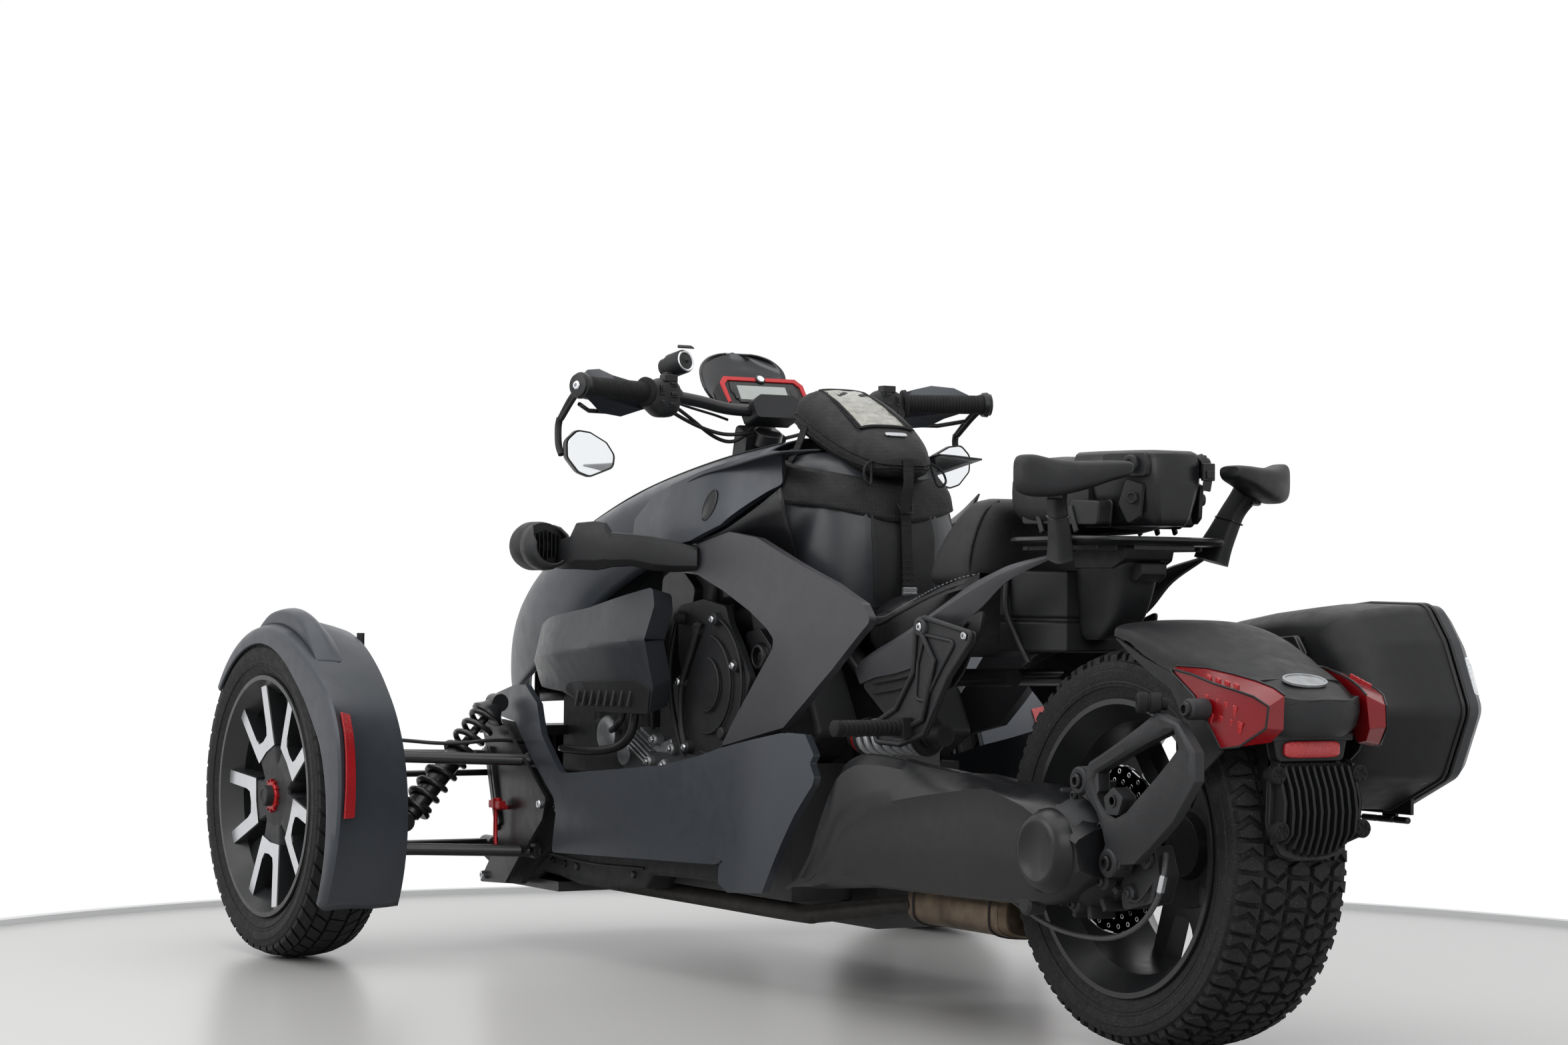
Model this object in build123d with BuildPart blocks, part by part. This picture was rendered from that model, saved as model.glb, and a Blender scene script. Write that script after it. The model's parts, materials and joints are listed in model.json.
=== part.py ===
"""Reverse trike: two steered front wheels, one driven rear wheel.

Millimetres. X runs to the rider's left, Y rearwards, Z up. The origin is on the floor, at the
middle of the machine's length and width. The body is drawn from mid-wheelbase, at y = MID.
"""
import os
from math import cos, radians, sin

from build123d import *

# Driving dimensions
LENGTH = 2352
WIDTH = 1509
WHEELBASE = 1709
FRONT_TYRE_R = 290
FRONT_TYRE_W = 145
REAR_TYRE_R = 295.5
REAR_TYRE_W = 205
RIM_R = 217
FRONT_RIM_W = 130
REAR_RIM_W = 194
SPOKE_TURN = 27
TRACK_X = WIDTH / 2 - FRONT_TYRE_W / 2 - 3

FRONT = FRONT_TYRE_R - LENGTH / 2
REAR = FRONT + WHEELBASE
MID = (FRONT + REAR) / 2
KINGPIN_X = 605
KINGPIN_Z = (192, 362)
RACK_Z = 300
SKIN = 4

os.makedirs("parts", exist_ok=True)


def side(x, y=MID):
    """Side view at x: the first axis runs rearwards from y, the second up."""
    return Plane(origin=(x, y, 0), x_dir=(0, 1, 0), z_dir=(1, 0, 0))


def station(y):
    """Front view at y from mid-wheelbase: the first axis runs left, the second up."""
    return Plane(origin=(0, MID + y, 0), x_dir=(1, 0, 0), z_dir=(0, -1, 0))


def plan(z):
    """Plan view at height z, drawn from mid-wheelbase."""
    return Plane(origin=(0, MID, z))


def at(x, y, z):
    return Vector(x, MID + y, z)


def along(start, end):
    """The plane at start whose normal points to end."""
    return Plane(origin=start, z_dir=end - start)


def rod(start, end, radius, mode=Mode.ADD):
    with BuildSketch(along(start, end)) as section:
        Circle(radius)
    extrude(section.sketch, amount=(end - start).length, mode=mode)


def prism(points, x_low, x_high, mode=Mode.ADD, corner=0):
    """A side-view outline extruded across the machine from x_low to x_high."""
    with BuildSketch(side(x_low)) as profile:
        with BuildLine():
            Polyline(*points, close=True)
        make_face()
        if corner:
            fillet(profile.vertices(), corner)
    extrude(profile.sketch, amount=x_high - x_low, mode=mode)


def plan_prism(points, z_low, z_high, mode=Mode.INTERSECT):
    """A plan-view outline of the left half, given as (x, y) and closed across the middle."""
    both = points + [(-x, y) for x, y in reversed(points) if x]
    with BuildSketch(plan(z_low)) as profile:
        with BuildLine():
            Polyline(*both, close=True)
        make_face()
    extrude(profile.sketch, amount=z_high - z_low, mode=mode)


def half_plan(points, z_low, z_high, mode=Mode.INTERSECT):
    """A plan-view outline on one side only."""
    with BuildSketch(plan(z_low)) as profile:
        with BuildLine():
            Polyline(*points, close=True)
        make_face()
    extrude(profile.sketch, amount=z_high - z_low, mode=mode)


def front_prism(points, y_low, y_high, mode=Mode.INTERSECT):
    """A front-view outline, given as (x, z), kept between two stations."""
    with BuildSketch(station(y_high)) as profile:
        with BuildLine():
            Polyline(*points, close=True)
        make_face()
    extrude(profile.sketch, amount=y_high - y_low, mode=mode)


def block(low, high, mode=Mode.ADD):
    centre = [(a + b) / 2 for a, b in zip(low, high)]
    with Locations(at(*centre)):
        Box(*[b - a for a, b in zip(low, high)], mode=mode)


def crowned(y, half, shoulder, crown, foot):
    """Cross-section at y: two upright sides and a crowned top."""
    with BuildSketch(station(y)) as section:
        with BuildLine():
            Polyline((half, foot), (half, shoulder))
            ThreePointArc((half, shoulder), (0, crown), (-half, shoulder))
            Polyline((-half, shoulder), (-half, foot), (half, foot))
        make_face()
    return section.sketch


def polygon_at(y, *points):
    """Cross-section at y through the given (x, z) corners."""
    with BuildSketch(station(y)) as section:
        with BuildLine():
            Polyline(*points, close=True)
        make_face()
    return section.sketch


def rounded_station(y, half, low, high, corner):
    """Rounded cross-section at y, from low to high."""
    with BuildSketch(station(y)) as section:
        with Locations((0, (low + high) / 2)):
            RectangleRounded(2 * half, high - low, corner)
    return section.sketch


def rounded_plan(z, half, front, rear, corner):
    """Rounded plan section at height z, from front to rear."""
    with BuildSketch(plan(z)) as section:
        with Locations((0, (front + rear) / 2)):
            RectangleRounded(2 * half, rear - front, corner)
    return section.sketch


def rounded_side(x, front, rear, low, high, corner):
    """Rounded side-view section at x, from front to rear and from low to high."""
    with BuildSketch(side(x)) as section:
        with Locations(((front + rear) / 2, (low + high) / 2)):
            RectangleRounded(rear - front, high - low, corner)
    return section.sketch


def plan_section(z, points):
    """Plan section at height z, given as the (x, y) corners of its left half."""
    with BuildSketch(plan(z)) as section:
        with BuildLine():
            Polyline(*points, *[(-x, y) for x, y in reversed(points) if x], close=True)
        make_face()
    return section.sketch


def save(piece, name):
    piece.part.label = name
    export_step(piece.part, f"parts/{name}.step")


def mirrored(piece):
    with BuildPart() as twin:
        mirror(piece.part, about=Plane.YZ)
    return twin


def save_pair(piece, name):
    """Like pieces left and right, kept together as two solids."""
    with BuildPart() as pair:
        add(piece.part)
        mirror(piece.part, about=Plane.YZ)
    save(pair, name)


def save_sides(piece, name):
    save(piece, f"{name}_left")
    save(mirrored(piece), f"{name}_right")


# ---- wheels -------------------------------------------------------------------------------


def tyre(x, y, radius, width, rim_width):
    """A tyre casing: bead, bulged side wall, shoulder and crown, hollow towards the rim."""
    half = width / 2
    seat = rim_width / 2 - 9
    grip = radius - 7
    with BuildPart() as casing:
        with BuildSketch(Plane(origin=(x, y, radius), x_dir=(1, 0, 0), z_dir=(0, -1, 0))):
            with BuildLine():
                Polyline((seat, RIM_R - 12), (seat, RIM_R + 4))
                ThreePointArc((seat, RIM_R + 4), (half, (RIM_R + grip) / 2), (half - 9, grip - 6))
                ThreePointArc((half - 9, grip - 6), (0, radius), (9 - half, grip - 6))
                ThreePointArc((9 - half, grip - 6), (-half, (RIM_R + grip) / 2), (-seat, RIM_R + 4))
                Polyline(
                    (-seat, RIM_R + 4), (-seat, RIM_R - 12), (12 - seat, RIM_R - 12),
                    (12 - half, (RIM_R + grip) / 2), (22 - half, grip - 14), (0, radius - 14),
                    (half - 22, grip - 14), (half - 12, (RIM_R + grip) / 2), (seat - 12, RIM_R - 12),
                    (seat, RIM_R - 12),
                )
            make_face()
        revolve(axis=Axis((x, y, radius), (1, 0, 0)))
    return casing


def rim(x, y, height, width, face):
    """A cast wheel: dropped-centre barrel, a hub disc, and U-shaped double spokes.

    face is where the spokes' outer face lies, measured outwards from the rim's middle.
    """
    half = width / 2
    axis = Axis((x, y, height), (1, 0, 0))
    with BuildPart() as wheel:
        with BuildSketch(Plane(origin=(x, y, height), x_dir=(1, 0, 0), z_dir=(0, -1, 0))):
            with BuildLine():
                Polyline(
                    (half, RIM_R), (half - 8, RIM_R), (half - 9, RIM_R - 13), (half - 24, RIM_R - 14),
                    (half - 34, RIM_R - 26), (34 - half, RIM_R - 26), (24 - half, RIM_R - 14),
                    (9 - half, RIM_R - 13), (8 - half, RIM_R), (-half, RIM_R), (-half, RIM_R - 10),
                    (26 - half, RIM_R - 22), (36 - half, RIM_R - 34), (half - 36, RIM_R - 34),
                    (half - 26, RIM_R - 22), (half, RIM_R - 10), close=True,
                )
            make_face()
        revolve(axis=axis)
        with BuildSketch(Plane(origin=(x + face, y, height), x_dir=(0, 1, 0), z_dir=(1, 0, 0))):
            Circle(72)
            with PolarLocations(0, 5, start_angle=SPOKE_TURN):
                with BuildLine():
                    Polyline((50, -40), (86, -44), (RIM_R - 26, -74), (RIM_R - 22, -50), (112, -26), (96, 0),
                             (112, 26), (RIM_R - 22, 50), (RIM_R - 26, 74), (86, 44), (50, 40), close=True)
                make_face()
        extrude(amount=-24)
    return wheel


def hub_and_disc(x, y, height, face, inner, disc_x, disc_r):
    """Centre hub from the spokes in to the bearing, and the brake disc it carries."""
    with BuildSketch(Plane(origin=(x + face, y, height), x_dir=(0, 1, 0), z_dir=(1, 0, 0))) as hub:
        Circle(42)
    extrude(hub.sketch, amount=inner - face)
    with BuildSketch(Plane(origin=(x + disc_x, y, height), x_dir=(0, 1, 0), z_dir=(1, 0, 0))) as disc:
        Circle(disc_r)
        with PolarLocations(disc_r - 34, 12):
            Circle(6, mode=Mode.SUBTRACT)
    extrude(disc.sketch, amount=5)


front_wheel = rim(TRACK_X, FRONT, FRONT_TYRE_R, FRONT_RIM_W, 44)
with front_wheel:
    hub_and_disc(TRACK_X, FRONT, FRONT_TYRE_R, 44, -34, -26, 135)
save_sides(front_wheel, "wheel_front")
save_sides(tyre(TRACK_X, FRONT, FRONT_TYRE_R, FRONT_TYRE_W, FRONT_RIM_W), "tyre_front")

rear_wheel = rim(0, REAR, REAR_TYRE_R, REAR_RIM_W, 70)
with rear_wheel:
    hub_and_disc(0, REAR, REAR_TYRE_R, 70, -112, -100, 125)
save(mirrored(rear_wheel), "wheel_rear")
save(tyre(0, REAR, REAR_TYRE_R, REAR_TYRE_W, REAR_RIM_W), "tyre_rear")


def coil_over(low, high, radius, turns):
    """Damper with its spring, turned as one ridged piece between two eyes."""
    length = (high - low).length
    start, pitch = 50, (length - 90) / turns
    ridge = [(radius, start - 8), (radius, start)]
    for turn in range(turns):
        z = start + turn * pitch
        ridge += [(radius - 9, z + 2), (radius, z + pitch / 2), (radius - 9, z + pitch - 2)]
    ridge += [(radius, length - 40), (radius, length - 30)]
    base = along(low, high)
    with BuildSketch(Plane(origin=low, x_dir=base.x_dir, z_dir=base.y_dir)) as section:
        with BuildLine():
            up = 1 if Vector(base.y_dir).cross(base.x_dir).dot(base.z_dir) > 0 else -1
            Polyline((0, 0), (14, 0), (14, up * (start - 8)), *[(r, up * z) for r, z in ridge],
                     (9, up * (length - 30)), (9, up * length), (0, up * length), close=True)
        make_face()
    revolve(section.sketch, axis=Axis(low, high - low))


# ---- front suspension ---------------------------------------------------------------------

ARM_INNER_X = 258
ARM_FEET_Y = (-935, -745)
BALL_Y = FRONT - MID

with BuildPart() as arms:
    for height, inner_height in zip(KINGPIN_Z, (185, 352)):
        ball = at(KINGPIN_X, BALL_Y, height)
        with Locations(Location(ball)):
            Cylinder(17, 26)
        for foot_y in ARM_FEET_Y:
            foot = at(ARM_INNER_X, foot_y, inner_height)
            rod(foot, ball, 11)
            with Locations(Location(foot + Vector(-8, 0, 0), (90, 0, 0))):
                Cylinder(16, 44)
    half_plan([(300, -925), (560, -866), (560, -842), (300, -757)], 178, 184, mode=Mode.ADD)
save_pair(arms, "suspension_arms")

with BuildPart() as shock:
    low, high = at(466, -858, 236), at(278, -858, 455)
    coil_over(low, high, 30, 7)
save_pair(shock, "front_shocks")

with BuildPart() as knuckle:
    prism([(BALL_Y - 34, 214), (BALL_Y + 34, 214), (BALL_Y + 46, 290), (BALL_Y + 26, 340),
           (BALL_Y - 26, 340), (BALL_Y - 46, 290)], 590, 628, corner=10)
    rod(at(620, BALL_Y, 290), at(639, BALL_Y, 290), 44)
    rod(at(604, BALL_Y - 20, RACK_Z), at(585, BALL_Y - 86, RACK_Z), 11)
    block((588, BALL_Y - 96, 331), (600, BALL_Y + 96, 344))
    for strut_y in (BALL_Y - 86, BALL_Y + 86):
        rod(at(594, strut_y, 338), at(594, strut_y, 585), 7)
    block((628, BALL_Y + 48, 262), (648, BALL_Y + 150, 318))
    block((600, BALL_Y + 30, 270), (636, BALL_Y + 90, 310))
    block((636, BALL_Y + 92, 244), (680, BALL_Y + 152, 336))
    with BuildSketch(side(647, FRONT)) as slot:
        with Locations((0, 290)):
            Circle(141)
    extrude(slot.sketch, amount=17, mode=Mode.SUBTRACT)
save_sides(knuckle, "knuckle")

FENDER_R = 328
with BuildPart() as fender:
    start = -32
    with BuildSketch(Plane(origin=(0, FRONT, FRONT_TYRE_R), x_dir=(1, 0, 0),
                           z_dir=(0, -sin(radians(start)), cos(radians(start))))) as section:
        with BuildLine():
            Polyline((600, FENDER_R - 8), (680, FENDER_R + 1), (736, FENDER_R - 2), (751, FENDER_R - 16),
                     (754.5, FENDER_R - 44), (750.5, FENDER_R - 44), (747, FENDER_R - 18),
                     (734, FENDER_R - 6), (680, FENDER_R - 3), (600, FENDER_R - 12), close=True)
        make_face()
    revolve(section.sketch, axis=Axis((0, FRONT, FRONT_TYRE_R), (1, 0, 0)), revolution_arc=169)
    prism([(-960, 606), (-890, 624), (-760, 620), (-700, 588), (-716, 570), (-860, 606)], 640, 720)
save_sides(fender, "front_fender")

with BuildPart() as tie_rod:
    ball = at(585, BALL_Y - 86, RACK_Z + 20)
    rod(at(182, BALL_Y - 86, RACK_Z + 20), ball, 6)
    with Locations(Location(ball)):
        Cylinder(13, 14)
save_sides(tie_rod, "tie_rod")

# ---- chassis ------------------------------------------------------------------------------

with BuildPart() as plates:
    prism([(-900, 430), (-784, 418), (-600, 288), (-604, 250), (-694, 185), (-763, 118), (-896, 109),
           (-945, 109), (-960, 160), (-960, 430)], 226, 234, corner=8)
    for low, high in (((-925, 150), (-905, 270)), ((-860, 250), (-840, 380)), ((-790, 250), (-770, 370))):
        block((220, low[0], low[1]), (240, high[0], high[1]), mode=Mode.SUBTRACT)
    block((220, -975, 304), (240, -905, 336), mode=Mode.SUBTRACT)
save_pair(plates, "suspension_plates")

with BuildPart() as main_frame:
    block((-224, -940, 112), (224, -700, 130))
    block((-224, -900, 396), (224, -800, 414))
    block((-60, -700, 112), (60, 140, 150))
    block((-120, -940, 130), (120, -925, 396))
    block((-120, -720, 130), (120, -705, 396))
    prism([(60, 150), (140, 150), (140, 440), (60, 440)], -60, 60)
save(main_frame, "main_frame")

with BuildPart() as backbone:
    for hand in (-1, 1):
        foot, neck = at(hand * 70, -850, 432), at(hand * 50, -300, 800)
        hip, tail = at(hand * 60, 110, 525), at(hand * 60, 530, 535)
        rod(foot, neck, 16)
        rod(neck, hip, 16)
        rod(hip, tail, 14)
        for joint in (neck, hip):
            with Locations(joint):
                Sphere(16)
    for cross_y, cross_z, half in ((-300, 800, 50), (110, 525, 60), (500, 534, 60)):
        rod(at(-half, cross_y, cross_z), at(half, cross_y, cross_z), 12)
save(backbone, "backbone")

with BuildPart() as engine:
    block((-165, -560, 152), (165, 40, 380))
    block((-140, -470, 380), (140, -120, 560))
save(engine, "engine_block")

with BuildPart() as cvt:
    prism([(-139, 664), (-131, 621), (-273, 619), (-285, 509), (-275, 384), (-170, 388), (-56, 518),
           (-100, 610)], 176, 200, corner=6)
    prism([(-122, 574), (-105, 603), (-44, 586), (-29, 568), (-71, 528), (-107, 527), (-125, 549)], 140, 172,
          corner=5)
    rod(at(168, -62, 556), at(176, -56, 556), 19)
    rod(at(165, -62, 556), at(178, -54, 556), 14, mode=Mode.SUBTRACT)
save_pair(cvt, "engine_covers")

with BuildPart() as radiator:
    block((-190, -1010, 180), (190, -965, 400))
    for bar in range(9):
        block((-196, -1018, 190 + bar * 24), (196, -1010, 198 + bar * 24))
save(radiator, "radiator")

with BuildPart() as skid:
    prism([(-1060, 160), (-1050, 150), (-960, 100), (-100, 100), (-100, 106), (-956, 106), (-1050, 160)],
          -170, 170)
save(skid, "skid_plate")

# ---- body panels --------------------------------------------------------------------------


HOOD = ((-96, 158, 880, 932, 800), (-384, 192, 826, 898, 720), (-620, 236, 735, 842, 600),
        (-850, 226, 640, 756, 500), (-1010, 175, 550, 655, 450), (-1088, 96, 500, 560, 458))
with BuildPart() as hood:
    loft([crowned(*row) for row in HOOD])
    loft([crowned(y + (y == -96) + SKIN * (y == -1088), half - SKIN, shoulder - SKIN, crown - SKIN, foot - 1)
          for y, half, shoulder, crown, foot in HOOD], mode=Mode.SUBTRACT)
    rod(at(0, -330 - 110 * 0.445, 850), at(0, -330, 960), 46, mode=Mode.SUBTRACT)
save(hood, "nose_hood")

with BuildPart() as cowl:
    prism([(-443, 760), (-440, 790), (-376, 832), (-309, 847), (-201, 870), (1, 896), (57, 905), (79, 843),
           (44, 833), (-25, 803), (-132, 766), (-289, 741), (-420, 745)], 209, 228)
    chamfer(cowl.faces().sort_by(Axis.X)[-1].edges(), 7)
    half_plan([(200, -460), (212, -460), (218, -400), (228, -300), (228, -60), (214, 90), (200, 90)],
              730, 915)
save_pair(cowl, "cowl_sides")

with BuildPart() as arch:
    prism([(-256, 735), (-98, 762), (-4, 754), (123, 714), (231, 679), (304, 647), (324, 620), (286, 585),
           (234, 540), (162, 486), (101, 443), (-105, 404), (-55, 455), (15, 524), (64, 571), (67, 588),
           (42, 606), (-16, 633), (-103, 665), (-201, 694), (-317, 698)], 176, 222)
    chamfer(arch.faces().sort_by(Axis.X)[-1].edges(), 8)
    half_plan([(120, -320), (196, -320), (222, -200), (222, 60), (196, 330), (120, 330)], 400, 765)
    prism([(-240, 728), (-98, 752), (-4, 744), (118, 705), (226, 669), (296, 638), (308, 622), (276, 590),
           (224, 546), (154, 493), (96, 453), (-90, 418), (-48, 448), (22, 517), (72, 566), (77, 592),
           (46, 615), (-12, 643), (-100, 675), (-199, 704), (-310, 706)], 170, 204, mode=Mode.SUBTRACT)
save_pair(arch, "arch_panels")

with BuildPart() as sill:
    prism([(-668, 188), (-312, 204), (-31, 212), (-24, 180), (44, 171), (121, 180), (225, 364), (154, 432),
           (-18, 402), (-98, 388), (-217, 368), (-430, 349), (-590, 338), (-687, 402), (-738, 459),
           (-796, 486), (-949, 440), (-940, 432), (-784, 425), (-590, 292), (-598, 250)], 226, 276)
    chamfer(sill.faces().sort_by(Axis.X)[-1].edges(), 5)
    half_plan([(235, -960), (250, -960), (270, -800), (276, -500), (276, -100), (258, 60), (240, 230),
               (170, 230), (170, 60), (246, 40), (246, -590), (235, -700)], 150, 500)
save_pair(sill, "sills")

with BuildPart() as pod:
    prism([(-702, 482), (-712, 601), (-642, 616), (-471, 635), (-264, 672), (-250, 640), (-262, 500),
           (-292, 450), (-466, 450), (-515, 465), (-576, 482)], 242, 306)
    chamfer(pod.faces().sort_by(Axis.X)[-1].edges(), 16)
    half_plan([(238, -720), (268, -720), (304, -600), (306, -420), (290, -240), (238, -240)], 440, 680)
    for slat in range(6):
        prism([(-500 + slat * 34, 444), (-482 + slat * 34, 444), (-470 + slat * 34, 470),
               (-488 + slat * 34, 470)], 286, 320, mode=Mode.SUBTRACT)
save_pair(pod, "side_pods")

LAMP_X, LAMP_Z = 380, 743
with BuildPart() as lamp:
    rod(at(LAMP_X, -520, LAMP_Z), at(LAMP_X, -462, LAMP_Z), 43)
    rod(at(LAMP_X, -500, LAMP_Z + 10), at(LAMP_X, -455, LAMP_Z + 10), 34, mode=Mode.SUBTRACT)
    for fin in range(4):
        block((LAMP_X - 26 + fin * 15, -500, LAMP_Z - 36), (LAMP_X - 23 + fin * 15, -470, LAMP_Z + 36))
    with BuildSketch(side(LAMP_X - 34)) as section:
        with Locations((-478, LAMP_Z - 8)):
            Ellipse(15, 30)
    with BuildSketch(side(300)) as middle:
        with Locations((-380, 732)):
            Ellipse(34, 24)
    with BuildSketch(side(230)) as root:
        with Locations((-235, 722)):
            Ellipse(52, 21)
    loft([section.sketch, middle.sketch, root.sketch])
save_pair(lamp, "headlamp_pods")

with BuildPart() as lens:
    with BuildSketch(station(-521)) as section:
        with Locations((LAMP_X, LAMP_Z)):
            Circle(41)
    extrude(section.sketch, amount=8, taper=20)
save_pair(lens, "headlamp_lenses")

with BuildPart() as console:
    prism([(-94, 872), (-60, 900), (50, 898), (95, 850), (118, 770), (124, 700), (118, 628), (60, 612),
           (20, 640), (-40, 720), (-94, 780)], -150, 150)
    plan_prism([(0, 128), (72, 120), (118, 88), (142, 30), (146, -94), (0, -94)], 600, 905)
    front_prism([(-110, 905), (110, 905), (136, 850), (150, 740), (150, 600), (-150, 600), (-150, 740),
                 (-136, 850)], -100, 130)
save(console, "console_cover")

with BuildPart() as bag:
    prism([(-236, 942), (-238, 975), (-166, 1012), (-21, 1006), (150, 904), (160, 868), (120, 882),
           (60, 906), (-90, 940)], -130, 130)
    plan_prism([(0, -240), (58, -238), (122, -176), (130, -60), (130, 70), (104, 160), (0, 160)], 850, 1020)
    front_prism([(-92, 1020), (92, 1020), (126, 968), (130, 930), (112, 850), (-112, 850), (-130, 930),
                 (-126, 968)], -245, 165)
save(bag, "tank_bag")

# ---- seats and tail -----------------------------------------------------------------------

SEAT = ((132, 60, 618, 634, 592), (200, 106, 604, 630, 566), (300, 146, 612, 642, 562),
        (400, 158, 634, 666, 588), (470, 152, 664, 688, 630), (520, 128, 690, 702, 676))
LUMBAR = ((676, 128, 356, 520, 34), (740, 124, 392, 524, 34), (790, 110, 432, 526, 30),
          (812, 92, 470, 520, 22))
with BuildPart() as seat:
    loft([crowned(*row) for row in SEAT])
    loft([rounded_plan(*row) for row in LUMBAR])
save(seat, "rider_seat")

BOLSTER = ((536, 66, 794, 850, 20), (562, 88, 768, 868, 26), (630, 100, 756, 874, 28),
           (700, 96, 754, 876, 28), (740, 80, 762, 875, 26))
REAR_BLOCK = ((766, ((0, 700), (66, 706), (48, 790), (28, 848), (0, 848))),
              (840, ((0, 700), (80, 706), (70, 790), (46, 862), (0, 862))),
              (877, ((0, 700), (76, 706), (66, 790), (42, 858), (0, 858))))
with BuildPart() as pillion:
    loft([plan_section(*row) for row in REAR_BLOCK], ruled=True)
    loft([rounded_station(*row) for row in BOLSTER])
save(pillion, "passenger_seat")

PADDLE = ((118, 822, 884, 834, 858, 9), (150, 806, 874, 816, 858, 14), (184, 792, 860, 806, 857, 16),
          (222, 782, 838, 806, 864, 18), (246, 790, 818, 822, 860, 12))
ARM_ROOT, ARM_TIP = at(150, 776, 726), at(180, 802, 818)
with BuildPart() as wing:
    loft([rounded_side(*row) for row in PADDLE])
    arm_plane = along(ARM_ROOT, ARM_TIP)
    with BuildSketch(arm_plane) as root:
        RectangleRounded(40, 24, 7)
    with BuildSketch(arm_plane.offset((ARM_TIP - ARM_ROOT).length)) as tip:
        RectangleRounded(30, 20, 7)
    loft([root.sketch, tip.sketch])
    block((60, 758, 716), (162, 794, 738))
with BuildPart() as rack:
    with BuildSketch(plan(738)) as plate:
        with BuildLine():
            Polyline((-60, 555), (60, 555), (90, 562), (140, 640), (146, 760), (110, 838))
            ThreePointArc((110, 838), (0, 850), (-110, 838))
            Polyline((-110, 838), (-146, 760), (-140, 640), (-90, 562), (-60, 555))
        make_face()
    extrude(plate.sketch, amount=12)
    add(wing.part)
    mirror(wing.part, about=Plane.YZ)
    prism([(640, 738), (790, 738), (790, 718), (778, 706), (772, 640), (710, 606), (668, 594), (664, 703),
           (640, 703)], -36, 36)
save(rack, "seat_rack")

with BuildPart() as blade:
    prism([(235, 546), (272, 566), (407, 614), (552, 676), (651, 708), (744, 720), (715, 698), (619, 657),
           (528, 610), (417, 550), (249, 517)], 160, 176)
    chamfer(blade.faces().sort_by(Axis.X)[-1].edges(), 4)
    prism([(249, 517), (317, 471), (432, 503), (513, 519), (543, 543), (590, 608), (613, 654), (523, 640),
           (411, 560), (286, 537)], 160, 168)
save_pair(blade, "seat_side_panels")

TANK_GROOVE = 622
TANK_PLAN = ((0, 524), (84, 524), (76, 590), (52, 663), (0, 663))
with BuildPart() as tank:
    loft([plan_section(576, TANK_PLAN), plan_section(TANK_GROOVE, TANK_PLAN)], ruled=True)
    loft([plan_section(TANK_GROOVE, [(x * 0.94, y) for x, y in TANK_PLAN]),
          plan_section(TANK_GROOVE + 8, [(x * 0.94, y) for x, y in TANK_PLAN])], ruled=True)
    loft([plan_section(TANK_GROOVE + 8, TANK_PLAN), plan_section(700, TANK_PLAN)], ruled=True)
save(tank, "fuel_tank")

with BuildPart() as peg:
    prism([(452, 600), (600, 600), (520, 520), (460, 436), (330, 430), (346, 470), (430, 500)], 178, 190,
          corner=5)
    prism([(476, 582), (556, 582), (506, 530), (470, 490), (448, 508)], 176, 192, mode=Mode.SUBTRACT)
    rod(at(190, 420, 455), at(330, 430, 455), 13)
save_pair(peg, "peg_brackets")

DRIVE_INNER = 112
DRIVE = ((150, 188, 196, 208), (222, 191, 214, 306), (281, 196, 250, 386), (352, 202, 308, 411),
         (424, 206, 335, 410), (510, 207, 347, 402), (741, 212, 366, 384), (861, 219, 340, 372),
         (930, 262, 322, 350))


def housing_section(y, foot, crease, top):
    """Cover section: sloping upper face, a long crease, a flat side and a tucked foot."""
    tuck = foot + (crease - foot) * 0.3
    return polygon_at(y, (DRIVE_INNER, top), (212, top), (248, crease), (244, tuck), (218, foot),
                      (DRIVE_INNER, foot))


with BuildPart() as drive:
    loft([housing_section(*row) for row in DRIVE], ruled=True)
    half_plan([(112, 94), (112, 520), (150, 560), (150, 700), (112, 760), (112, 960), (163, 960), (163, 905),
               (232, 900), (250, 700), (250, 300), (236, 94)], 170, 420)
    block((105, 90, 150), (180, 620, 430), mode=Mode.SUBTRACT)
    rod(at(228, BALL_Y + WHEELBASE, REAR_TYRE_R), at(250, BALL_Y + WHEELBASE, REAR_TYRE_R), 52)
    rod(at(117, BALL_Y + WHEELBASE, REAR_TYRE_R), at(160, BALL_Y + WHEELBASE, REAR_TYRE_R), 86)
    with BuildSketch(side(117)) as fins:
        with Locations((BALL_Y + WHEELBASE, REAR_TYRE_R)):
            with PolarLocations(88, 14):
                Rectangle(20, 9)
    extrude(fins.sketch, amount=38)
    block((62, 270, 230), (180, 330, 360))
save(drive, "drive_housing")

with BuildPart() as muffler:
    with BuildSketch(station(560)) as section:
        with Locations((-33, 170)):
            RectangleRounded(274, 76, 34)
    extrude(section.sketch, amount=270)
    chamfer(muffler.faces().sort_by(Axis.Y)[-1].edges(), 8)
    rod(at(150, -640, 134), at(150, 60, 134), 16)
    rod(at(150, 60, 134), at(86, 300, 168), 16)
    with Locations(at(150, 60, 134)):
        Sphere(16)
save(muffler, "muffler")

with BuildPart() as shock:
    coil_over(at(100, 150, 430), at(100, 380, 440), 30, 7)
save(shock, "rear_shock")

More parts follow.
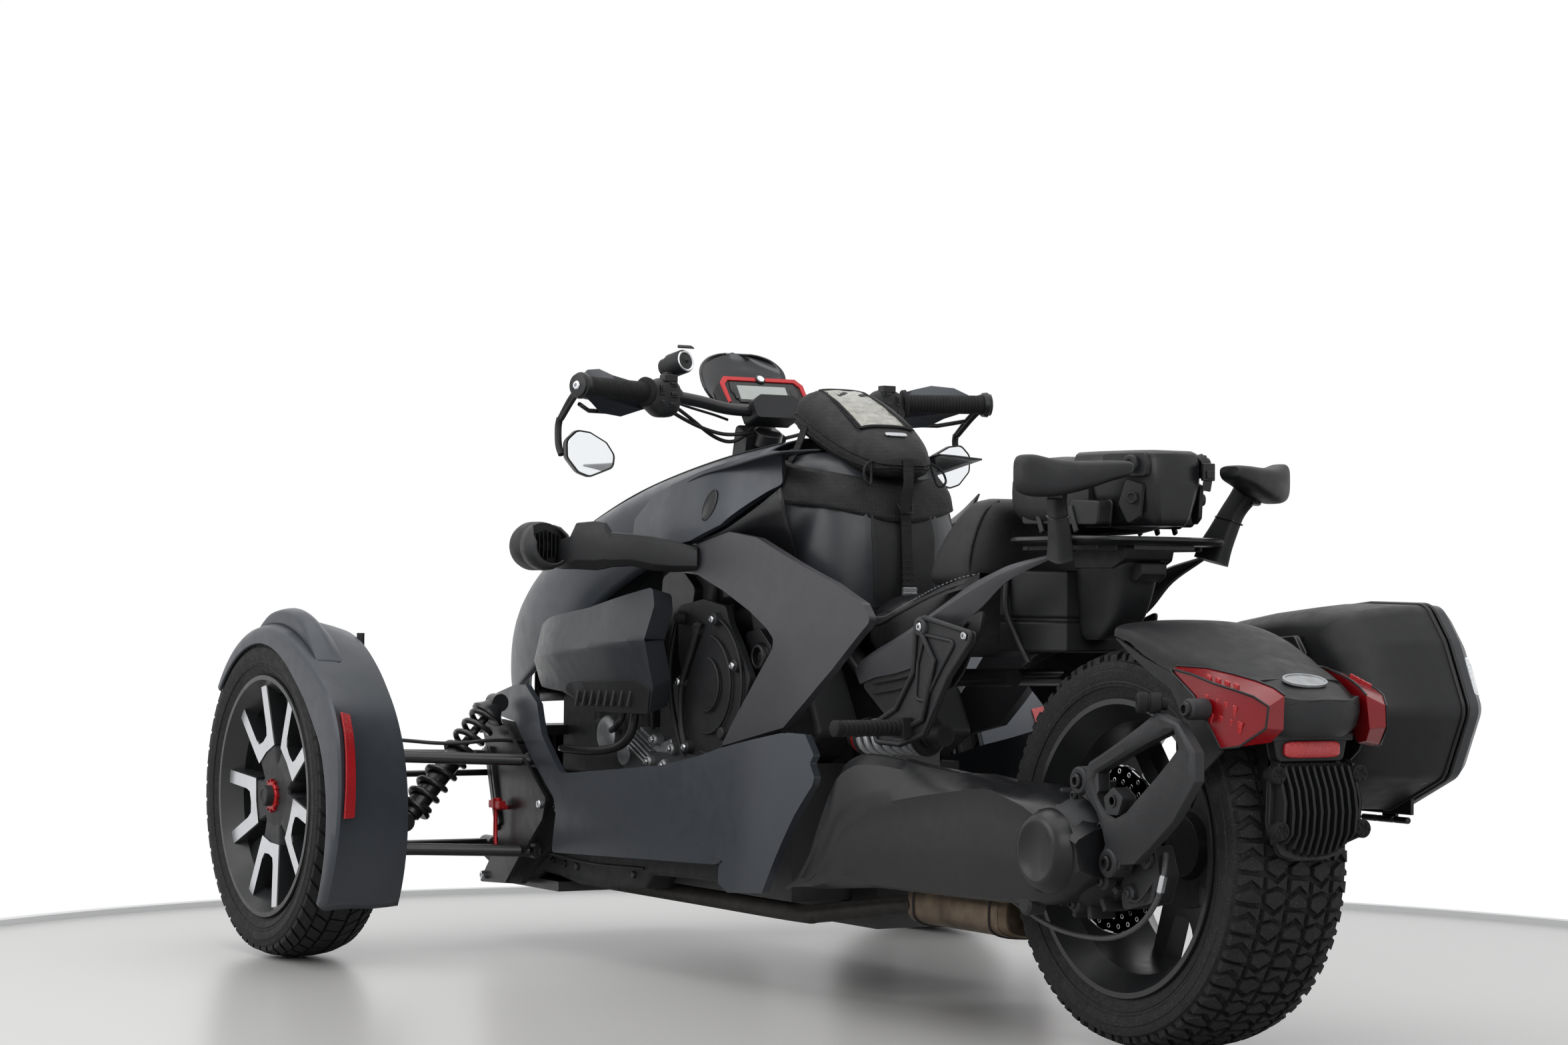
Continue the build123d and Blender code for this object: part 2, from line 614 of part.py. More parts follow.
GUARD_R = 332
with BuildPart() as guard:
    start = 62
    with BuildSketch(Plane(origin=(0, REAR, REAR_TYRE_R), x_dir=(1, 0, 0),
                           z_dir=(0, -sin(radians(start)), cos(radians(start))))) as section:
        with BuildLine():
            Polyline((-118, GUARD_R - 46), (-112, GUARD_R - 22), (-92, GUARD_R - 8), (-50, GUARD_R),
                     (50, GUARD_R), (92, GUARD_R - 8), (112, GUARD_R - 22), (118, GUARD_R - 46),
                     (114, GUARD_R - 46), (108, GUARD_R - 24), (90, GUARD_R - 12), (49, GUARD_R - 4),
                     (-49, GUARD_R - 4), (-90, GUARD_R - 12), (-108, GUARD_R - 24), (-114, GUARD_R - 46),
                     close=True)
        make_face()
    revolve(section.sketch, axis=Axis((0, REAR, REAR_TYRE_R), (1, 0, 0)), revolution_arc=53)
save(guard, "rear_fender")

with BuildPart() as tail:
    prism([(1016, 586), (1040, 592), (1134, 561), (1204, 512), (1200, 478), (1150, 470), (1120, 520),
           (1060, 560)], -112, 112)
    plan_prism([(0, 1010), (112, 1010), (100, 1060), (84, 1130), (66, 1207), (0, 1207)], 460, 600)
    front_prism([(-112, 460), (-112, 540), (-86, 600), (86, 600), (112, 540), (112, 460)], 1000, 1210)
    prism([(1140, 474), (1160, 474), (1168, 430), (1150, 430)], -62, 62, mode=Mode.ADD)
save(tail, "tail_cover")

with BuildPart() as beams:
    prism([(840, 382), (871, 411), (912, 418), (1020, 470), (1010, 530), (1040, 540), (1110, 500),
           (1148, 443), (1148, 383), (1019, 280), (971, 262), (931, 259), (926, 288), (946, 318), (930, 376),
           (905, 379)], 168, 190)
    prism([(1010, 440), (1102, 452), (1110, 430), (1010, 350), (985, 380)], 160, 200, mode=Mode.SUBTRACT)
    chamfer(beams.faces().sort_by(Axis.X)[-1].edges(), 5)
    block((-112, 1136, 400), (172, 1149, 428))
    for bolt_y, bolt_z in ((880, 396), (950, 280)):
        rod(at(164, bolt_y, bolt_z), at(197, bolt_y, bolt_z), 17)
    rod(at(180, 1055, 504), at(214, 1055, 504), 11)
save(beams, "fender_bracket")

with BuildPart() as light:
    prism([(1029, 560), (1110, 552), (1180, 538), (1207, 516), (1203, 486), (1132, 454), (1108, 486),
           (1070, 528)], 84, 138)
    half_plan([(134, 1022), (140, 1130), (128, 1170), (104, 1210), (68, 1210), (86, 1130), (114, 1020)],
              450, 565)
save_pair(light, "tail_lights")

with BuildPart() as plate:
    prism([(1152, 426), (1176, 426), (1192, 370), (1186, 310), (1166, 296), (1156, 310)], -66, 66)
    for rib in range(10):
        prism([(1174, 422), (1184, 422), (1202, 370), (1196, 312), (1180, 304)],
              -62 + rib * 13.1, -58 + rib * 13.1)
    for hand in (-1, 1):
        for height, back in ((416, 1166), (342, 1174)):
            rod(at(hand * 72, back, height), at(hand * 72, back + 28, height), 12)
save(plate, "plate_holder")

CASE_SEAM = -345
CASE_CORNER = 28
CASE = ((605, 612), (700, 632), (795, 646), (896, 656), (1020, 654), (1060, 600), (1104, 500), (1060, 400),
        (940, 344), (800, 380), (660, 470), (606, 560))
CASE_IN = ((612, 608), (702, 626), (796, 640), (896, 650), (1016, 648), (1054, 598), (1097, 500),
           (1054, 405), (941, 351), (804, 386), (666, 474), (613, 562))
HINGE_Z = 332
with BuildPart() as case:
    prism(CASE, CASE_SEAM + 0.5, -180, corner=CASE_CORNER)
    chamfer(case.faces().sort_by(Axis.X)[-1].edges(), 20)
    prism(CASE_IN, CASE_SEAM - 10, -188, mode=Mode.SUBTRACT, corner=CASE_CORNER - 5)
    for knuckle_y in (876, 948):
        rod(at(CASE_SEAM, knuckle_y, HINGE_Z), at(CASE_SEAM, knuckle_y + 30, HINGE_Z), 5)
        block((CASE_SEAM, knuckle_y, HINGE_Z), (CASE_SEAM + 5, knuckle_y + 30, 374))
    block((CASE_SEAM + 1, 860, 340), (CASE_SEAM + 5, 990, 374))
save(case, "case_body")

with BuildPart() as lid:
    prism(CASE, -448, CASE_SEAM - 5, corner=CASE_CORNER)
    chamfer(lid.faces().sort_by(Axis.X)[0].edges(), 20)
    prism(CASE_IN, -440, CASE_SEAM + 10, mode=Mode.SUBTRACT, corner=CASE_CORNER - 5)
    rod(at(CASE_SEAM, 911, HINGE_Z), at(CASE_SEAM, 943, HINGE_Z), 5)
    block((CASE_SEAM - 12, 911, HINGE_Z - 3), (CASE_SEAM, 943, HINGE_Z + 3))
    block((CASE_SEAM - 12, 911, HINGE_Z - 3), (CASE_SEAM - 7, 943, 360))
save(lid, "case_lid")

# ---- steering -----------------------------------------------------------------------------

BAR_BEND, BAR_GRIP, BAR_END = at(110, -318, 990), at(264, -305, 1011), at(411, -260, 1013)
BAR_LINE = (BAR_GRIP - BAR_BEND).normalized()
BAR_RUN = (BAR_END - BAR_GRIP).normalized()

with BuildPart() as half_bar:
    rod(at(0, -322, 988), BAR_BEND, 11)
    rod(BAR_BEND, BAR_GRIP - BAR_LINE * 6, 11)
    with Locations(BAR_BEND):
        Sphere(11)
with BuildPart() as bar:
    add(half_bar.part)
    mirror(half_bar.part, about=Plane.YZ)
    rod(at(0, -330 - 120 * 0.445, 840), at(0, -329, 962), 24)
    block((-40, -334, 956), (40, -300, 996))
save(bar, "handlebar")

with BuildPart() as grip:
    rod(BAR_GRIP + BAR_LINE * 2, BAR_END, 17)
save_pair(grip, "grips")

GUARD = ((404, 1028), (378, 1042), (344, 1046), (312, 1038), (254, 1024), (212, 1006), (212, 996),
         (254, 984), (292, 972), (338, 976), (364, 990), (396, 1004))
with BuildPart() as switch:
    rod(BAR_GRIP - BAR_LINE * 62, BAR_GRIP - BAR_LINE * 7, 24)
    rod(at(212, -334, 1000), at(396, -349, 1006), 6)
    front_prism(GUARD, -354, -348, mode=Mode.ADD)
    rod(BAR_GRIP - BAR_LINE * 80, BAR_GRIP + BAR_LINE * 10, 11.2, mode=Mode.SUBTRACT)
save_pair(switch, "switchgear")

GAUGE_FACE = Plane(origin=at(0, -354, 1024), x_dir=(1, 0, 0), z_dir=(0, 0.77, 0.64))
with BuildPart() as gauge:
    with BuildSketch(GAUGE_FACE) as face:
        with BuildLine():
            Polyline((-74, 34), (74, 34), (86, 18), (82, -23), (-82, -23), (-86, 18), close=True)
        make_face()
    extrude(face.sketch, amount=-24, taper=18)
    block((-30, -360, 985), (30, -334, 996))
    with BuildSketch(GAUGE_FACE) as window:
        Rectangle(124, 36)
    extrude(window.sketch, amount=-3, mode=Mode.SUBTRACT)
save(gauge, "gauge_pod")

with BuildPart() as screen:
    with BuildSketch(plan(1000)) as sheet:
        with BuildLine():
            ThreePointArc((-94, -420), (0, -450), (94, -420))
            Line((94, -420), (94, -416))
            ThreePointArc((94, -416), (0, -446), (-94, -416))
            Line((-94, -416), (-94, -420))
        make_face()
    extrude(sheet.sketch, amount=102)
    front_prism([(-62, 999), (-86, 1036), (-86, 1068), (-58, 1094), (-26, 1102), (26, 1102), (58, 1094),
                 (86, 1068), (86, 1036), (62, 999)], -460, -400)
    block((-46, -450, 1000), (46, -414, 1012))
save(screen, "wind_deflector")

MIRROR = ((416, 922), (396, 941), (370, 938), (337, 921), (321, 899), (323, 877), (370, 859), (392, 866),
          (415, 892))
with BuildPart() as mirror_unit:
    rod(BAR_END + BAR_RUN, BAR_END + BAR_RUN * 15, 18)
    for rail_y in (-6, 6):
        rod(at(430, -262 + rail_y, 1010), at(409, -340 + rail_y, 962), 4)
    block((403, -352, 948), (415, -328, 968))
    rod(at(409, -340, 956), at(411, -334, 905), 6)
    with BuildSketch(station(-310)) as face:
        with BuildLine():
            Polyline(*MIRROR, close=True)
        make_face()
    extrude(face.sketch, amount=26, taper=30)
save_pair(mirror_unit, "mirrors")
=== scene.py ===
"""Looks of the reverse trike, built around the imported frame.

Places are in millimetres from mid-wheelbase, as the machine's own drawing gives them: x to the
rider's left, y rearwards, z up. at() turns them into the frame's metres.
"""
import json
from math import atan2, cos, hypot, pi, radians, sin, tau

import bmesh
import bpy
from mathutils import Matrix, Vector


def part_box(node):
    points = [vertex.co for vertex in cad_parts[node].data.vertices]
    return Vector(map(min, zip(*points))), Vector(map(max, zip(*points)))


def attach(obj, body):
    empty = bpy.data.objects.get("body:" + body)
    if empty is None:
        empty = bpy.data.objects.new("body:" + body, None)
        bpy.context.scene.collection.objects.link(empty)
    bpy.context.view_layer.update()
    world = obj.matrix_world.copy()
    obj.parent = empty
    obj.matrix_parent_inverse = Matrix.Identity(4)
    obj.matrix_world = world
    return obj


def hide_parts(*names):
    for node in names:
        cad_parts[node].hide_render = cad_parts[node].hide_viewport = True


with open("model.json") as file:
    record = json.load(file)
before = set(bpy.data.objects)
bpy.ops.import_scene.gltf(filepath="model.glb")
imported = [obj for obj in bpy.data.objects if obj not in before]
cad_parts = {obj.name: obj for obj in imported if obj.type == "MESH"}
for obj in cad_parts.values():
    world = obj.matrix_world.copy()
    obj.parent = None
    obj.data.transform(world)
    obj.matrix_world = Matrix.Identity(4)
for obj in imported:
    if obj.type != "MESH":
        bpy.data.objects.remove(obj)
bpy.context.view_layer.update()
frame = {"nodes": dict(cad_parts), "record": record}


def middle(node):
    """Middle of a CAD node's box."""
    low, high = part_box(node)
    return (low + high) / 2


FRONT_AXLE, REAR_AXLE = middle("tyre_front_left"), middle("tyre_rear")
MID = 1000 * (FRONT_AXLE.y + REAR_AXLE.y) / 2
FRONT_Y, REAR_Y = 1000 * FRONT_AXLE.y - MID, 1000 * REAR_AXLE.y - MID
TRACK_X = 1000 * FRONT_AXLE.x
FRONT_R, REAR_R = 1000 * FRONT_AXLE.z, 1000 * REAR_AXLE.z
RIM_R = 217


def at(x, y, z):
    """A place in millimetres from mid-wheelbase, in the frame's metres."""
    return Vector((x, MID + y, z)) / 1000


ACROSS, REARWARDS, UPWARDS = (1, 0, 0), (0, 1, 0), (0, 0, 1)

# ---- materials ----------------------------------------------------------------------------

MATERIALS = {}
SURFACE_IOR = 1.45
COAT_ROUGHNESS = 0.2


def greatest(nodes, links, sockets):
    """The largest of several values, by a chain of maximum nodes."""
    largest = sockets[0]
    for other in sockets[1:]:
        join = nodes.new("ShaderNodeMath")
        join.operation = "MAXIMUM"
        links.new(largest, join.inputs[0])
        links.new(other, join.inputs[1])
        largest = join.outputs[0]
    return largest


def finish(name, colour, rough, metallic=0.0, grain=0.0, grain_size=0.6, mottle=0.08, mottle_size=60,
           edge=0.0, coat=0.0, pattern="noise", speckle=None, spec=0.5):
    """A surface with mottled colour and roughness, a fine grain in relief, and rubbed edges.

    Sizes are in millimetres. pattern is noise, leather, weave or ribbed.
    """
    if name in MATERIALS:
        return MATERIALS[name]
    material = bpy.data.materials.new(name)
    material.use_nodes = True
    nodes, links = material.node_tree.nodes, material.node_tree.links
    shader = nodes["Principled BSDF"]
    shader.inputs["Metallic"].default_value = metallic
    shader.inputs["Specular IOR Level"].default_value = spec
    shader.inputs["IOR"].default_value = SURFACE_IOR
    shader.inputs["Coat Weight"].default_value = coat
    shader.inputs["Coat Roughness"].default_value = COAT_ROUGHNESS
    place = nodes.new("ShaderNodeTexCoord").outputs["Object"]

    def noise(size, detail=3):
        """Cloudy values with patches about as wide as size."""
        node = nodes.new("ShaderNodeTexNoise")
        node.inputs["Scale"].default_value = 1000 / size
        node.inputs["Detail"].default_value = detail
        links.new(place, node.inputs["Vector"])
        return node.outputs["Fac"]

    def ramp(value, low, high, start=0.3, end=0.7):
        """The value mapped from start and end to low and high."""
        node = nodes.new("ShaderNodeMapRange")
        for key, number in (("From Min", start), ("From Max", end), ("To Min", low), ("To Max", high)):
            node.inputs[key].default_value = number
        links.new(value, node.inputs["Value"])
        return node.outputs["Result"]

    def mix(factor, first, second):
        """A blend of two colours."""
        node = nodes.new("ShaderNodeMix")
        node.data_type = "RGBA"
        links.new(factor, node.inputs["Factor"])
        for socket, value in (("A", first), ("B", second)):
            target = [s for s in node.inputs if s.name == socket and s.type == "RGBA"][0]
            if isinstance(value, (tuple, list)):
                target.default_value = (*value, 1)
            else:
                links.new(value, target)
        return [s for s in node.outputs if s.type == "RGBA"][0]

    cloud = noise(mottle_size)
    darker, lighter = [tuple(min(1, c * (1 + sign * mottle)) for c in colour) for sign in (-1, 1)]
    tint = mix(ramp(cloud, 0, 1), darker, lighter)
    if speckle:
        tint = mix(ramp(noise(2.2, 1), 0, 1, 0.62, 0.72), tint, speckle)
    if edge:
        wear = nodes.new("ShaderNodeNewGeometry").outputs["Pointiness"]
        tint = mix(ramp(wear, 0, edge, 0.52, 0.6), tint, tuple(min(1, c * 3 + 0.06) for c in colour))
    links.new(tint, shader.inputs["Base Color"])
    links.new(ramp(noise(mottle_size / 3), rough * 0.88, min(1, rough * 1.12)), shader.inputs["Roughness"])
    if grain:
        if pattern == "leather":
            relief = nodes.new("ShaderNodeTexVoronoi")
            relief.feature = "DISTANCE_TO_EDGE"
            relief.inputs["Scale"].default_value = 1000 / grain_size
            links.new(place, relief.inputs["Vector"])
            height = relief.outputs["Distance"]
        elif pattern in ("weave", "ribbed"):
            waves = []
            for direction in ("X", "Y", "Z")[: 3 if pattern == "weave" else 1]:
                wave = nodes.new("ShaderNodeTexWave")
                wave.bands_direction = direction
                wave.inputs["Scale"].default_value = 1000 / grain_size / 20
                wave.inputs["Distortion"].default_value = 0.4
                links.new(place, wave.inputs["Vector"])
                waves.append(wave.outputs["Fac"])
            height = greatest(nodes, links, waves)
        else:
            height = noise(grain_size, 2)
        bump = nodes.new("ShaderNodeBump")
        bump.inputs["Strength"].default_value = grain
        bump.inputs["Distance"].default_value = grain_size / 1000
        links.new(height, bump.inputs["Height"])
        links.new(bump.outputs["Normal"], shader.inputs["Normal"])
    MATERIALS[name] = material
    return material


PAINT = finish("satin_blue_grey", (0.036, 0.041, 0.050), 0.40, metallic=0.2, grain=0.05, grain_size=1.5,
               mottle=0.05, mottle_size=90, coat=0.12)
PANEL_PAINT = finish("satin_warm_grey", (0.047, 0.046, 0.052), 0.42, metallic=0.15, grain=0.06,
                     grain_size=1.2, mottle=0.04, mottle_size=70, coat=0.1)
PLASTIC = finish("moulded_black", (0.0105, 0.0108, 0.0118), 0.5, spec=0.35, grain=0.22, grain_size=0.9,
                 edge=0.25)
SMOOTH = finish("smooth_black", (0.0085, 0.0088, 0.0098), 0.32, spec=0.4, grain=0.06, grain_size=2)
CONSOLE = finish("console_grey", (0.026, 0.028, 0.032), 0.38, grain=0.05, grain_size=1.2)
FRAME_BLACK = finish("frame_enamel", (0.011, 0.011, 0.012), 0.34, coat=0.2, grain=0.04, grain_size=3)
CAST_BLACK = finish("black_casting", (0.017, 0.0175, 0.019), 0.52, metallic=0.25, grain=0.35,
                    grain_size=1.6, edge=0.3)
CAST = finish("bare_casting", (0.34, 0.35, 0.36), 0.46, metallic=0.85, grain=0.45, grain_size=1.8,
              mottle=0.2, mottle_size=25)
STEEL = finish("bright_steel", (0.55, 0.56, 0.58), 0.24, metallic=1, grain=0.05, grain_size=1)
MACHINED = finish("machined_face", (0.62, 0.63, 0.65), 0.3, metallic=0.9, grain=0.04, grain_size=0.8,
                  mottle=0.05)
WHEEL_BLACK = finish("wheel_enamel", (0.0125, 0.013, 0.0142), 0.4, coat=0.2, grain=0.03, grain_size=2)
RUBBER = finish("tyre_rubber", (0.0135, 0.0135, 0.014), 0.7, spec=0.3, grain=0.18, grain_size=1.4,
                mottle=0.18, mottle_size=35, speckle=(0.05, 0.048, 0.045))
GRIP = finish("grip_rubber", (0.009, 0.009, 0.0096), 0.72, spec=0.3, grain=0.4, grain_size=1.5,
              pattern="leather")
VINYL = finish("seat_vinyl", (0.0108, 0.0108, 0.0118), 0.46, spec=0.35, grain=0.35, grain_size=1.6,
               pattern="leather")
CLOTH = finish("bag_cloth", (0.0105, 0.0105, 0.0113), 0.62, spec=0.3, grain=0.4, grain_size=1.1,
               pattern="weave", mottle=0.12)
WEBBING = finish("webbing", (0.009, 0.009, 0.0098), 0.75, spec=0.3, grain=0.6, grain_size=1.6,
                 pattern="weave")
SPRING_BLACK = finish("spring_black", (0.02, 0.02, 0.022), 0.35, coat=0.3, grain=0.03)
SPRING_GREY = finish("spring_grey", (0.42, 0.43, 0.44), 0.35, metallic=0.4, grain=0.05)
EXHAUST = finish("scorched_steel", (0.16, 0.12, 0.085), 0.42, metallic=0.8, grain=0.1, mottle=0.45,
                 mottle_size=45)
RED = finish("anodised_red", (0.42, 0.012, 0.016), 0.35, metallic=0.3, grain=0.04)
RED_LENS = finish("red_lens", (0.20, 0.004, 0.007), 0.2, grain=0.03, grain_size=4, coat=0.15, spec=0.35)
RED_REFLEX = finish("red_reflector", (0.42, 0.010, 0.014), 0.25, grain=0.5, grain_size=2.5,
                    pattern="leather", coat=0.5)
CLEAR_REFLEX = finish("clear_reflector", (0.72, 0.74, 0.76), 0.2, metallic=0.3, grain=0.5,
                      grain_size=6, pattern="ribbed", coat=0.5)
CASE_GREY = finish("case_lid_grey", (0.036, 0.038, 0.042), 0.45, metallic=0.15, grain=0.08, grain_size=1.2)
GLASS = finish("mirror_glass", (0.86, 0.88, 0.90), 0.03, metallic=1, mottle=0.01)
SMOKED = finish("smoked_screen", (0.014, 0.015, 0.018), 0.12, grain=0.01, coat=0.5)
LAMP_GLASS = finish("lamp_lens", (0.55, 0.58, 0.62), 0.08, metallic=0.3, grain=0.3, grain_size=6,
                    pattern="leather", coat=0.6)
SCREEN = finish("display", (0.30, 0.32, 0.30), 0.18, grain=0.02, coat=0.6, mottle=0.04)
WINDOW = finish("bag_window", (0.24, 0.235, 0.19), 0.10, grain=0.5, grain_size=22, coat=0.8, mottle=0.35,
                mottle_size=18)
CORD = finish("cable_sheath", (0.013, 0.013, 0.014), 0.5, grain=0.1)
HOSE = finish("braided_hose", (0.06, 0.06, 0.062), 0.5, grain=0.5, grain_size=1.2, pattern="weave")
STITCH = finish("stitching", (0.16, 0.16, 0.165), 0.8, grain=0.3, grain_size=0.6)
PANEL_GREY = finish("panel_grey", (0.040, 0.040, 0.045), 0.42, metallic=0.15, grain=0.05, grain_size=1.4)
SOOTY = finish("sooty_steel", (0.030, 0.027, 0.025), 0.5, metallic=0.5, grain=0.2, mottle=0.3,
               mottle_size=30)

SLOT_LOOKS = {
    "frame_black": FRAME_BLACK, "castings": CAST, "castings_black": CAST_BLACK, "trim_black": PLASTIC,
    "spring_black": SPRING_BLACK, "spring_grey": SPRING_GREY, "body_blue_grey": PAINT,
    "console_grey": CONSOLE, "lens_clear": LAMP_GLASS, "lens_red": RED_LENS, "bag_fabric": CLOTH,
    "seat_vinyl": VINYL, "muffler_steel": EXHAUST, "case_shell": CASE_GREY, "grip_rubber": GRIP,
    "wheel_black": WHEEL_BLACK, "tyre": RUBBER,
}

# Where a piece belongs: its body, its material slot and its look.
TRIM = ("root", "trim_black", PLASTIC)
TRIM_SMOOTH = ("root", "trim_black", SMOOTH)
BAR_TRIM = ("steering", "trim_black", PLASTIC)
BAR_SMOOTH = ("steering", "trim_black", SMOOTH)
BODYWORK = ("root", "body_blue_grey", PAINT)
CASTING = ("root", "castings_black", CAST_BLACK)
BRIGHT = ("root", "castings", STEEL)
HOSES = ("root", "frame_black", CORD)
SEAT = ("root", "seat_vinyl", VINYL)
STRAPS = ("root", "bag_fabric", WEBBING)
ENGINE_TRIM = ("root", "castings_black", PLASTIC)


def dress_cad_nodes():
    """Every CAD node that stays gets its slot's finish."""
    for part in frame["record"]["subparts"]:
        node = frame["nodes"][part["node"]]
        node.data.materials.clear()
        node.data.materials.append(CAST_BLACK if part["node"] == "engine_block"
                                   else SLOT_LOOKS[part["material_slot"]])


dress_cad_nodes()

# ---- mesh builders ------------------------------------------------------------------------


def add_modifier(obj, kind, **settings):
    """Adds a modifier with its settings."""
    modifier = obj.modifiers.new(kind.lower(), kind)
    for key, value in settings.items():
        setattr(modifier, key, value)


def piece(name, bm, body, slot, look, nodes=(), bevel=0.0, thick=0.0, subdivide=0, angle=35, hand=1,
          side=0, offset=-1, segments=2):
    """Turns a bmesh, in metres, into a named piece on a body, mirrored across for hand -1.

    side is a hand, 1 or -1, whose name the piece gets as well.
    """
    if side:
        name, hand = side_name(name, side), side
    bmesh.ops.remove_doubles(bm, verts=bm.verts, dist=1e-5)
    if hand < 0:
        bmesh.ops.scale(bm, vec=(-1, 1, 1), verts=bm.verts)
        bmesh.ops.reverse_faces(bm, faces=bm.faces)
    mesh = bpy.data.meshes.new(name)
    bm.to_mesh(mesh)
    bm.free()
    mesh.shade_smooth()
    obj = bpy.data.objects.new(name, mesh)
    bpy.context.scene.collection.objects.link(obj)
    mesh.materials.append(look)
    if thick:
        add_modifier(obj, "SOLIDIFY", thickness=thick / 1000, offset=offset, use_even_offset=False)
    if bevel:
        add_modifier(obj, "BEVEL", width=bevel / 1000, segments=segments, limit_method="ANGLE",
                     angle_limit=radians(angle), harden_normals=True)
    if subdivide:
        add_modifier(obj, "SUBSURF", levels=subdivide, render_levels=subdivide)
    else:
        mesh.set_sharp_from_angle(angle=radians(angle))
    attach(obj, body)
    if nodes:
        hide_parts(*nodes)
    return obj


def side_name(base, hand):
    """The name with its side: hand is 1 for the left and -1 for the right."""
    return f"{base}_{'left' if hand > 0 else 'right'}"


def front_body(part, hand):
    """Name of the body of a front wheel or upright."""
    return f"front_{'left' if hand > 0 else 'right'}_{part}"


def rounded(outline, radius, steps=4):
    """The outline with each corner turned into an arc that its two sides leave room for."""
    points = [Vector(p) for p in outline]
    result = []
    for i, corner in enumerate(points):
        before, after = points[i - 1] - corner, points[(i + 1) % len(points)] - corner
        turn = before.angle(after, pi)
        if pi - turn < radians(8):
            result.append(corner)
            continue
        room = min(radius / max(0.2, sin(turn / 2) / max(cos(turn / 2), 0.2)), before.length * 0.4,
                   after.length * 0.4)
        start, end = corner + before.normalized() * room, corner + after.normalized() * room
        for step in range(steps + 1):
            t = step / steps
            result.append(start * (1 - t) ** 2 + corner * 2 * t * (1 - t) + end * t * t)
    return [tuple(p) for p in result]


def curve_between(a, b, c, d, t):
    """A point of the Catmull-Rom curve from b to c."""
    return (b * 2 + (c - a) * t + (a * 2 - b * 5 + c * 4 - d) * t * t
            + (b * 3 - a - c * 3 + d) * t ** 3) / 2


def curve_through(points, count):
    """A Catmull-Rom curve through the points, sampled evenly by its parameter."""
    points = [Vector(p) for p in points]
    if len(points) == 2:
        return [points[0].lerp(points[1], i / (count - 1)) for i in range(count)]
    padded = [points[0] * 2 - points[1]] + points + [points[-1] * 2 - points[-2]]
    result = []
    for i in range(count):
        t = i / (count - 1) * (len(points) - 1)
        k = min(int(t), len(points) - 2)
        result.append(curve_between(*padded[k:k + 4], t - k))
    return result


def grid_faces(bm, rows, close_rows=False, close_columns=False):
    """Quads between rows of points in millimetres; returns the rows of vertices."""
    grid = [[bm.verts.new(at(*p)) for p in row] for row in rows]
    for i in range(len(grid) - (0 if close_rows else 1)):
        first, second = grid[i], grid[(i + 1) % len(grid)]
        for j in range(len(first) - (0 if close_columns else 1)):
            k = (j + 1) % len(first)
            bm.faces.new((first[j], first[k], second[k], second[j]))
    return grid


def closed_form(bm, rows):
    """Adds rows of closed loops with a face at each end."""
    grid = grid_faces(bm, rows, close_columns=True)
    bm.faces.new(grid[0])
    bm.faces.new(grid[-1])


def sheet(name, rows, body, slot, look, **options):
    """A piece from an open grid of points."""
    bm = bmesh.new()
    grid_faces(bm, rows)
    bmesh.ops.recalc_face_normals(bm, faces=bm.faces)
    return piece(name, bm, body, slot, look, **options)


def both_sides(half, last=None):
    """Half a section from its middle out, with its mirror image; last=-1 when it ends on the middle."""
    return list(half) + [(-x, *rest) for x, *rest in reversed(half[1:last])]


def skin(name, rails, body, slot, look, across=9, along=25, **options):
    """A sheet through rails of points: each rail is a curve, and curves join the rails."""
    rows = [curve_through(rail, along) for rail in rails]
    columns = [curve_through([row[j] for row in rows], across) for j in range(along)]
    return sheet(name, [[column[i] for column in columns] for i in range(across)], body, slot, look,
                 **options)


def loft(name, sections, body, slot, look, along=0, **options):
    """A closed form through closed sections with equal counts of points."""
    bm = bmesh.new()
    if along:
        count = len(sections[0])
        runs = [curve_through([section[j] for section in sections], along) for j in range(count)]
        sections = [[runs[j][i] for j in range(count)] for i in range(along)]
    grid = grid_faces(bm, sections, close_columns=True)
    bm.faces.new(grid[0])
    bm.faces.new(reversed(grid[-1]))
    bmesh.ops.recalc_face_normals(bm, faces=bm.faces)
    return piece(name, bm, body, slot, look, **options)


def cut_along(bm, point, normal):
    """Cuts every face along a plane."""
    bmesh.ops.bisect_plane(bm, geom=bm.verts[:] + bm.edges[:] + bm.faces[:], plane_co=point,
                           plane_no=normal, dist=1e-4)


def panel(name, outline, surface, thick, body, slot, look, grid=30, corner=5, creases=(), **options):
    """A moulded side panel: a side-view outline laid on the surface x = surface(y, z)."""
    bm = bmesh.new()
    bm.faces.new([bm.verts.new((0, p[0], p[1])) for p in rounded(outline, corner)])
    for start, end in creases:
        run = Vector((0, end[0] - start[0], end[1] - start[1]))
        cut_along(bm, Vector((0, *start)), Vector((0, -run.z, run.y)))
    ys, zs = [p[0] for p in outline], [p[1] for p in outline]
    for axis, (low, high) in enumerate(((min(ys), max(ys)), (min(zs), max(zs)))):
        normal = Vector((0, 1 - axis, axis))
        for step in range(1, int((high - low) / grid) + 1):
            cut_along(bm, normal * (low + step * grid), normal)
    for v in bm.verts:
        v.co = at(surface(v.co.y, v.co.z), v.co.y, v.co.z)
    bmesh.ops.recalc_face_normals(bm, faces=bm.faces)
    if sum(f.normal.x * f.calc_area() for f in bm.faces) < 0:
        bmesh.ops.reverse_faces(bm, faces=bm.faces)
    return piece(name, bm, body, slot, look, thick=thick, **options)


def basis(direction):
    """Two unit vectors across a direction."""
    direction = direction.normalized()
    first = direction.cross(Vector(UPWARDS) if abs(direction.z) < 0.9 else Vector(REARWARDS)).normalized()
    return first, direction.cross(first)


